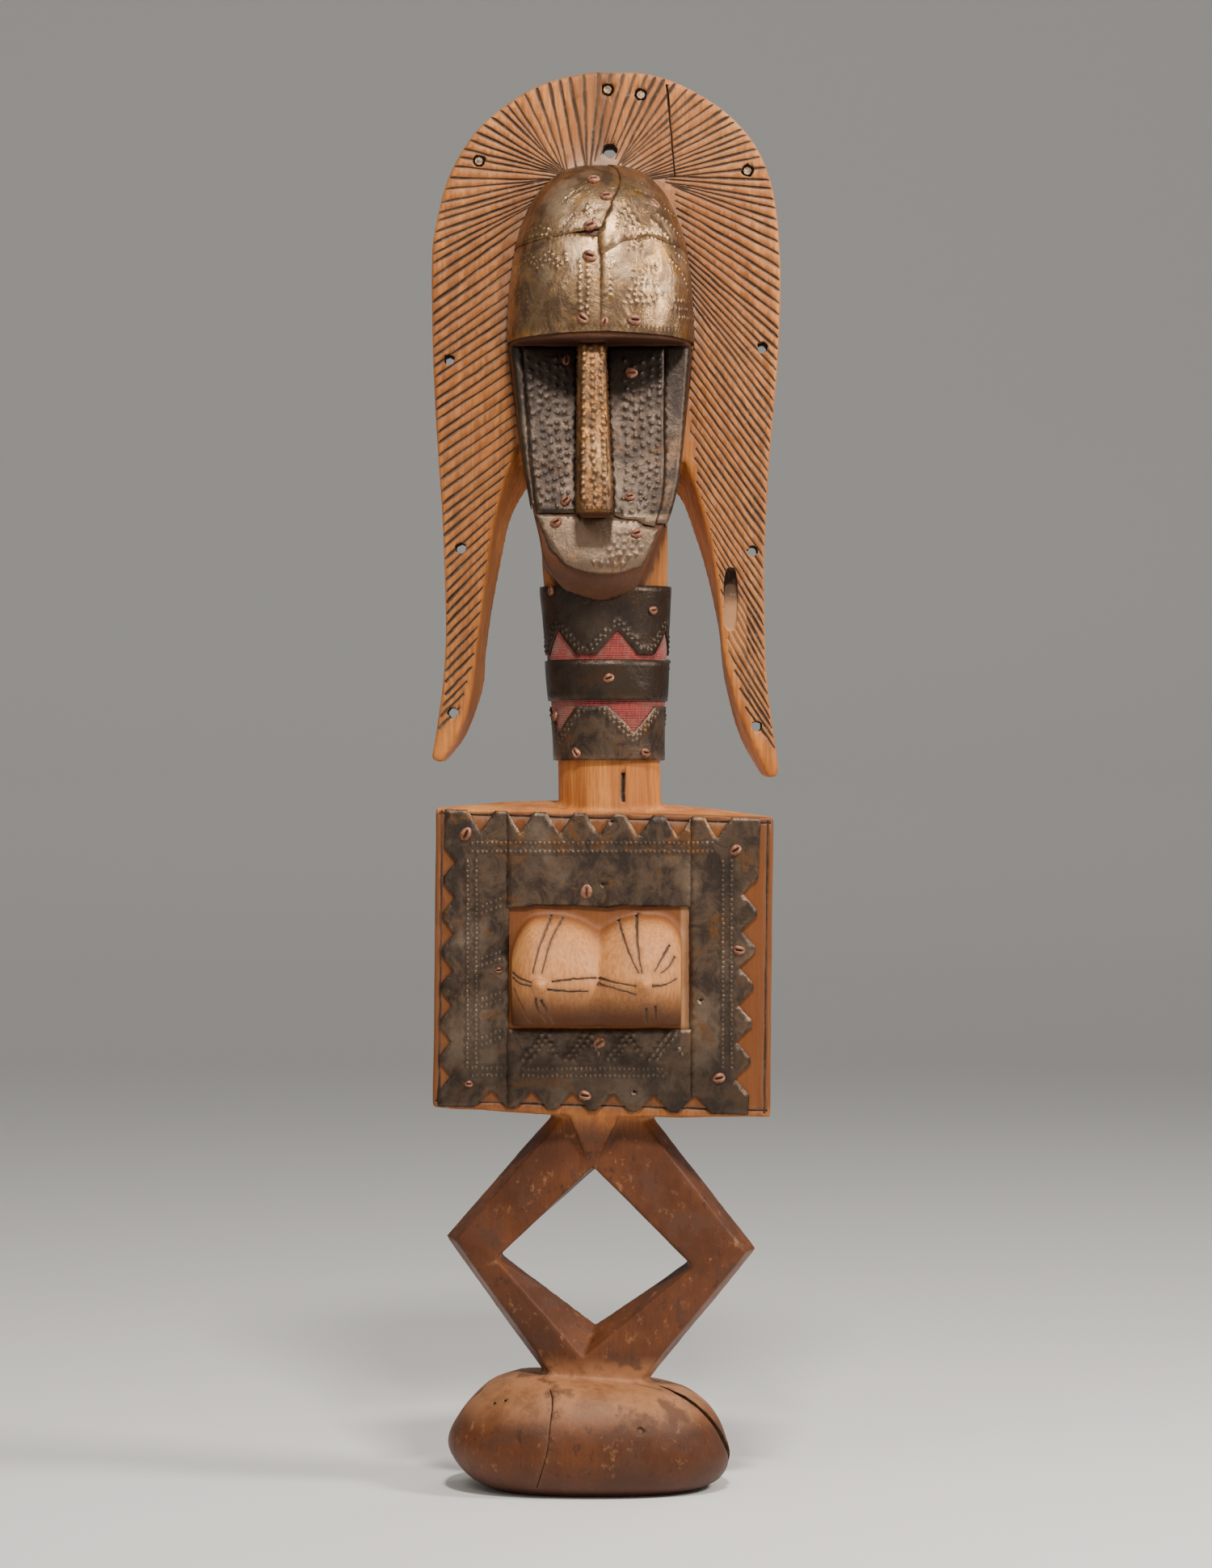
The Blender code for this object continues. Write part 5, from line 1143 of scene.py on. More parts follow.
def wood_material():
    """Oiled carved wood: fine upright grain, darker handled foot, pale polished breasts, painted shade
    by the head, under the breasts and low on the foot.
    """
    made, tree, shader = new_material("carved_wood")
    x, y, z = position(tree)
    fine = grain(tree, (900.0, 900.0, 42.0), 4.0, 0.6)
    bands = grain(tree, (120.0, 120.0, 7.0), 3.0, 0.5, 0.6)
    patches = grain(tree, (26.0, 26.0, 22.0), 4.0, 0.6)
    stains = grain(tree, (60.0, 60.0, 60.0), 5.0, 0.65)
    warm = mixed(tree, ranged(tree, bands, 0.35, 0.65), WOOD_WARM, WOOD_DEEP)
    warm = mixed(tree, ranged(tree, fine, 0.42, 0.62, 0.0, 0.45), warm, WOOD_GRAIN)
    warm = mixed(tree, ranged(tree, patches, 0.50, 0.75, 0.0, 0.45), warm, WOOD_WORN)
    low = ranged(tree, z, Z_TORSO + 0.004, Z_TORSO - 0.012)
    handled = mixed(tree, ranged(tree, patches, 0.36, 0.64), HANDLED_BROWN, HANDLED_DARK)
    handled = mixed(tree, ranged(tree, fine, 0.42, 0.62, 0.0, 0.22), handled, HANDLED_GRAIN)
    handled = mixed(tree, ranged(tree, stains, 0.50, 0.72, 0.0, 0.60), handled, HANDLED_STAIN)
    scuffs = grain(tree, (210.0, 210.0, 150.0), 7.0, 0.72)
    handled = mixed(tree, ranged(tree, scuffs, 0.44, 0.34, 0.0, 0.75), handled, SCUFF_DARK)
    handled = mixed(tree, ranged(tree, scuffs, 0.57, 0.68, 0.0, 0.50), handled, SCUFF_PALE)
    tread = belt(
        tree, z, (BASE_HEIGHT - 0.020, BASE_HEIGHT - 0.006),
        (BASE_HEIGHT + 0.012, BASE_HEIGHT + 0.003))
    tread = times(tree, tread, ranged(tree, stains, 0.30, 0.60, 0.35, 0.85))
    handled = mixed(tree, tread, handled, TREAD_TINT)
    rim = belt(tree, z, (Z_TORSO - 0.004, Z_TORSO + 0.004), (Z_NECK + 0.001, Z_NECK - 0.001))
    rim = times(tree, rim, ranged(tree, y, TORSO_FRONT + 0.004, TORSO_FRONT + 0.001))
    in_window = belt(
        tree, z, (WINDOW_Z - 0.030, WINDOW_Z - 0.024), (WINDOW_Z + 0.029, WINDOW_Z + 0.024))
    breast = times(
        tree, in_window, ranged(tree, y, TORSO_FRONT - 0.001, TORSO_FRONT - 0.010))
    pale = mixed(tree, ranged(tree, fine, 0.35, 0.7), BREAST_PALE, BREAST_GRAIN)
    # Patina and painted shade on the breasts below their tips, darker towards the bottom
    beneath_shade = times(tree, in_window, ranged(tree, z, BREAST_TIP_Z + 0.003, BREAST_TIP_Z - 0.015))
    beneath_shade = times(tree, beneath_shade, ranged(tree, y, TORSO_FRONT - 0.0005, TORSO_FRONT - 0.003))
    ledge = BREAST_X + WINDOW_WIDTH / 2 - LEDGE_RIGHT
    split = times(tree, in_window, ranged(tree, x, ledge - 0.0005, ledge + 0.0005))
    beyond = ledge + LEDGE_RIGHT
    split = times(tree, split, ranged(tree, x, beyond + 0.002, beyond + 0.001))
    brow = belt(tree, z, (Z_BROW - 0.004, Z_BROW - 0.002), (Z_BROW + 0.002, Z_BROW + 0.0005))
    brow = times(tree, brow, ranged(tree, y, CREST_FRONT, CREST_FRONT - 0.002))
    colour = mixed(tree, low, warm, handled)
    for mask, share, tint in (
            (rim, 0.82, BORDER_TINT),
            (breast, 0.80, pale),
            (beneath_shade, 0.93, BENEATH_SHADE),
            (split, ranged(tree, stains, 0.30, 0.60, 0.25, 0.75), LEDGE_TINT),
            (ranged(tree, stains, 0.50, 0.64), times(tree, low, 0.72), SOIL),
            # Painted shade on the foot, darker towards the ground
            (ranged(tree, z, 0.016, 0.002), 0.7, UNDERSIDE_SHADE),
            (attribute(tree, "grime"), 0.42, GRIME),
            # Soot and painted shade on the bare wood of the head and on the crest beside it
            (attribute(tree, "soot_and_shade"), 0.92, SOOT_AND_SHADE),
            (brow, 0.6, BROW_SHADE),
            (attribute(tree, "dust"), 0.7, DUST)):
        colour = mixed(tree, times(tree, mask, share), colour, tint)
    polish = times(tree, attribute(tree, "polish"), 0.26)
    rough = math_node(tree, "SUBTRACT", ranged(tree, stains, 0.3, 0.7, 0.44, 0.62), polish)
    finished(
        tree, shader, colour, rough, (fine, 0.00010), (scuffs, 0.00022), (stains, 0.00040))
    shader.inputs["Specular IOR Level"].default_value = 0.28
    return made


def incised_material():
    """The walls of grooves, holes and cracks: old soot with grey dust, and paler bare wood with painted
    light low in the slot.
    """
    made, tree, shader = new_material("incised_wood")
    specks = grain(tree, (420.0, 420.0, 420.0), 4.0, 0.7)
    patches = grain(tree, (45.0, 45.0, 45.0), 3.0, 0.6)
    colour = mixed(tree, ranged(tree, patches, 0.40, 0.66), CUT_DARK, CUT_BROWN)
    colour = mixed(tree, ranged(tree, specks, 0.52, 0.76, 0.0, 0.7), colour, CUT_DUST)
    x, _, z = position(tree)
    # The lower half of the slot, which faces up, is paler bare wood with painted light
    slot = crest_point(SLOT_PLACE)
    beside = belt(
        tree, x, (slot.x - 1.2 * SLOT_WIDTH, slot.x - SLOT_WIDTH),
        (slot.x + 1.2 * SLOT_WIDTH, slot.x + SLOT_WIDTH))
    beside = times(tree, beside, ranged(tree, z, slot.z + 0.003, slot.z - 0.004))
    beside = times(
        tree, beside, ranged(tree, z, slot.z - SLOT_HEIGHT, slot.z - 0.7 * SLOT_HEIGHT))
    colour = mixed(tree, times(tree, beside, 0.85), colour, SLOT_PALE_LIT)
    finished(tree, shader, colour, 0.85, (specks, 0.0003))
    return made


def metal_material(
        name, bright, brown, dark, ochre, rough, shine=0.75, ringed_by=0.40, belts=()):
    """Beaten sheet: brown and grey clouds, ochre stains, painted highlights on the dot tops, dirt and
    painted shade round the dots.

    Belts are heights darkened with soot and painted shade, and heights rubbed bare: low, high, edge,
    share and tint.
    """
    made, tree, shader = new_material(name)
    clouds = grain(tree, (110.0, 110.0, 90.0), 6.0, 0.70, 0.6)
    broad = grain(tree, (34.0, 34.0, 30.0), 4.0, 0.60)
    stains = grain(tree, (60.0, 60.0, 80.0), 6.0, 0.72, 0.5)
    specks = grain(tree, (700.0, 700.0, 600.0), 5.0, 0.7)
    scratch = grain(tree, (1500.0, 1500.0, 70.0), 2.0, 0.6)
    punched = attribute(tree, "punched")
    colour = mixed(tree, ranged(tree, clouds, 0.38, 0.62), dark, brown)
    colour = mixed(tree, ranged(tree, broad, 0.50, 0.66, 0.0, 0.6), colour, bright)
    colour = mixed(tree, ranged(tree, stains, 0.54, 0.64, 0.0, 0.75), colour, ochre)
    colour = mixed(tree, ranged(tree, specks, 0.52, 0.78, 0.0, 0.45), colour, dark)
    height = position(tree)[2]
    for low, high, edge, share, tint in belts:
        mask = belt(tree, height, (low - edge, low + edge), (high + edge, high - edge))
        colour = mixed(tree, times(tree, mask, share), colour, tint)
    # Dirt and painted shade in a ring round the base of each dot
    ring = ranged(tree, punched, 0.42, 0.10, 0.0, 1.0)
    ringed = times(tree, ring, ranged(tree, punched, 0.0, 0.06))
    colour = mixed(tree, times(tree, ringed, ringed_by), colour, dark)
    # Painted highlight on the tops of the dots
    colour = mixed(tree, ranged(tree, punched, 0.60, 0.95, 0.0, 0.22), colour, bright)
    shader.inputs["Metallic"].default_value = shine
    finished(
        tree, shader, colour, ranged(tree, clouds, 0.3, 0.7, rough + 0.12, rough - 0.06),
        (specks, 0.00016), (clouds, 0.00060), (scratch, 0.00003))
    return made


def cloth_material():
    """Coarse red cotton, dusty in places."""
    made, tree, shader = new_material("red_cloth")
    warp = tree.nodes.new("ShaderNodeTexWave")
    warp.bands_direction = "Z"
    warp.inputs["Scale"].default_value = 420.0
    warp.inputs["Distortion"].default_value = 1.5
    place = tree.nodes.new("ShaderNodeTexCoord").outputs["Object"]
    tree.links.new(place, warp.inputs["Vector"])
    weft = grain(tree, (1300.0, 1300.0, 300.0), 3.0, 0.6)
    dusty = grain(tree, (90.0, 90.0, 90.0), 4.0, 0.6)
    colour = mixed(tree, ranged(tree, weft, 0.35, 0.65), THREAD_RED, THREAD_SHADE)
    colour = mixed(tree, ranged(tree, dusty, 0.42, 0.68, 0.0, 0.70), colour, CLOTH_DUST)
    shader.inputs["Sheen Weight"].default_value = 0.15
    finished(tree, shader, colour, 0.95, (warp.outputs["Fac"], 0.00025), (weft, 0.0003))
    return made


def clip_material():
    """Dull folded copper, with painted shade in the fold."""
    made, tree, shader = new_material("clip_copper")
    clouds = grain(tree, (500.0, 500.0, 500.0), 4.0, 0.6)
    fold = attribute(tree, "fold")
    colour = mixed(tree, ranged(tree, clouds, 0.38, 0.66), CLIP_BROWN, CLIP_PINK)
    # Painted shade along the slit and at the crown of the fold
    colour = mixed(tree, ranged(tree, fold, 0.25, 0.95, 0.0, 0.85), colour, CLIP_FOLD_SHADE)
    shader.inputs["Metallic"].default_value = 0.55
    finished(tree, shader, colour, 0.50, (clouds, 0.00025))
    return made


# Wood
def fused_wood():
    """All carved forms as one closed skin, softened at its edges and a little uneven."""
    jaw = helper("jaw", face())
    cut_away(jaw, [helper("collar_room", collar_room())], "EXACT")
    bm = bmesh.new()
    bm.from_mesh(jaw.data)
    bpy.data.objects.remove(jaw)
    for make in (crest_plank, forehead, nose, neck, breasts, hip, legs, base, torso):
        bm.from_mesh(make())
    for tip in nipple_places():
        bmesh.ops.create_uvsphere(
            bm, u_segments=16, v_segments=10, radius=NIPPLE / 2, matrix=Matrix.Translation(tip))
    data = bpy.data.meshes.new("carved_wood")
    bm.to_mesh(data)
    bm.free()
    wood = helper("carved_wood", data)
    skin = wood.modifiers.new("fuse", "REMESH")
    skin.mode = "VOXEL"
    skin.voxel_size = VOXEL
    soft = wood.modifiers.new("soften", "SMOOTH")
    soft.factor = 0.5
    soft.iterations = 3
    settle(wood)
    wear(wood.data)
    faces = 2 * len(wood.data.polygons)
    fewer = wood.modifiers.new("fewer", "DECIMATE")
    fewer.ratio = min(1.0, WOOD_FACES / faces)
    settle(wood)
    return wood


def nipple_places():
    """Centres of the two worn knobs of the breasts."""
    places = []
    for side in (-1, 1):
        x = BREAST_X + (side + BREAST_TIPS[side]) * WINDOW_WIDTH / 4
        places.append(breast_point(x, BREAST_TIP_Z) + Vector((0.0, NIPPLE_SUNK, 0.0)))
    return places


def wear(data):
    """Push the skin in and out a little: soft tool marks along the grain and handling wear."""
    count = len(data.vertices)
    points = np.empty(count * 3)
    normals = np.empty(count * 3)
    data.vertices.foreach_get("co", points)
    data.vertex_normals.foreach_get("vector", normals)
    points = points.reshape(-1, 3)
    normals = normals.reshape(-1, 3)
    push = np.empty(count)
    for index, (x, y, z) in enumerate(points):
        broad = noise.noise((x * 70, y * 70, z * 32))
        small = noise.noise((x * 420, y * 420, z * 120))
        push[index] = WEAR * broad + CHATTER * small
    push[points[:, 2] < 0.002] = 0.0
    points += normals * push[:, None]
    data.vertices.foreach_set("co", points.ravel())
    data.update()


def incision(name, points, facing, width, depth, fade, chance):
    """Cutter of a hand-cut V line: it wanders a little and its width is uneven."""
    rings = []
    for index, point in enumerate(points):
        share = index / (len(points) - 1)
        size = (1 - (1 - fade) * share ** 1.3) * chance.uniform(0.82, 1.18)
        near, far = points[max(index - 1, 0)], points[min(index + 1, len(points) - 1)]
        normal = facing[index]
        across = (far - near).cross(normal).normalized()
        middle = point + across * chance.uniform(-0.10, 0.10) * width
        half = 0.5 * width * size * (1 + PROUD / (depth * size))
        rings.append([
            middle + normal * PROUD - across * half,
            middle + normal * PROUD + across * half,
            middle + across * chance.uniform(-0.2, 0.2) * half - normal * depth * size])
    return helper(name, loft(name, rings))


def crest_cutters():
    """Cutters of the lines that fan out over the crest and its lappets."""
    chance = random.Random(11)
    wander = random.Random(23)
    front = Vector((0.0, -1.0, 0.0))
    cutters = []
    for side, keys in (("left", LEFT_LINES), ("right", RIGHT_LINES)):
        for index, (outer, inner) in enumerate(crest_lines(keys)):
            if inner.z > Z_CHIN + 0.4 * FACE_HEIGHT:
                inner = inner + (inner - outer).normalized() * LINE_REACH
            shift = Vector((0.0, 0.0, chance.uniform(-GROOVE_SHIFT, GROOVE_SHIFT)))
            stop = inner.lerp(outer, chance.uniform(0.0, 0.06))
            start = outer + (outer - inner).normalized() * GROOVE_OVERRUN + shift
            size = chance.uniform(*UNEVEN)
            crown = 0.0
            if outer.z > Z_DOME:
                crown = max(0.0, 1 - abs(outer.x) / (CROWN_REACH * CREST_WIDTH / 2))
            points = [start.lerp(stop, share) for share in spread(0.0, 1.0, LINE_STEPS)]
            cutters.append(incision(
                f"line_{side}_{index}", points, [front] * LINE_STEPS,
                GROOVE_WIDTH * size * (1 + CROWN_WIDER * crown),
                GROOVE_DEPTH * size * (1 + CROWN_DEEPER * crown),
                LINE_FADE - CROWN_FADE * crown, wander))
    return cutters


def ragged_hole(name, place, width, depth, chance):
    """Cutter of a hand-bored hole with an uneven rim."""
    centre = crest_point(place)
    rings = []
    reach = [chance.uniform(*UNEVEN) for _ in range(HOLE_SIDES)]
    for y, size in ((CREST_FRONT - 0.001, 1.12), (CREST_FRONT + 0.001, 1.0), (depth, 0.92)):
        rings.append([
            Vector((
                centre.x + width / 2 * size * share * math.sin(math.tau * i / HOLE_SIDES), y,
                centre.z + width / 2 * size * share * math.cos(math.tau * i / HOLE_SIDES)))
            for i, share in enumerate(reach)])
    return helper(name, loft(name, rings))


def hole_cutters():
    """Cutters of the holes and the slot in the crest."""
    chance = random.Random(3)
    beyond = CREST_BACK + 0.0015
    cutters = [ragged_hole("hanging_hole", HANGING_PLACE, HANGING_HOLE, beyond, chance)]
    for index, place in enumerate(RIM_HOLES):
        cutters.append(ragged_hole(f"rim_hole_{index}", place, RIM_HOLE, beyond, chance))
    for index, place in enumerate(PEG_HOLES):
        cutters.append(ragged_hole(
            f"peg_hole_{index}", place, PEG_HOLE, CREST_FRONT + PEG_LENGTH, chance))
    middle = crest_point(SLOT_PLACE)
    half = SLOT_WIDTH / 2
    outline = []
    for index in range(SLOT_SIDES):
        turn = math.tau * index / SLOT_SIDES
        across = math.copysign(abs(math.cos(turn)) ** 0.55, math.cos(turn))
        up = math.copysign(abs(math.sin(turn)) ** 0.75, math.sin(turn))
        outline.append((across * half * chance.uniform(0.93, 1.05), up * SLOT_HEIGHT / 2))
    rings = []
    for deep, size, slope in ((-PROUD, 1.03, 0.0), (0.0012, 1.0, 0.0), (SLOT_DEPTH, 0.9, 1.0)):
        rings.append([
            Vector((
                middle.x + x * size,
                CREST_FRONT + deep * (1 - 0.62 * slope * (0.5 - z / SLOT_HEIGHT)),
                middle.z + z * size)) for x, z in outline])
    cutters.append(helper("slot", loft("slot", rings)))
    return cutters


def foot_facing(angle, up):
    """Outward direction of the foot."""
    rim = base_point(angle, up + 0.04) - base_point(angle, up - 0.04)
    turn = base_point(angle + 0.05, up) - base_point(angle - 0.05, up)
    return turn.cross(rim).normalized()


def foot_cutters():
    """Cutters of the split at the right end of the foot, the plug in front and the two pits."""
    chance = random.Random(17)
    (turn, up), (last_turn, last_up) = SPLIT_ENDS
    start = base_point(math.radians(turn), up)
    end = base_point(math.radians(last_turn), last_up)
    inward = Vector((-0.50, 0.85, 0.0)).normalized()
    across = Vector((0.55, 0.35, 0.75)).normalized()
    rings = []
    for share in spread(-0.08, 1.0, 12):
        point = start.lerp(end, share) + across * chance.uniform(-0.0004, 0.0004)
        angle = math.radians(turn + (last_turn - turn) * share)
        outward = base_point(angle, up + (last_up - up) * share) - inward * SPLIT_DEPTH / 2
        side = across * SPLIT_WIDTH * (0.45 + 1.1 * share) * chance.uniform(*UNEVEN)
        deep = point + inward * SPLIT_DEPTH * (0.55 + 0.9 * share)
        rings.append([outward - side, outward + side, deep + side * 0.4, deep - side * 0.4])
    cutters = [helper("foot_split", loft("foot_split", rings))]
    marks = ((0.240, 0.63, FOOT_PLUG), (-0.782, 0.82, FOOT_PIT), (-0.704, 0.85, FOOT_PIT))
    for index, (share, up, width) in enumerate(marks):
        angle = base_angle(share * BASE_WIDTH / 2, up)
        middle = base_point(angle, up)
        normal = foot_facing(angle, up)
        side = Vector((0.0, 0.0, 1.0)).cross(normal).normalized()
        rise = normal.cross(side)
        reach = [chance.uniform(0.85, 1.12) * width / 2 for _ in range(12)]
        rings = [[
            middle + normal * out + (
                side * math.cos(math.tau * i / 12) + rise * math.sin(math.tau * i / 12)) * r
            for i, r in enumerate(reach)] for out in (0.0010, -0.0008)]
        cutters.append(helper(f"foot_mark_{index}", loft(f"foot_mark_{index}", rings)))
    return cutters


def crack_cutters():
    """Cutters of the drying cracks, the worn neck slot and the lines on breasts and border."""
    chance = random.Random(8)
    front = Vector((0.0, -1.0, 0.0))
    cutters = []
    ends = [crest_point(place) for place in CREST_CRACK]
    points = [ends[0].lerp(ends[1], share) for share in spread(0.0, 1.0, 10)]
    cutters.append(incision(
        "crest_crack", points, [front] * 10, CRACK_WIDTH, CRACK_DEPTH, 0.8, chance))
    points = []
    facing = []
    for across, up, _ in smooth_path([(*place, 0.0) for place in FOOT_CRACK], 3):
        angle = base_angle(across * BASE_WIDTH / 2, up)
        points.append(base_point(angle, up))
        facing.append(foot_facing(angle, up))
    cutters.append(incision(
        "foot_crack", points, facing, FOOT_CRACK_WIDTH, FOOT_CRACK_DEPTH, 0.7, chance))
    across, deep = WORN_PLACE
    worn = [
        Vector((across * NECK_WIDTH / 2, -deep * NECK_DEPTH / 2, Z_NECK + share * NECK_SHOWN))
        for share in spread(WORN_HEIGHTS[0], WORN_HEIGHTS[-1], 5)]
    cutters.append(incision("neck_slot", worn, [front] * 5, WORN_WIDTH, WORN_DEPTH, 0.9, chance))
    for index, line in enumerate(BREAST_LINES):
        points = []
        facing = []
        for across, up, _ in smooth_path([(*place, 0.0) for place in line], 6):
            x = BREAST_X + across * WINDOW_WIDTH / 2
            z = WINDOW_Z + up * WINDOW_HEIGHT / 2
            points.append(breast_point(x, z))
            facing.append(breast_facing(x, z))
        cutters.append(incision(
            f"stroke_{index}", points, facing, STROKE_WIDTH, STROKE_DEPTH, 0.6, chance))
    corners = []
    for side, height in ((-1, 0), (-1, 1), (1, 1), (1, 0)):
        x, z = torso_corner(side, height)
        corners.append(Vector((x - side * BORDER, TORSO_FRONT, z - (2 * height - 1) * BORDER)))
    for index, start in enumerate(corners):
        end = corners[(index + 1) % 4]
        points = [start.lerp(end, share) for share in spread(-0.01, 1.01, 22)]
        cutters.append(incision(
            f"border_{index}", points, [front] * 22, BORDER_CUT_WIDTH, BORDER_CUT_DEPTH, 0.9, chance))
    return cutters


def head_soot_and_shade(point):
    """How dark the bare wood of the head and the crest beside it is painted: soot with painted shade.
    """
    if point.z < Z_CHIN - 0.003 or point.y > CREST_FRONT + 0.002:
        return 0.0
    if point.z > Z_BROW:
        rise = min((point.z - Z_BROW) / FOREHEAD_HEIGHT, 1.0)
        half = dome_half(rise)
    else:
        half = HEAD_WIDTH / 2 * along(FACE_HALF, (Z_BROW - point.z) / FACE_HEIGHT)
    away = abs(point.x - HEAD_X) - half
    if point.y < CREST_FRONT - 0.0015 and away < 0.002:
        return 1.0
    return SOOT_AND_SHADE_SHARE * math.exp(-max(away, 0.0) / SOOT_AND_SHADE_REACH)


def mark_wood(data):
    """Give the skin its grime beside the cuts and the dust that lies round the head."""
    owners = np.zeros(len(data.vertices), bool)
    cut = [face for face in data.polygons if face.material_index == 1]
    tree = KDTree(sum(len(face.vertices) for face in cut))
    for face in cut:
        for index in face.vertices:
            tree.insert(data.vertices[index].co, index)
            owners[index] = True
    tree.balance()
    grime = data.attributes.new("grime", "FLOAT", "POINT")
    dust = data.attributes.new("dust", "FLOAT", "POINT")
    polish = data.attributes.new("polish", "FLOAT", "POINT")
    soot_and_shade = data.attributes.new("soot_and_shade", "FLOAT", "POINT")
    tips = nipple_places()
    for index, vertex in enumerate(data.vertices):
        point = vertex.co
        near = 1.0 if owners[index] else math.exp(-tree.find(point)[2] / GRIME_REACH)
        grime.data[index].value = near
        value = 0.0
        if point.z > Z_BROW and point.y < CREST_FRONT + 0.002:
            rise = math.hypot(
                (point.x - HEAD_X) / (HEAD_WIDTH / 2), max(point.z - Z_BROW, 0) / FOREHEAD_HEIGHT)
            share = 1.0 if point.z > Z_DOME - DUST_DROP else DUST_BESIDE
            value = math.exp(-abs(rise - DUST_RING) / DUST_WIDTH) * share
        dust.data[index].value = value
        soot_and_shade.data[index].value = head_soot_and_shade(point)
        away = min((point - tip).length for tip in tips)
        polish.data[index].value = math.exp(-((away / POLISH_REACH) ** 2))


def wood_piece(finish, incised):
    """The whole carved figure."""
    wood = fused_wood()
    wood.data.materials.clear()
    wood.data.materials.append(finish)
    cutters = crest_cutters() + hole_cutters() + crack_cutters() + foot_cutters()
    for cutter in cutters:
        cutter.data.materials.append(incised)
    cut_away(wood, cutters, "MANIFOLD")
    mark_wood(wood.data)
    for face in wood.data.polygons:
        face.use_smooth = face.material_index == 0
    wood.name = "carved_wood"
    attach(wood, "root")
    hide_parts("carved_figure")
    return wood


# Beaten sheets
def stretch(place, u, v):
    """Metres on the surface to one unit of each of its two coordinates."""
    across = (place(u + PROBE, v, 0.0) - place(u - PROBE, v, 0.0)).length / (2 * PROBE)
    up = (place(u, v + PROBE, 0.0) - place(u, v - PROBE, 0.0)).length / (2 * PROBE)
    return max(across, 1e-4), max(up, 1e-4)


def nearest_of(places):
    """Search tree over some places."""
    tree = KDTree(len(places))
    for index, spot in enumerate(places):
        tree.insert(spot, index)
    tree.balance()
    return tree


def ragged_border(outline, place, spacing, ragged, chance):
    """Points along the outline of a sheet, a little off it between its corners."""
    border = []
    for start, end in zip(outline, outline[1:] + outline[:1]):
        length = (place(*start, 0.0) - place(*end, 0.0)).length
        parts = max(1, round(length / spacing))
        for part in range(parts):
            point = Vector(start).lerp(Vector(end), part / parts)
            if part:
                across, up = stretch(place, *point)
                point += Vector((
                    chance.uniform(-ragged, ragged) / across, chance.uniform(-ragged, ragged) / up))
            border.append(tuple(point))
    return border


def punched_corners(dots, border, place, rim, holes, chance):
    """Corners of the dots that have room, as point, lift and mark, and the place of each dot."""
    corners = []
    kept = []
    for u, v, radius, rise in dots:
        here = place(u, v, 0.0)
        if not inside((u, v), border) or rim.find(here)[2] < RIM_ROOM * radius:
            continue
        if any((here - other).length < DOT_SPACING * (radius + size) / 2 for other, size in kept):
            continue
        if any((here - place(*hole[:2], 0.0)).length < HOLE_ROOM * (radius + hole[2])
               for hole in holes):
            continue
        kept.append((here, radius))
        across, up = stretch(place, u, v)
        corners.append(((u, v), rise, 1.0))
        spin = chance.uniform(0.0, 1.0)
        for share, count, height, mark in ((0.52, 5, 0.70, 0.75), (1.0, 8, 0.0, 0.10)):
            for i in range(count):
                turn = math.tau * (i + spin) / count
                point = (
                    u + radius * share * math.cos(turn) / across,
                    v + radius * share * math.sin(turn) / up)
                corners.append((point, rise * height, mark))
    return corners, [here for here, _ in kept]


def hole_corners(holes, border, place):
    """Corners round the nail holes of a sheet, and the place and radius of each hole."""
    corners = []
    pins = []
    for u, v, radius in holes:
        if not inside((u, v), border):
            continue
        across, up = stretch(place, u, v)
        pins.append((place(u, v, 0.0), radius))
        for i in range(HOLE_SIDES):
            turn = math.tau * i / HOLE_SIDES
            point = (u + radius * math.cos(turn) / across, v + radius * math.sin(turn) / up)
            corners.append((point, 0.0, 0.25))
    return corners, pins


def grid_corners(border, place, step, rim, dots, pins):
    """Corners that fill a sheet, clear of its border, its dots and its nail holes."""
    low = [min(point[axis] for point in border) for axis in (0, 1)]
    high = [max(point[axis] for point in border) for axis in (0, 1)]
    across, up = stretch(place, (low[0] + high[0]) / 2, (low[1] + high[1]) / 2)
    columns = max(2, round((high[0] - low[0]) * across / step))
    rows = max(2, round((high[1] - low[1]) * up / step))
    stops = nearest_of([FAR_OFF] + dots)
    corners = []
    for row in range(1, rows):
        for column in range(1, columns):
            point = (
                low[0] + (high[0] - low[0]) * (column + 0.5 * (row % 2)) / columns,
                low[1] + (high[1] - low[1]) * row / rows)
            here = place(*point, 0.0)
            if rim.find(here)[2] < GRID_ROOM * step:
                continue
            if stops.find(here)[2] < DOT_ROOM * DOT_RADIUS:
                continue
            if any((here - pin).length < HOLE_ROOM * radius for pin, radius in pins):
                continue
            if inside(point, border):
                corners.append((point, 0.0, 0.0))
    return corners


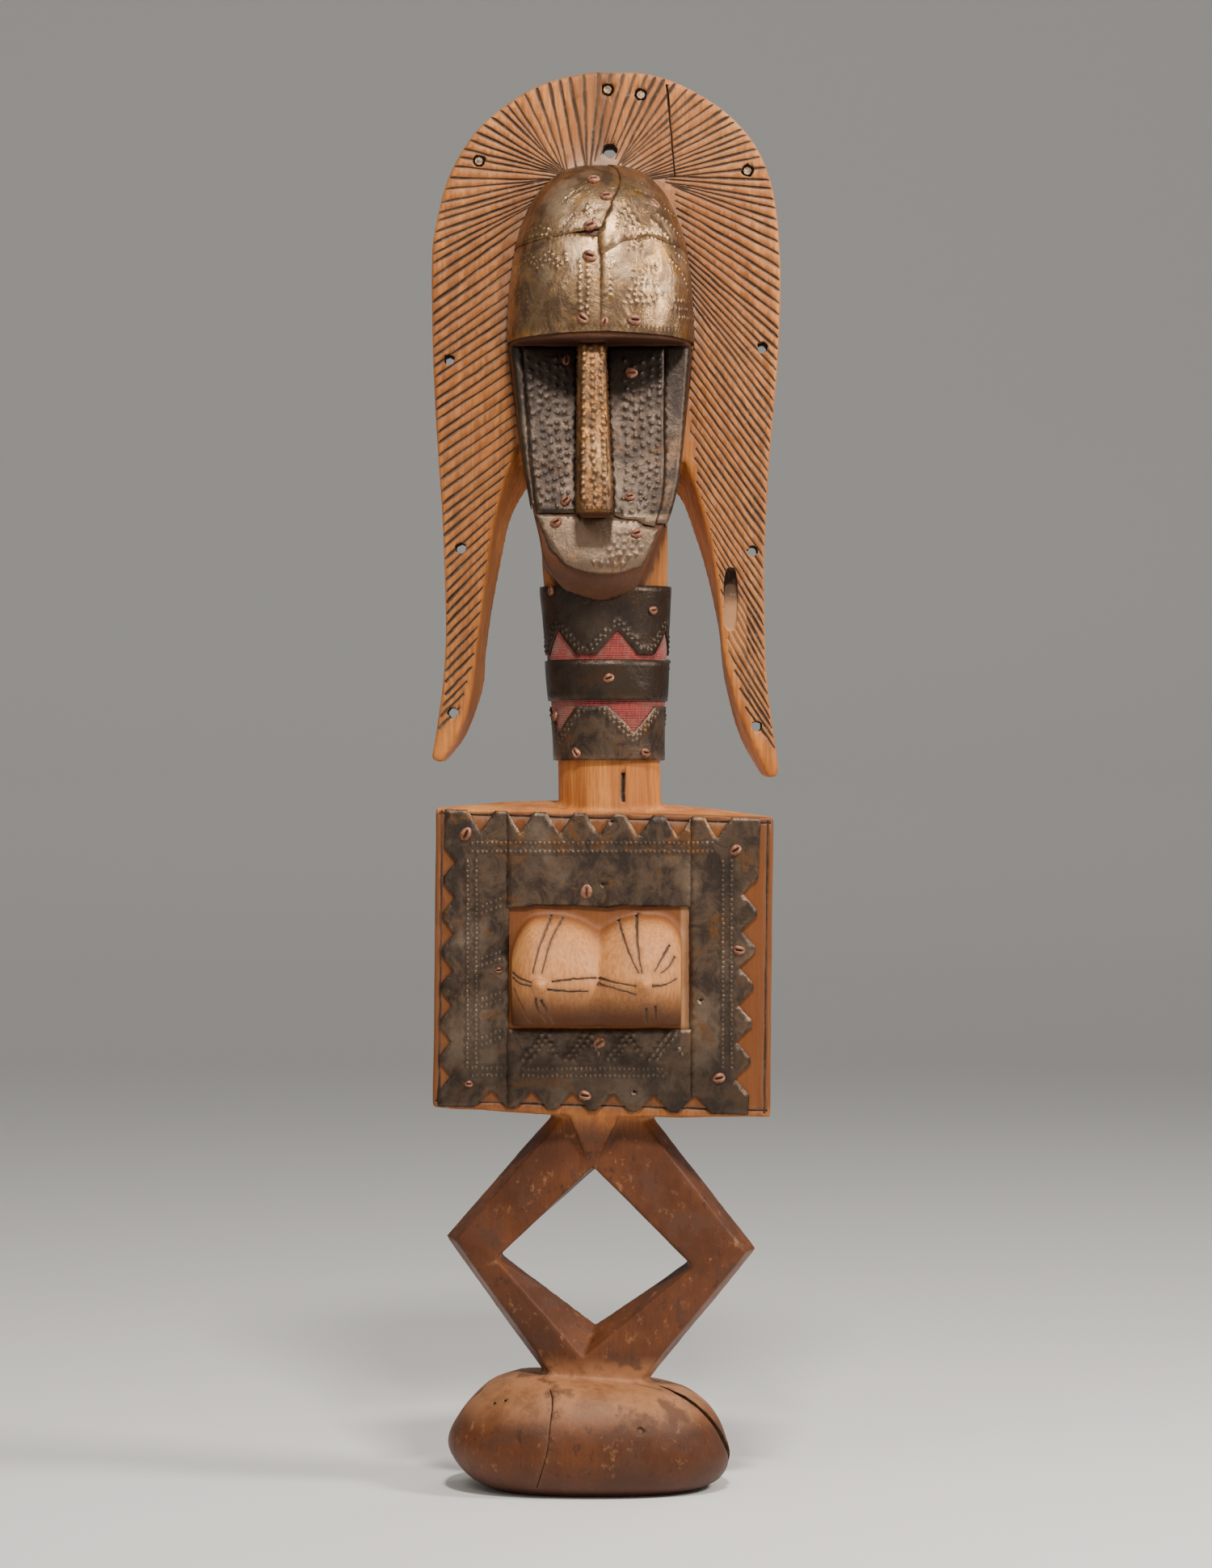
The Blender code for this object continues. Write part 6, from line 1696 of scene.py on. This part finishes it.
def beaten_sheet(name, outline, place, dots, finish, ragged=0.0001, step=SHEET_STEP,
                 thickness=SHEET_SHOWN, dent=DENT, over=0.0, seed=1, holes=()):
    """Lay a punched sheet on a form: place(u, v, lift) is a point of the form's surface."""
    chance = random.Random(seed)
    border = ragged_border(outline, place, BORDER_STEP * step, ragged, chance)
    rim = nearest_of([place(*point, 0.0) for point in border])
    punched, kept = punched_corners(dots, border, place, rim, holes, chance)
    round_holes, pins = hole_corners(holes, border, place)
    corners = [(point, 0.0, 0.0) for point in border] + punched + round_holes
    corners += grid_corners(border, place, step, rim, kept, pins)
    edges = [(i, (i + 1) % len(border)) for i in range(len(border))]
    flat, _, faces, origins, *_ = delaunay_2d_cdt(
        [Vector(point) for point, _, _ in corners], edges, [], 1, 1e-9)
    bm = bmesh.new()
    layer = bm.verts.layers.float.new("punched")
    verts = []
    for point, origin in zip(flat, origins):
        _, lift, mark = corners[origin[0]] if origin else (point, 0.0, 0.0)
        here = place(*point, 0.0)
        wave = noise.noise(here * DENT_SCALE + Vector((seed * SEED_SHIFT, 0.0, 0.0)))
        vert = bm.verts.new(place(*point, over + lift + dent * (0.5 + wave)))
        vert[layer] = mark
        verts.append(vert)
    for corner in faces:
        middle = sum((place(*flat[i], 0.0) for i in corner), Vector()) / len(corner)
        if all((middle - pin).length > 0.96 * r for pin, r in pins):
            face = bm.faces.new([verts[i] for i in corner])
            face.smooth = True
    data = bpy.data.meshes.new(name)
    bm.to_mesh(data)
    bm.free()
    made = helper(name, data)
    data.materials.append(finish)
    shell = made.modifiers.new("thickness", "SOLIDIFY")
    shell.thickness = thickness
    shell.offset = 1.0
    shell.use_rim_only = False
    settle(made)
    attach(made, "root")
    return made


def dotted(path, pitch, place, chance, jitter=0.12, radius=DOT_RADIUS, rise=DOT_RISE):
    """Dots along a line of surface coordinates, a pitch apart on the surface."""
    dots = []
    spare = 0.0
    for start, end in zip(path, path[1:]):
        start, end = Vector(start), Vector(end)
        length = (place(*start, 0.0) - place(*end, 0.0)).length
        if length < 1e-6:
            continue
        at = spare
        while at < length:
            u, v = start.lerp(end, at / length)
            across, up = stretch(place, u, v)
            size = chance.uniform(*UNEVEN)
            dots.append((
                u + chance.uniform(-jitter, jitter) * pitch / across,
                v + chance.uniform(-jitter, jitter) * pitch / up,
                radius * size, rise * size * chance.uniform(0.6, 1.1)))
            at += pitch
        spare = at - length
    return dots


def lay_forehead(u, v, lift):
    """Place on the forehead."""
    return dome_point(u, v, SHEET_LIFT + lift)


def forehead_dots(rows, pitch, radius, rise, chance):
    """Dots along rows that are given as seen from the front."""
    dots = []
    for row in rows:
        path = []
        for x, z in row:
            deep = CREST_FRONT - 0.7 * FOREHEAD_DEPTH
            for _ in range(3):
                place = seen(x / 1000, z / 1000, deep)
                theta, phi = dome_angles(*place)
                deep = dome_point(theta, phi).y
            path.append((theta, phi))
        dots += dotted(path, pitch, lay_forehead, chance, 0.14, radius, rise)
    return dots


def forehead_pieces(finish):
    """The four forehead sheets, lapped at their seams, with their rows of dots."""
    chance = random.Random(31)
    edge, top = math.pi / 2 - 0.002, CROWN_SEAM[-1][1]
    low = FOREHEAD_SEAM[0][1] - 0.018
    lap = OVERLAP / (HEAD_WIDTH / 2)
    dots = forehead_dots(FOREHEAD_ROWS, FOREHEAD_PITCH, DOT_RADIUS, DOT_RISE, chance)
    dots += forehead_dots(FOREHEAD_DENTS, DENT_PITCH, DENT_RADIUS, DENT_RISE, chance)
    pieces = {
        "forehead_sheet_lower_left": (0.0, (
            [(-edge, low)] + [(x + lap, y) for x, y in FOREHEAD_SEAM]
            + [(x, y + lap) for x, y in LEFT_CROSS_SEAM[::-1]])),
        "forehead_sheet_upper_left": (OVER, (
            LEFT_CROSS_SEAM + [(x + lap, y) for x, y in CROWN_SEAM] + [(-edge, top)])),
        "forehead_sheet_lower_right": (OVER, (
            FOREHEAD_SEAM[1::-1] + [(edge, low)] + [(x, y + lap) for x, y in FLAP_SEAM[::-1]])),
        "forehead_sheet_upper_right": (2 * OVER, (
            FLAP_SEAM + [(edge, top)] + CROWN_SEAM[::-1] + [FOREHEAD_SEAM[-1]])),
    }
    for name, (over, outline) in pieces.items():
        made = beaten_sheet(
            f"beaten_{name}", outline, lay_forehead, dots, finish, step=0.0019, over=over, seed=4)
        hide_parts(name)


FACE_SCALE = FACE_HEIGHT / (HEAD_WIDTH / 2)


def lay_face(u, v, lift):
    """Place on the face, with v counted upwards in half widths of the head."""
    return face_point(u, -v / FACE_SCALE, SHEET_LIFT + lift)


def lay_side(u, v, lift):
    """Place on the face; beyond its edge the sheet bends back along the side to the crest."""
    down = -v / FACE_SCALE
    side = math.copysign(1.0, u)
    past = abs(u) - 1
    if past <= 0:
        return lay_face(u, v, lift)
    edge = face_point(side, down)
    back = past * HEAD_WIDTH / 2
    flare = FACE_FLARE * max(1 - down / JAW_START, 0.0) * back / (CREST_MIDDLE - edge.y)
    turn = min(past / FOLD, 1.0) * math.pi / 2
    normal = Vector((side * math.sin(turn), -math.cos(turn), 0.0))
    return edge + Vector((side * flare, back, 0.0)) + normal * (SHEET_LIFT + lift)


def side_reach(side, down):
    """How far across the sheet runs until it meets the crest."""
    return side * (1 + (CREST_FRONT - SHEET_LIFT - face_point(side, down).y) / (HEAD_WIDTH / 2))


def face_pieces(finish):
    """The sheets of the cheeks, the strips at their edges and the chin."""
    chance = random.Random(41)
    cheek_end = NOSE_END - 0.006

    def beside_nose(side, down):
        middle = face_point(0.0, down).x
        half = face_point(1.0, down).x - middle
        index = 0 if side < 0 else -1
        edge = nose_corners(down / NOSE_END, GAP + SHEET_SHOWN)[index].x
        return (edge - middle) / half

    left_inner = [(beside_nose(-1, s) - 0.005, s) for s in spread(0.010, cheek_end, 6)]
    right_inner = [(beside_nose(1, s) + 0.005, s) for s in spread(0.010, cheek_end, 6)]
    pieces = {
        "cheek_sheet_left": (
            [(-0.90, 0.010)] + left_inner + [(-0.96, cheek_end), (-0.90, 0.30)]),
        "cheek_sheet_right": (
            [(0.735, 0.010)] + right_inner
            + [(0.20, cheek_end + 0.010), (0.35, NOSE_END + 0.017), (0.55, NOSE_END + 0.020),
               (0.66, NOSE_END + 0.036), (0.86, NOSE_END + 0.044), (0.775, 0.35)]),
        "cheek_strip_left": (
            [(-0.905, 0.010), (-0.905, 0.30), (-0.962, 0.63)]
            + [(side_reach(-1, s), s) for s in spread(0.63, 0.010, 8)]),
        "cheek_strip_right": (
            [(0.742, 0.010)] + [(side_reach(1, s), s) for s in spread(0.010, 0.70, 8)]
            + [(0.870, 0.70), (0.782, 0.35)]),
        "chin_sheet": [(-0.975, 0.664), (0.10, 0.678), (0.36, 0.688), (0.56, 0.691), (0.68, 0.712),
                       (0.93, 0.722), (0.94, 0.800), (0.88, 0.862), (0.66, 0.880), (0.43, 0.894),
                       (0.13, 0.896), (-0.17, 0.890), (-0.42, 0.876), (-0.59, 0.858), (-0.85, 0.790)],
    }
    dots = []
    columns = [(u, 0.02, 0.0039) for u in (-0.84, -0.74, -0.64, -0.54, -0.44)]
    columns += [(u, 0.045, 0.0040) for u in (0.28, 0.385, 0.49, 0.595)]
    columns.append((0.700, 0.050, 0.0031))
    for u, lean, pitch in columns:
        path = [
            (u, -chance.uniform(0.055, 0.090) * FACE_SCALE),
            (u + lean * math.copysign(1, u), -0.66 * FACE_SCALE)]
        dots += dotted(path, pitch, lay_face, chance, 0.20, CHEEK_DOT, CHEEK_RISE)
    chin = []
    for depth, low, high in (
            (0.745, 0.30, 0.62), (0.775, 0.30, 0.80), (0.805, 0.20, 0.84), (0.830, 0.30, 0.80)):
        path = [(low, -depth * FACE_SCALE), (high, -(depth - 0.02) * FACE_SCALE)]
        chin += dotted(path, CHIN_PITCH, lay_face, chance, 0.25, CHEEK_DOT, CHIN_RISE)
    chin += dotted(
        [(-0.05, -0.855 * FACE_SCALE), (0.45, -0.858 * FACE_SCALE), (0.80, -0.815 * FACE_SCALE)],
        0.0030, lay_face, chance, 0.2)
    seeds = {name: index + 11 for index, name in enumerate(pieces)}
    for name, outline in pieces.items():
        turned = [(x, -y * FACE_SCALE) for x, y in outline]
        marks = {"chin_sheet": chin, "cheek_strip_left": [], "cheek_strip_right": []}.get(name, dots)
        made = beaten_sheet(
            f"beaten_{name}", turned, lay_side, marks, finish, step=0.0021,
            ragged=0.0002 if name == "chin_sheet" else 0.0001, seed=seeds[name])
        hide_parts(name)


def nose_piece(finish):
    """The brass sheet over the nose, in three flats with rounded folds and rows of dots."""
    chance = random.Random(51)
    folds = [0.0, 0.22, 0.32, 0.40, 0.60, 0.68, 0.78, 1.0]

    def ring(down):
        corners = nose_corners(min(max(down, 0.0), 1.0), 0.0)
        for corner in corners:
            corner.z = Z_BROW - down * NOSE_END * FACE_HEIGHT
        corners[0].y -= SHEET_SHOWN + 2 * SHEET_LIFT
        corners[-1].y -= SHEET_SHOWN + 2 * SHEET_LIFT
        return corners

    def lay_nose(u, v, lift):
        corners = ring(-v)
        stops = [0.0, 0.30, 0.38, 0.62, 0.70, 1.0]
        index = max(i for i in range(5) if u >= stops[i] or i == 0)
        share = (u - stops[index]) / (stops[index + 1] - stops[index])
        point = corners[index].lerp(corners[index + 1], share)
        turn = (0.5 - u) / 0.5
        bend = math.copysign(min(abs(turn) / 0.42, 1.0) ** 3, turn)
        normal = Vector((-math.sin(bend * 1.45), -math.cos(bend * 1.45), 0.0))
        return point + normal * (SHEET_LIFT + lift)

    dots = []
    for u in (0.08, 0.18, 0.275, 0.385, 0.50, 0.615, 0.725, 0.82, 0.92):
        dots += dotted(
            [(u, -chance.uniform(0.03, 0.06)), (u, -0.97)], NOSE_PITCH, lay_nose, chance, 0.16,
            NOSE_DOT, NOSE_RISE)
    outline = [(u, -1.0) for u in folds] + [(u, -0.018) for u in folds[::-1]]
    made = beaten_sheet("beaten_nose_sheet", outline, lay_nose, dots, finish, step=0.0017, seed=19)
    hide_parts("nose_sheet")


def neck_pieces(metal, cloth):
    """The cloth and the three bands, each wound nearly all the way round the neck."""
    chance = random.Random(61)
    radius = NECK_WIDTH / 2
    end = math.radians(178)
    over = SHEET_LIFT + CLOTH + SHEET_LIFT

    def on_neck(grow):
        def lay(u, v, lift):
            return neck_point(u / radius, v, grow + lift)
        return lay

    def strip(name, top, bottom, notches, grow, thickness, finish, slot, dots, proud=0.0, **kinds):
        upper = [(-end, top), (end, top)]
        lower = [(end, bottom), (-end, bottom)]
        for angle, half, height, edge in sorted(notches):
            if edge == "upper":
                upper[-1:-1] = [(angle - half, top), (angle, top - height), (angle + half, top)]
            else:
                lower[1:1] = [
                    (angle + half, bottom), (angle, bottom + height), (angle - half, bottom)]
        outline = [(angle * radius, z) for angle, z in lower[::-1] + upper[::-1]]
        made = beaten_sheet(
            f"wound_{name}", outline, on_neck(grow + proud), dots, finish, thickness=thickness, **kinds)
        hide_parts(name)

    def rows(paths):
        dots = []
        for path in paths:
            path = [(math.radians(angle) * radius, z) for angle, z in path]
            dots.extend(dotted(path, NECK_PITCH, on_neck(over), chance, 0.10, rise=NECK_RISE))
        return dots

    def rounds(*levels):
        return [[(-ROUND_END, z), (ROUND_END, z)] for z in levels]

    def beside_notches(apexes, half, foot, tip, climb):
        return [
            [(a - half - away, foot), (a, tip + climb * away), (a + half + away, foot)]
            for a in apexes for away in (4, 8.5)]

    z_top, z_upper, z_lower, z_bottom = (Z_CHIN + level * NECK_SHOWN for level in BAND_LEVELS)
    cloth_top, cloth_bottom = (Z_CHIN + level * NECK_SHOWN for level in CLOTH_LEVELS)
    strip("neck_cloth", cloth_top, cloth_bottom, [], SHEET_LIFT, CLOTH, cloth, "red_cloth", [],
          ragged=0.0004, dent=0.0004, seed=70)
    apexes, half = (-110, -50, 10, 70, 130), 20
    notches = [(math.radians(a), math.radians(half), TOP_NOTCH, "lower") for a in apexes]
    paths = beside_notches(apexes, half, z_upper + 0.002, z_upper + 0.0112, 0.00045)
    paths += rounds(z_top - 0.0035, z_top - 0.0062)
    strip("neck_band_top", z_top, z_upper + SEAM, notches, over, SHEET_SHOWN, metal, "dark_copper",
          rows(paths), seed=71)
    paths = rounds(z_upper - 0.0024, z_upper - 0.0049, z_lower + 0.0049, z_lower + 0.0024)
    strip("neck_band_middle", z_upper, z_lower, [], over, SHEET_SHOWN, metal, "dark_copper",
          rows(paths), proud=0.0005, seed=72)
    apexes, half = (-147, -60, 27, 114), 27
    notches = [(math.radians(a), math.radians(half), BOTTOM_NOTCH, "upper") for a in apexes]
    paths = beside_notches(apexes, half, z_lower - 0.002, z_lower - 0.0118, -0.00045)
    paths += rounds(z_bottom + 0.0060, z_bottom + 0.0033)
    strip("neck_band_bottom", z_lower - SEAM, z_bottom, notches, over, SHEET_SHOWN, metal,
          "dark_copper", rows(paths), seed=73)


def lay_torso(u, v, lift):
    """Place on the torso front."""
    return Vector((u, TORSO_FRONT - SHEET_LIFT - lift, v))


def torso_pieces(finish):
    """The toothed frame round the breasts with its rows of dots."""
    chance = random.Random(81)
    corners = {}
    for side, across in (("left", -1), ("right", 1)):
        for level, height in (("bottom", 0), ("top", 1)):
            x, z = torso_corner(across, height)
            inset, drop = FRAME_INSET[f"{level}_{side}"]
            corners[f"{level}_{side}"] = (x - across * inset, z - (2 * height - 1) * drop)
    top = toothed(corners["top_left"], corners["top_right"], 0.115, 0.864, 7, TOOTH, 0.30)
    right = toothed(
        corners["top_right"], corners["bottom_right"], 0.256, 0.880, 6, 0.70 * TOOTH, 0.15)
    bottom = toothed(
        corners["bottom_right"], corners["bottom_left"], 0.174, 0.829, 6, 0.85 * TOOTH, 0.18)
    left = toothed(
        corners["bottom_left"], corners["top_left"], 0.100, 0.823, 7, 0.55 * TOOTH, 0.18)
    bottom.reverse()
    far = TORSO_WIDTH
    window_left = BREAST_X - WINDOW_WIDTH / 2
    window_right = BREAST_X + WINDOW_WIDTH / 2
    window_top = WINDOW_Z + WINDOW_HEIGHT / 2
    window_bottom = WINDOW_Z - WINDOW_HEIGHT / 2
    lap = OVERLAP
    ragged_top = [
        (window_right + lap - share * (WINDOW_WIDTH + 2 * lap),
         window_top + chance.uniform(-0.0008, 0.0008)) for share in spread(0.0, 1.0, 12)]
    pieces = {
        "torso_sheet_left": (
            between(bottom, -far, window_left) + between(top, -far, window_left)[::-1]
            + left[1:-1][::-1]),
        "torso_sheet_right": (
            between(bottom, window_right, far) + right[1:-1][::-1]
            + between(top, window_right, far)[::-1]),
        "torso_sheet_top": (
            ragged_top[::-1] + between(top, window_left - lap, window_right + lap)[::-1]),
        "torso_sheet_bottom": (
            between(bottom, window_left - lap, window_right + lap)
            + [(window_right + lap, window_bottom), (window_left - lap, window_bottom)]),
    }
    middle = TORSO_X
    left_x, right_x = middle - 0.0545, middle + 0.0500
    high_z, low_z = Z_TORSO + 0.1105, Z_TORSO + 0.0140
    runs = [[(left_x, z), (middle + 0.046, z)] for z in (high_z + 0.0018, high_z - 0.0018)]
    for x in (right_x, right_x + 0.0036, left_x - 0.002, left_x + 0.0016):
        runs.append([(x, high_z - 0.006), (x, low_z + 0.004)])
    for first, last, levels in (
            (left_x, left_x + 0.012, (0.0012, 0.0042)),
            (window_left + 0.006, window_right - 0.010, (0.0010, 0.0040))):
        runs += [[(first, low_z + level), (last, low_z + level)] for level in levels]
    for level in (0.083, 0.061, 0.044, 0.028):
        for first, last in ((0.0, 0.003), (0.003, 0.006)):
            runs.append([
                (left_x + 0.004, Z_TORSO + level + first),
                (window_left - 0.003, Z_TORSO + level + last)])
    dots = []
    for run in runs:
        dots += dotted(run, FINE_PITCH, lay_torso, chance, 0.10, FINE_DOT, FINE_RISE)
    bold = []
    zig = window_left + 0.006
    while zig < window_right - 0.014:
        for away in (0.0, 0.0030):
            bold.append([(zig + away, low_z + 0.0080), (zig + 0.0085 + away, low_z + 0.0190)])
        bold.append([(zig + 0.0085, low_z + 0.0190), (zig + 0.0150, low_z + 0.0080)])
        zig += 0.0175
    for run in bold:
        dots += dotted(run, BOLD_PITCH, lay_torso, chance, 0.10, BOLD_DOT, BOLD_RISE)
    nails = [(*frame_place(*place), NAIL_HOLE / 2) for place in TORSO_NAIL_HOLES]
    for name, outline in pieces.items():
        over = OVER if name in ("torso_sheet_top", "torso_sheet_bottom") else 0.0
        made = beaten_sheet(
            f"beaten_{name}", outline, lay_torso, dots, finish, ragged=0.00015, over=over, seed=91,
            holes=nails)
        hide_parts(name)


# Clips and pegs
def bean(name, share, flat, chance):
    """A folded tab: an oval bulge parted by a slit, lower and flatter where it was hammered."""
    bm = bmesh.new()
    layer = bm.verts.layers.float.new("fold")
    tall, long, wide, slit = CLIP_FORMS[flat]
    rise = share * CLIP_RISE * tall
    long_half = share * CLIP_LENGTH / 2 * long
    wide_half = share * CLIP_WIDTH / 2 * wide
    lean = chance.uniform(-0.25, 0.25)
    rings = []
    for out in CLIP_RINGS:
        ring = []
        for index in range(CLIP_SIDES):
            turn = math.tau * index / CLIP_SIDES
            wobble = 1 + 0.05 * math.sin(3 * turn + lean * 9)
            x = out * long_half * math.cos(turn) * wobble
            y = out * wide_half * math.sin(turn) * wobble
            bulge = (1 - out ** 2.6) ** 0.55 if out < 1 else 0.0
            across = y / wide_half - lean * x / long_half
            part = math.exp(-(across / slit) ** 2) * min(1.0, 1.25 * (1 - abs(x) / long_half) + 0.2)
            height = rise * bulge * (1 - 0.80 * part)
            vert = bm.verts.new((x, y, height))
            vert[layer] = part * (out < 0.95)
            ring.append(vert)
        rings.append(ring)
    foot = [bm.verts.new((vert.co.x, vert.co.y, -0.0004)) for vert in rings[0]]
    crown = bm.verts.new((0.0, 0.0, rise * 0.20))
    crown[layer] = 1.0
    for outer, inner in zip([foot] + rings[:-1], rings):
        for i in range(CLIP_SIDES):
            j = (i + 1) % CLIP_SIDES
            bm.faces.new((outer[i], outer[j], inner[j], inner[i]))
    for i in range(CLIP_SIDES):
        bm.faces.new((rings[-1][i], rings[-1][(i + 1) % CLIP_SIDES], crown))
    bm.faces.new(foot[::-1])
    for face in bm.faces:
        face.smooth = True
    return mesh_from(bm, name)


def clip_pieces(finish):
    """The clips, each turned as it lies on the sheets."""
    chance = random.Random(5)
    sunk = (LAY + SHEET) - (SHEET_LIFT + SHEET_SHOWN + 0.5 * DENT + 0.5 * OVER)
    for name, share, point, normal in clip_places():
        group, _, number = name.split("_")
        data = bean(f"folded_{name}", share, name in FLAT_CLIPS, chance)
        data.materials.append(finish)
        made = helper(f"folded_{name}", data)
        side = Vector((0.0, 0.0, 1.0)).cross(normal).normalized()
        up = normal.cross(side).normalized()
        turn = Matrix((side, up, normal)).transposed().to_4x4()
        spin = Matrix.Rotation(math.radians(CLIP_TURNS[group][int(number) - 1]), 4, "Z")
        made.matrix_world = Matrix.Translation(point - normal * (sunk + GAP)) @ turn @ spin
        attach(made, "root")
        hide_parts(name)


def finish_pegs():
    """Give the broken pegs of the solids a rough light end grain."""
    made, tree, shader = new_material("peg_wood")
    fibres = grain(tree, (900.0, 900.0, 900.0), 4.0, 0.7)
    colour = mixed(tree, ranged(tree, fibres, 0.38, 0.66), PEG_DARK, PEG_PALE)
    finished(tree, shader, colour, 0.8, (fibres, 0.0004))
    for name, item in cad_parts.items():
        if name.startswith("crest_peg"):
            item.data.materials.clear()
            item.data.materials.append(made)


# Studio
def studio():
    """Pale floor and backdrop, soft lights and the camera of the photograph."""
    bm = bmesh.new()
    rings = []
    for y, z in BACKDROP:
        rings.append([bm.verts.new((x, y, z)) for x in (-BACKDROP_HALF, BACKDROP_HALF)])
    for near, far in zip(rings, rings[1:]):
        face = bm.faces.new((near[0], near[1], far[1], far[0]))
        face.smooth = True
    data = bpy.data.meshes.new("backdrop")
    bm.to_mesh(data)
    bm.free()
    floor = helper("backdrop", data)
    made, _, shader = new_material("pale_floor")
    shader.inputs["Base Color"].default_value = FLOOR_PALE
    shader.inputs["Roughness"].default_value = 0.9
    data.materials.append(made)
    for name, place, aim, size, power, tint in LAMPS:
        light = bpy.data.lights.new(name, "AREA")
        light.size = size
        light.energy = power
        light.color = tint
        lamp = helper(name, light)
        lamp.location = place
        lamp.rotation_euler = (Vector(aim) - Vector(place)).to_track_quat("-Z", "Y").to_euler()
    world = bpy.data.worlds.new("studio")
    world.use_nodes = True
    world.node_tree.nodes["Background"].inputs["Color"].default_value = (1.0, 0.98, 0.95, 1.0)
    world.node_tree.nodes["Background"].inputs["Strength"].default_value = 0.30
    bpy.context.scene.world = world
    view = bpy.data.cameras.new("camera")
    view.sensor_width = SENSOR
    view.lens = SENSOR * CAMERA_DISTANCE / SEEN_HEIGHT
    camera = helper("camera", view)
    camera.location = (0.0, -CAMERA_DISTANCE, CAMERA_HEIGHT)
    camera.rotation_euler = (math.pi / 2, 0.0, 0.0)
    bpy.context.scene.camera = camera


def main():
    bronze = metal_material(
        "forehead_bronze", bright=(0.62, 0.43, 0.27), brown=(0.30, 0.178, 0.088),
        dark=(0.12, 0.074, 0.043), ochre=(0.37, 0.185, 0.045), rough=0.28, shine=0.86)
    # Sooted and shaded is soot with painted shade: on the neck bands under the chin, low on the torso,
    # over the cheeks and as the brow's shadow below it
    sooted_and_shaded, rubbed = (0.026, 0.018, 0.014), (0.34, 0.225, 0.145)
    dark = metal_material(
        "dark_copper", bright=(0.24, 0.168, 0.115), brown=(0.125, 0.079, 0.051),
        dark=(0.040, 0.028, 0.022), ochre=(0.17, 0.075, 0.024), rough=0.38, ringed_by=0.45,
        belts=[
            (Z_CHIN - 0.0420, Z_CHIN + 0.0102, 0.0006, 0.72, sooted_and_shaded),
            (Z_TORSO - 0.020, Z_TORSO + 0.028, 0.014, 0.50, sooted_and_shaded),
            (Z_CHIN + 0.0110, Z_CHIN + 0.0365, 0.0006, 0.36, rubbed),
            (Z_CHIN + 0.0370, Z_BROW + 0.0100, 0.0020, 0.55, sooted_and_shaded),
            (Z_BROW - 0.0260, Z_BROW + 0.0100, 0.0140, 0.70, sooted_and_shaded)])
    brass = metal_material(
        "nose_brass", bright=(0.36, 0.205, 0.090), brown=(0.22, 0.098, 0.031),
        dark=(0.070, 0.035, 0.017), ochre=(0.30, 0.135, 0.028), rough=0.33, ringed_by=0.80)
    wood_piece(wood_material(), incised_material())
    forehead_pieces(bronze)
    face_pieces(dark)
    nose_piece(brass)
    neck_pieces(dark, cloth_material())
    torso_pieces(dark)
    clip_pieces(clip_material())
    finish_pegs()
    studio()


main()
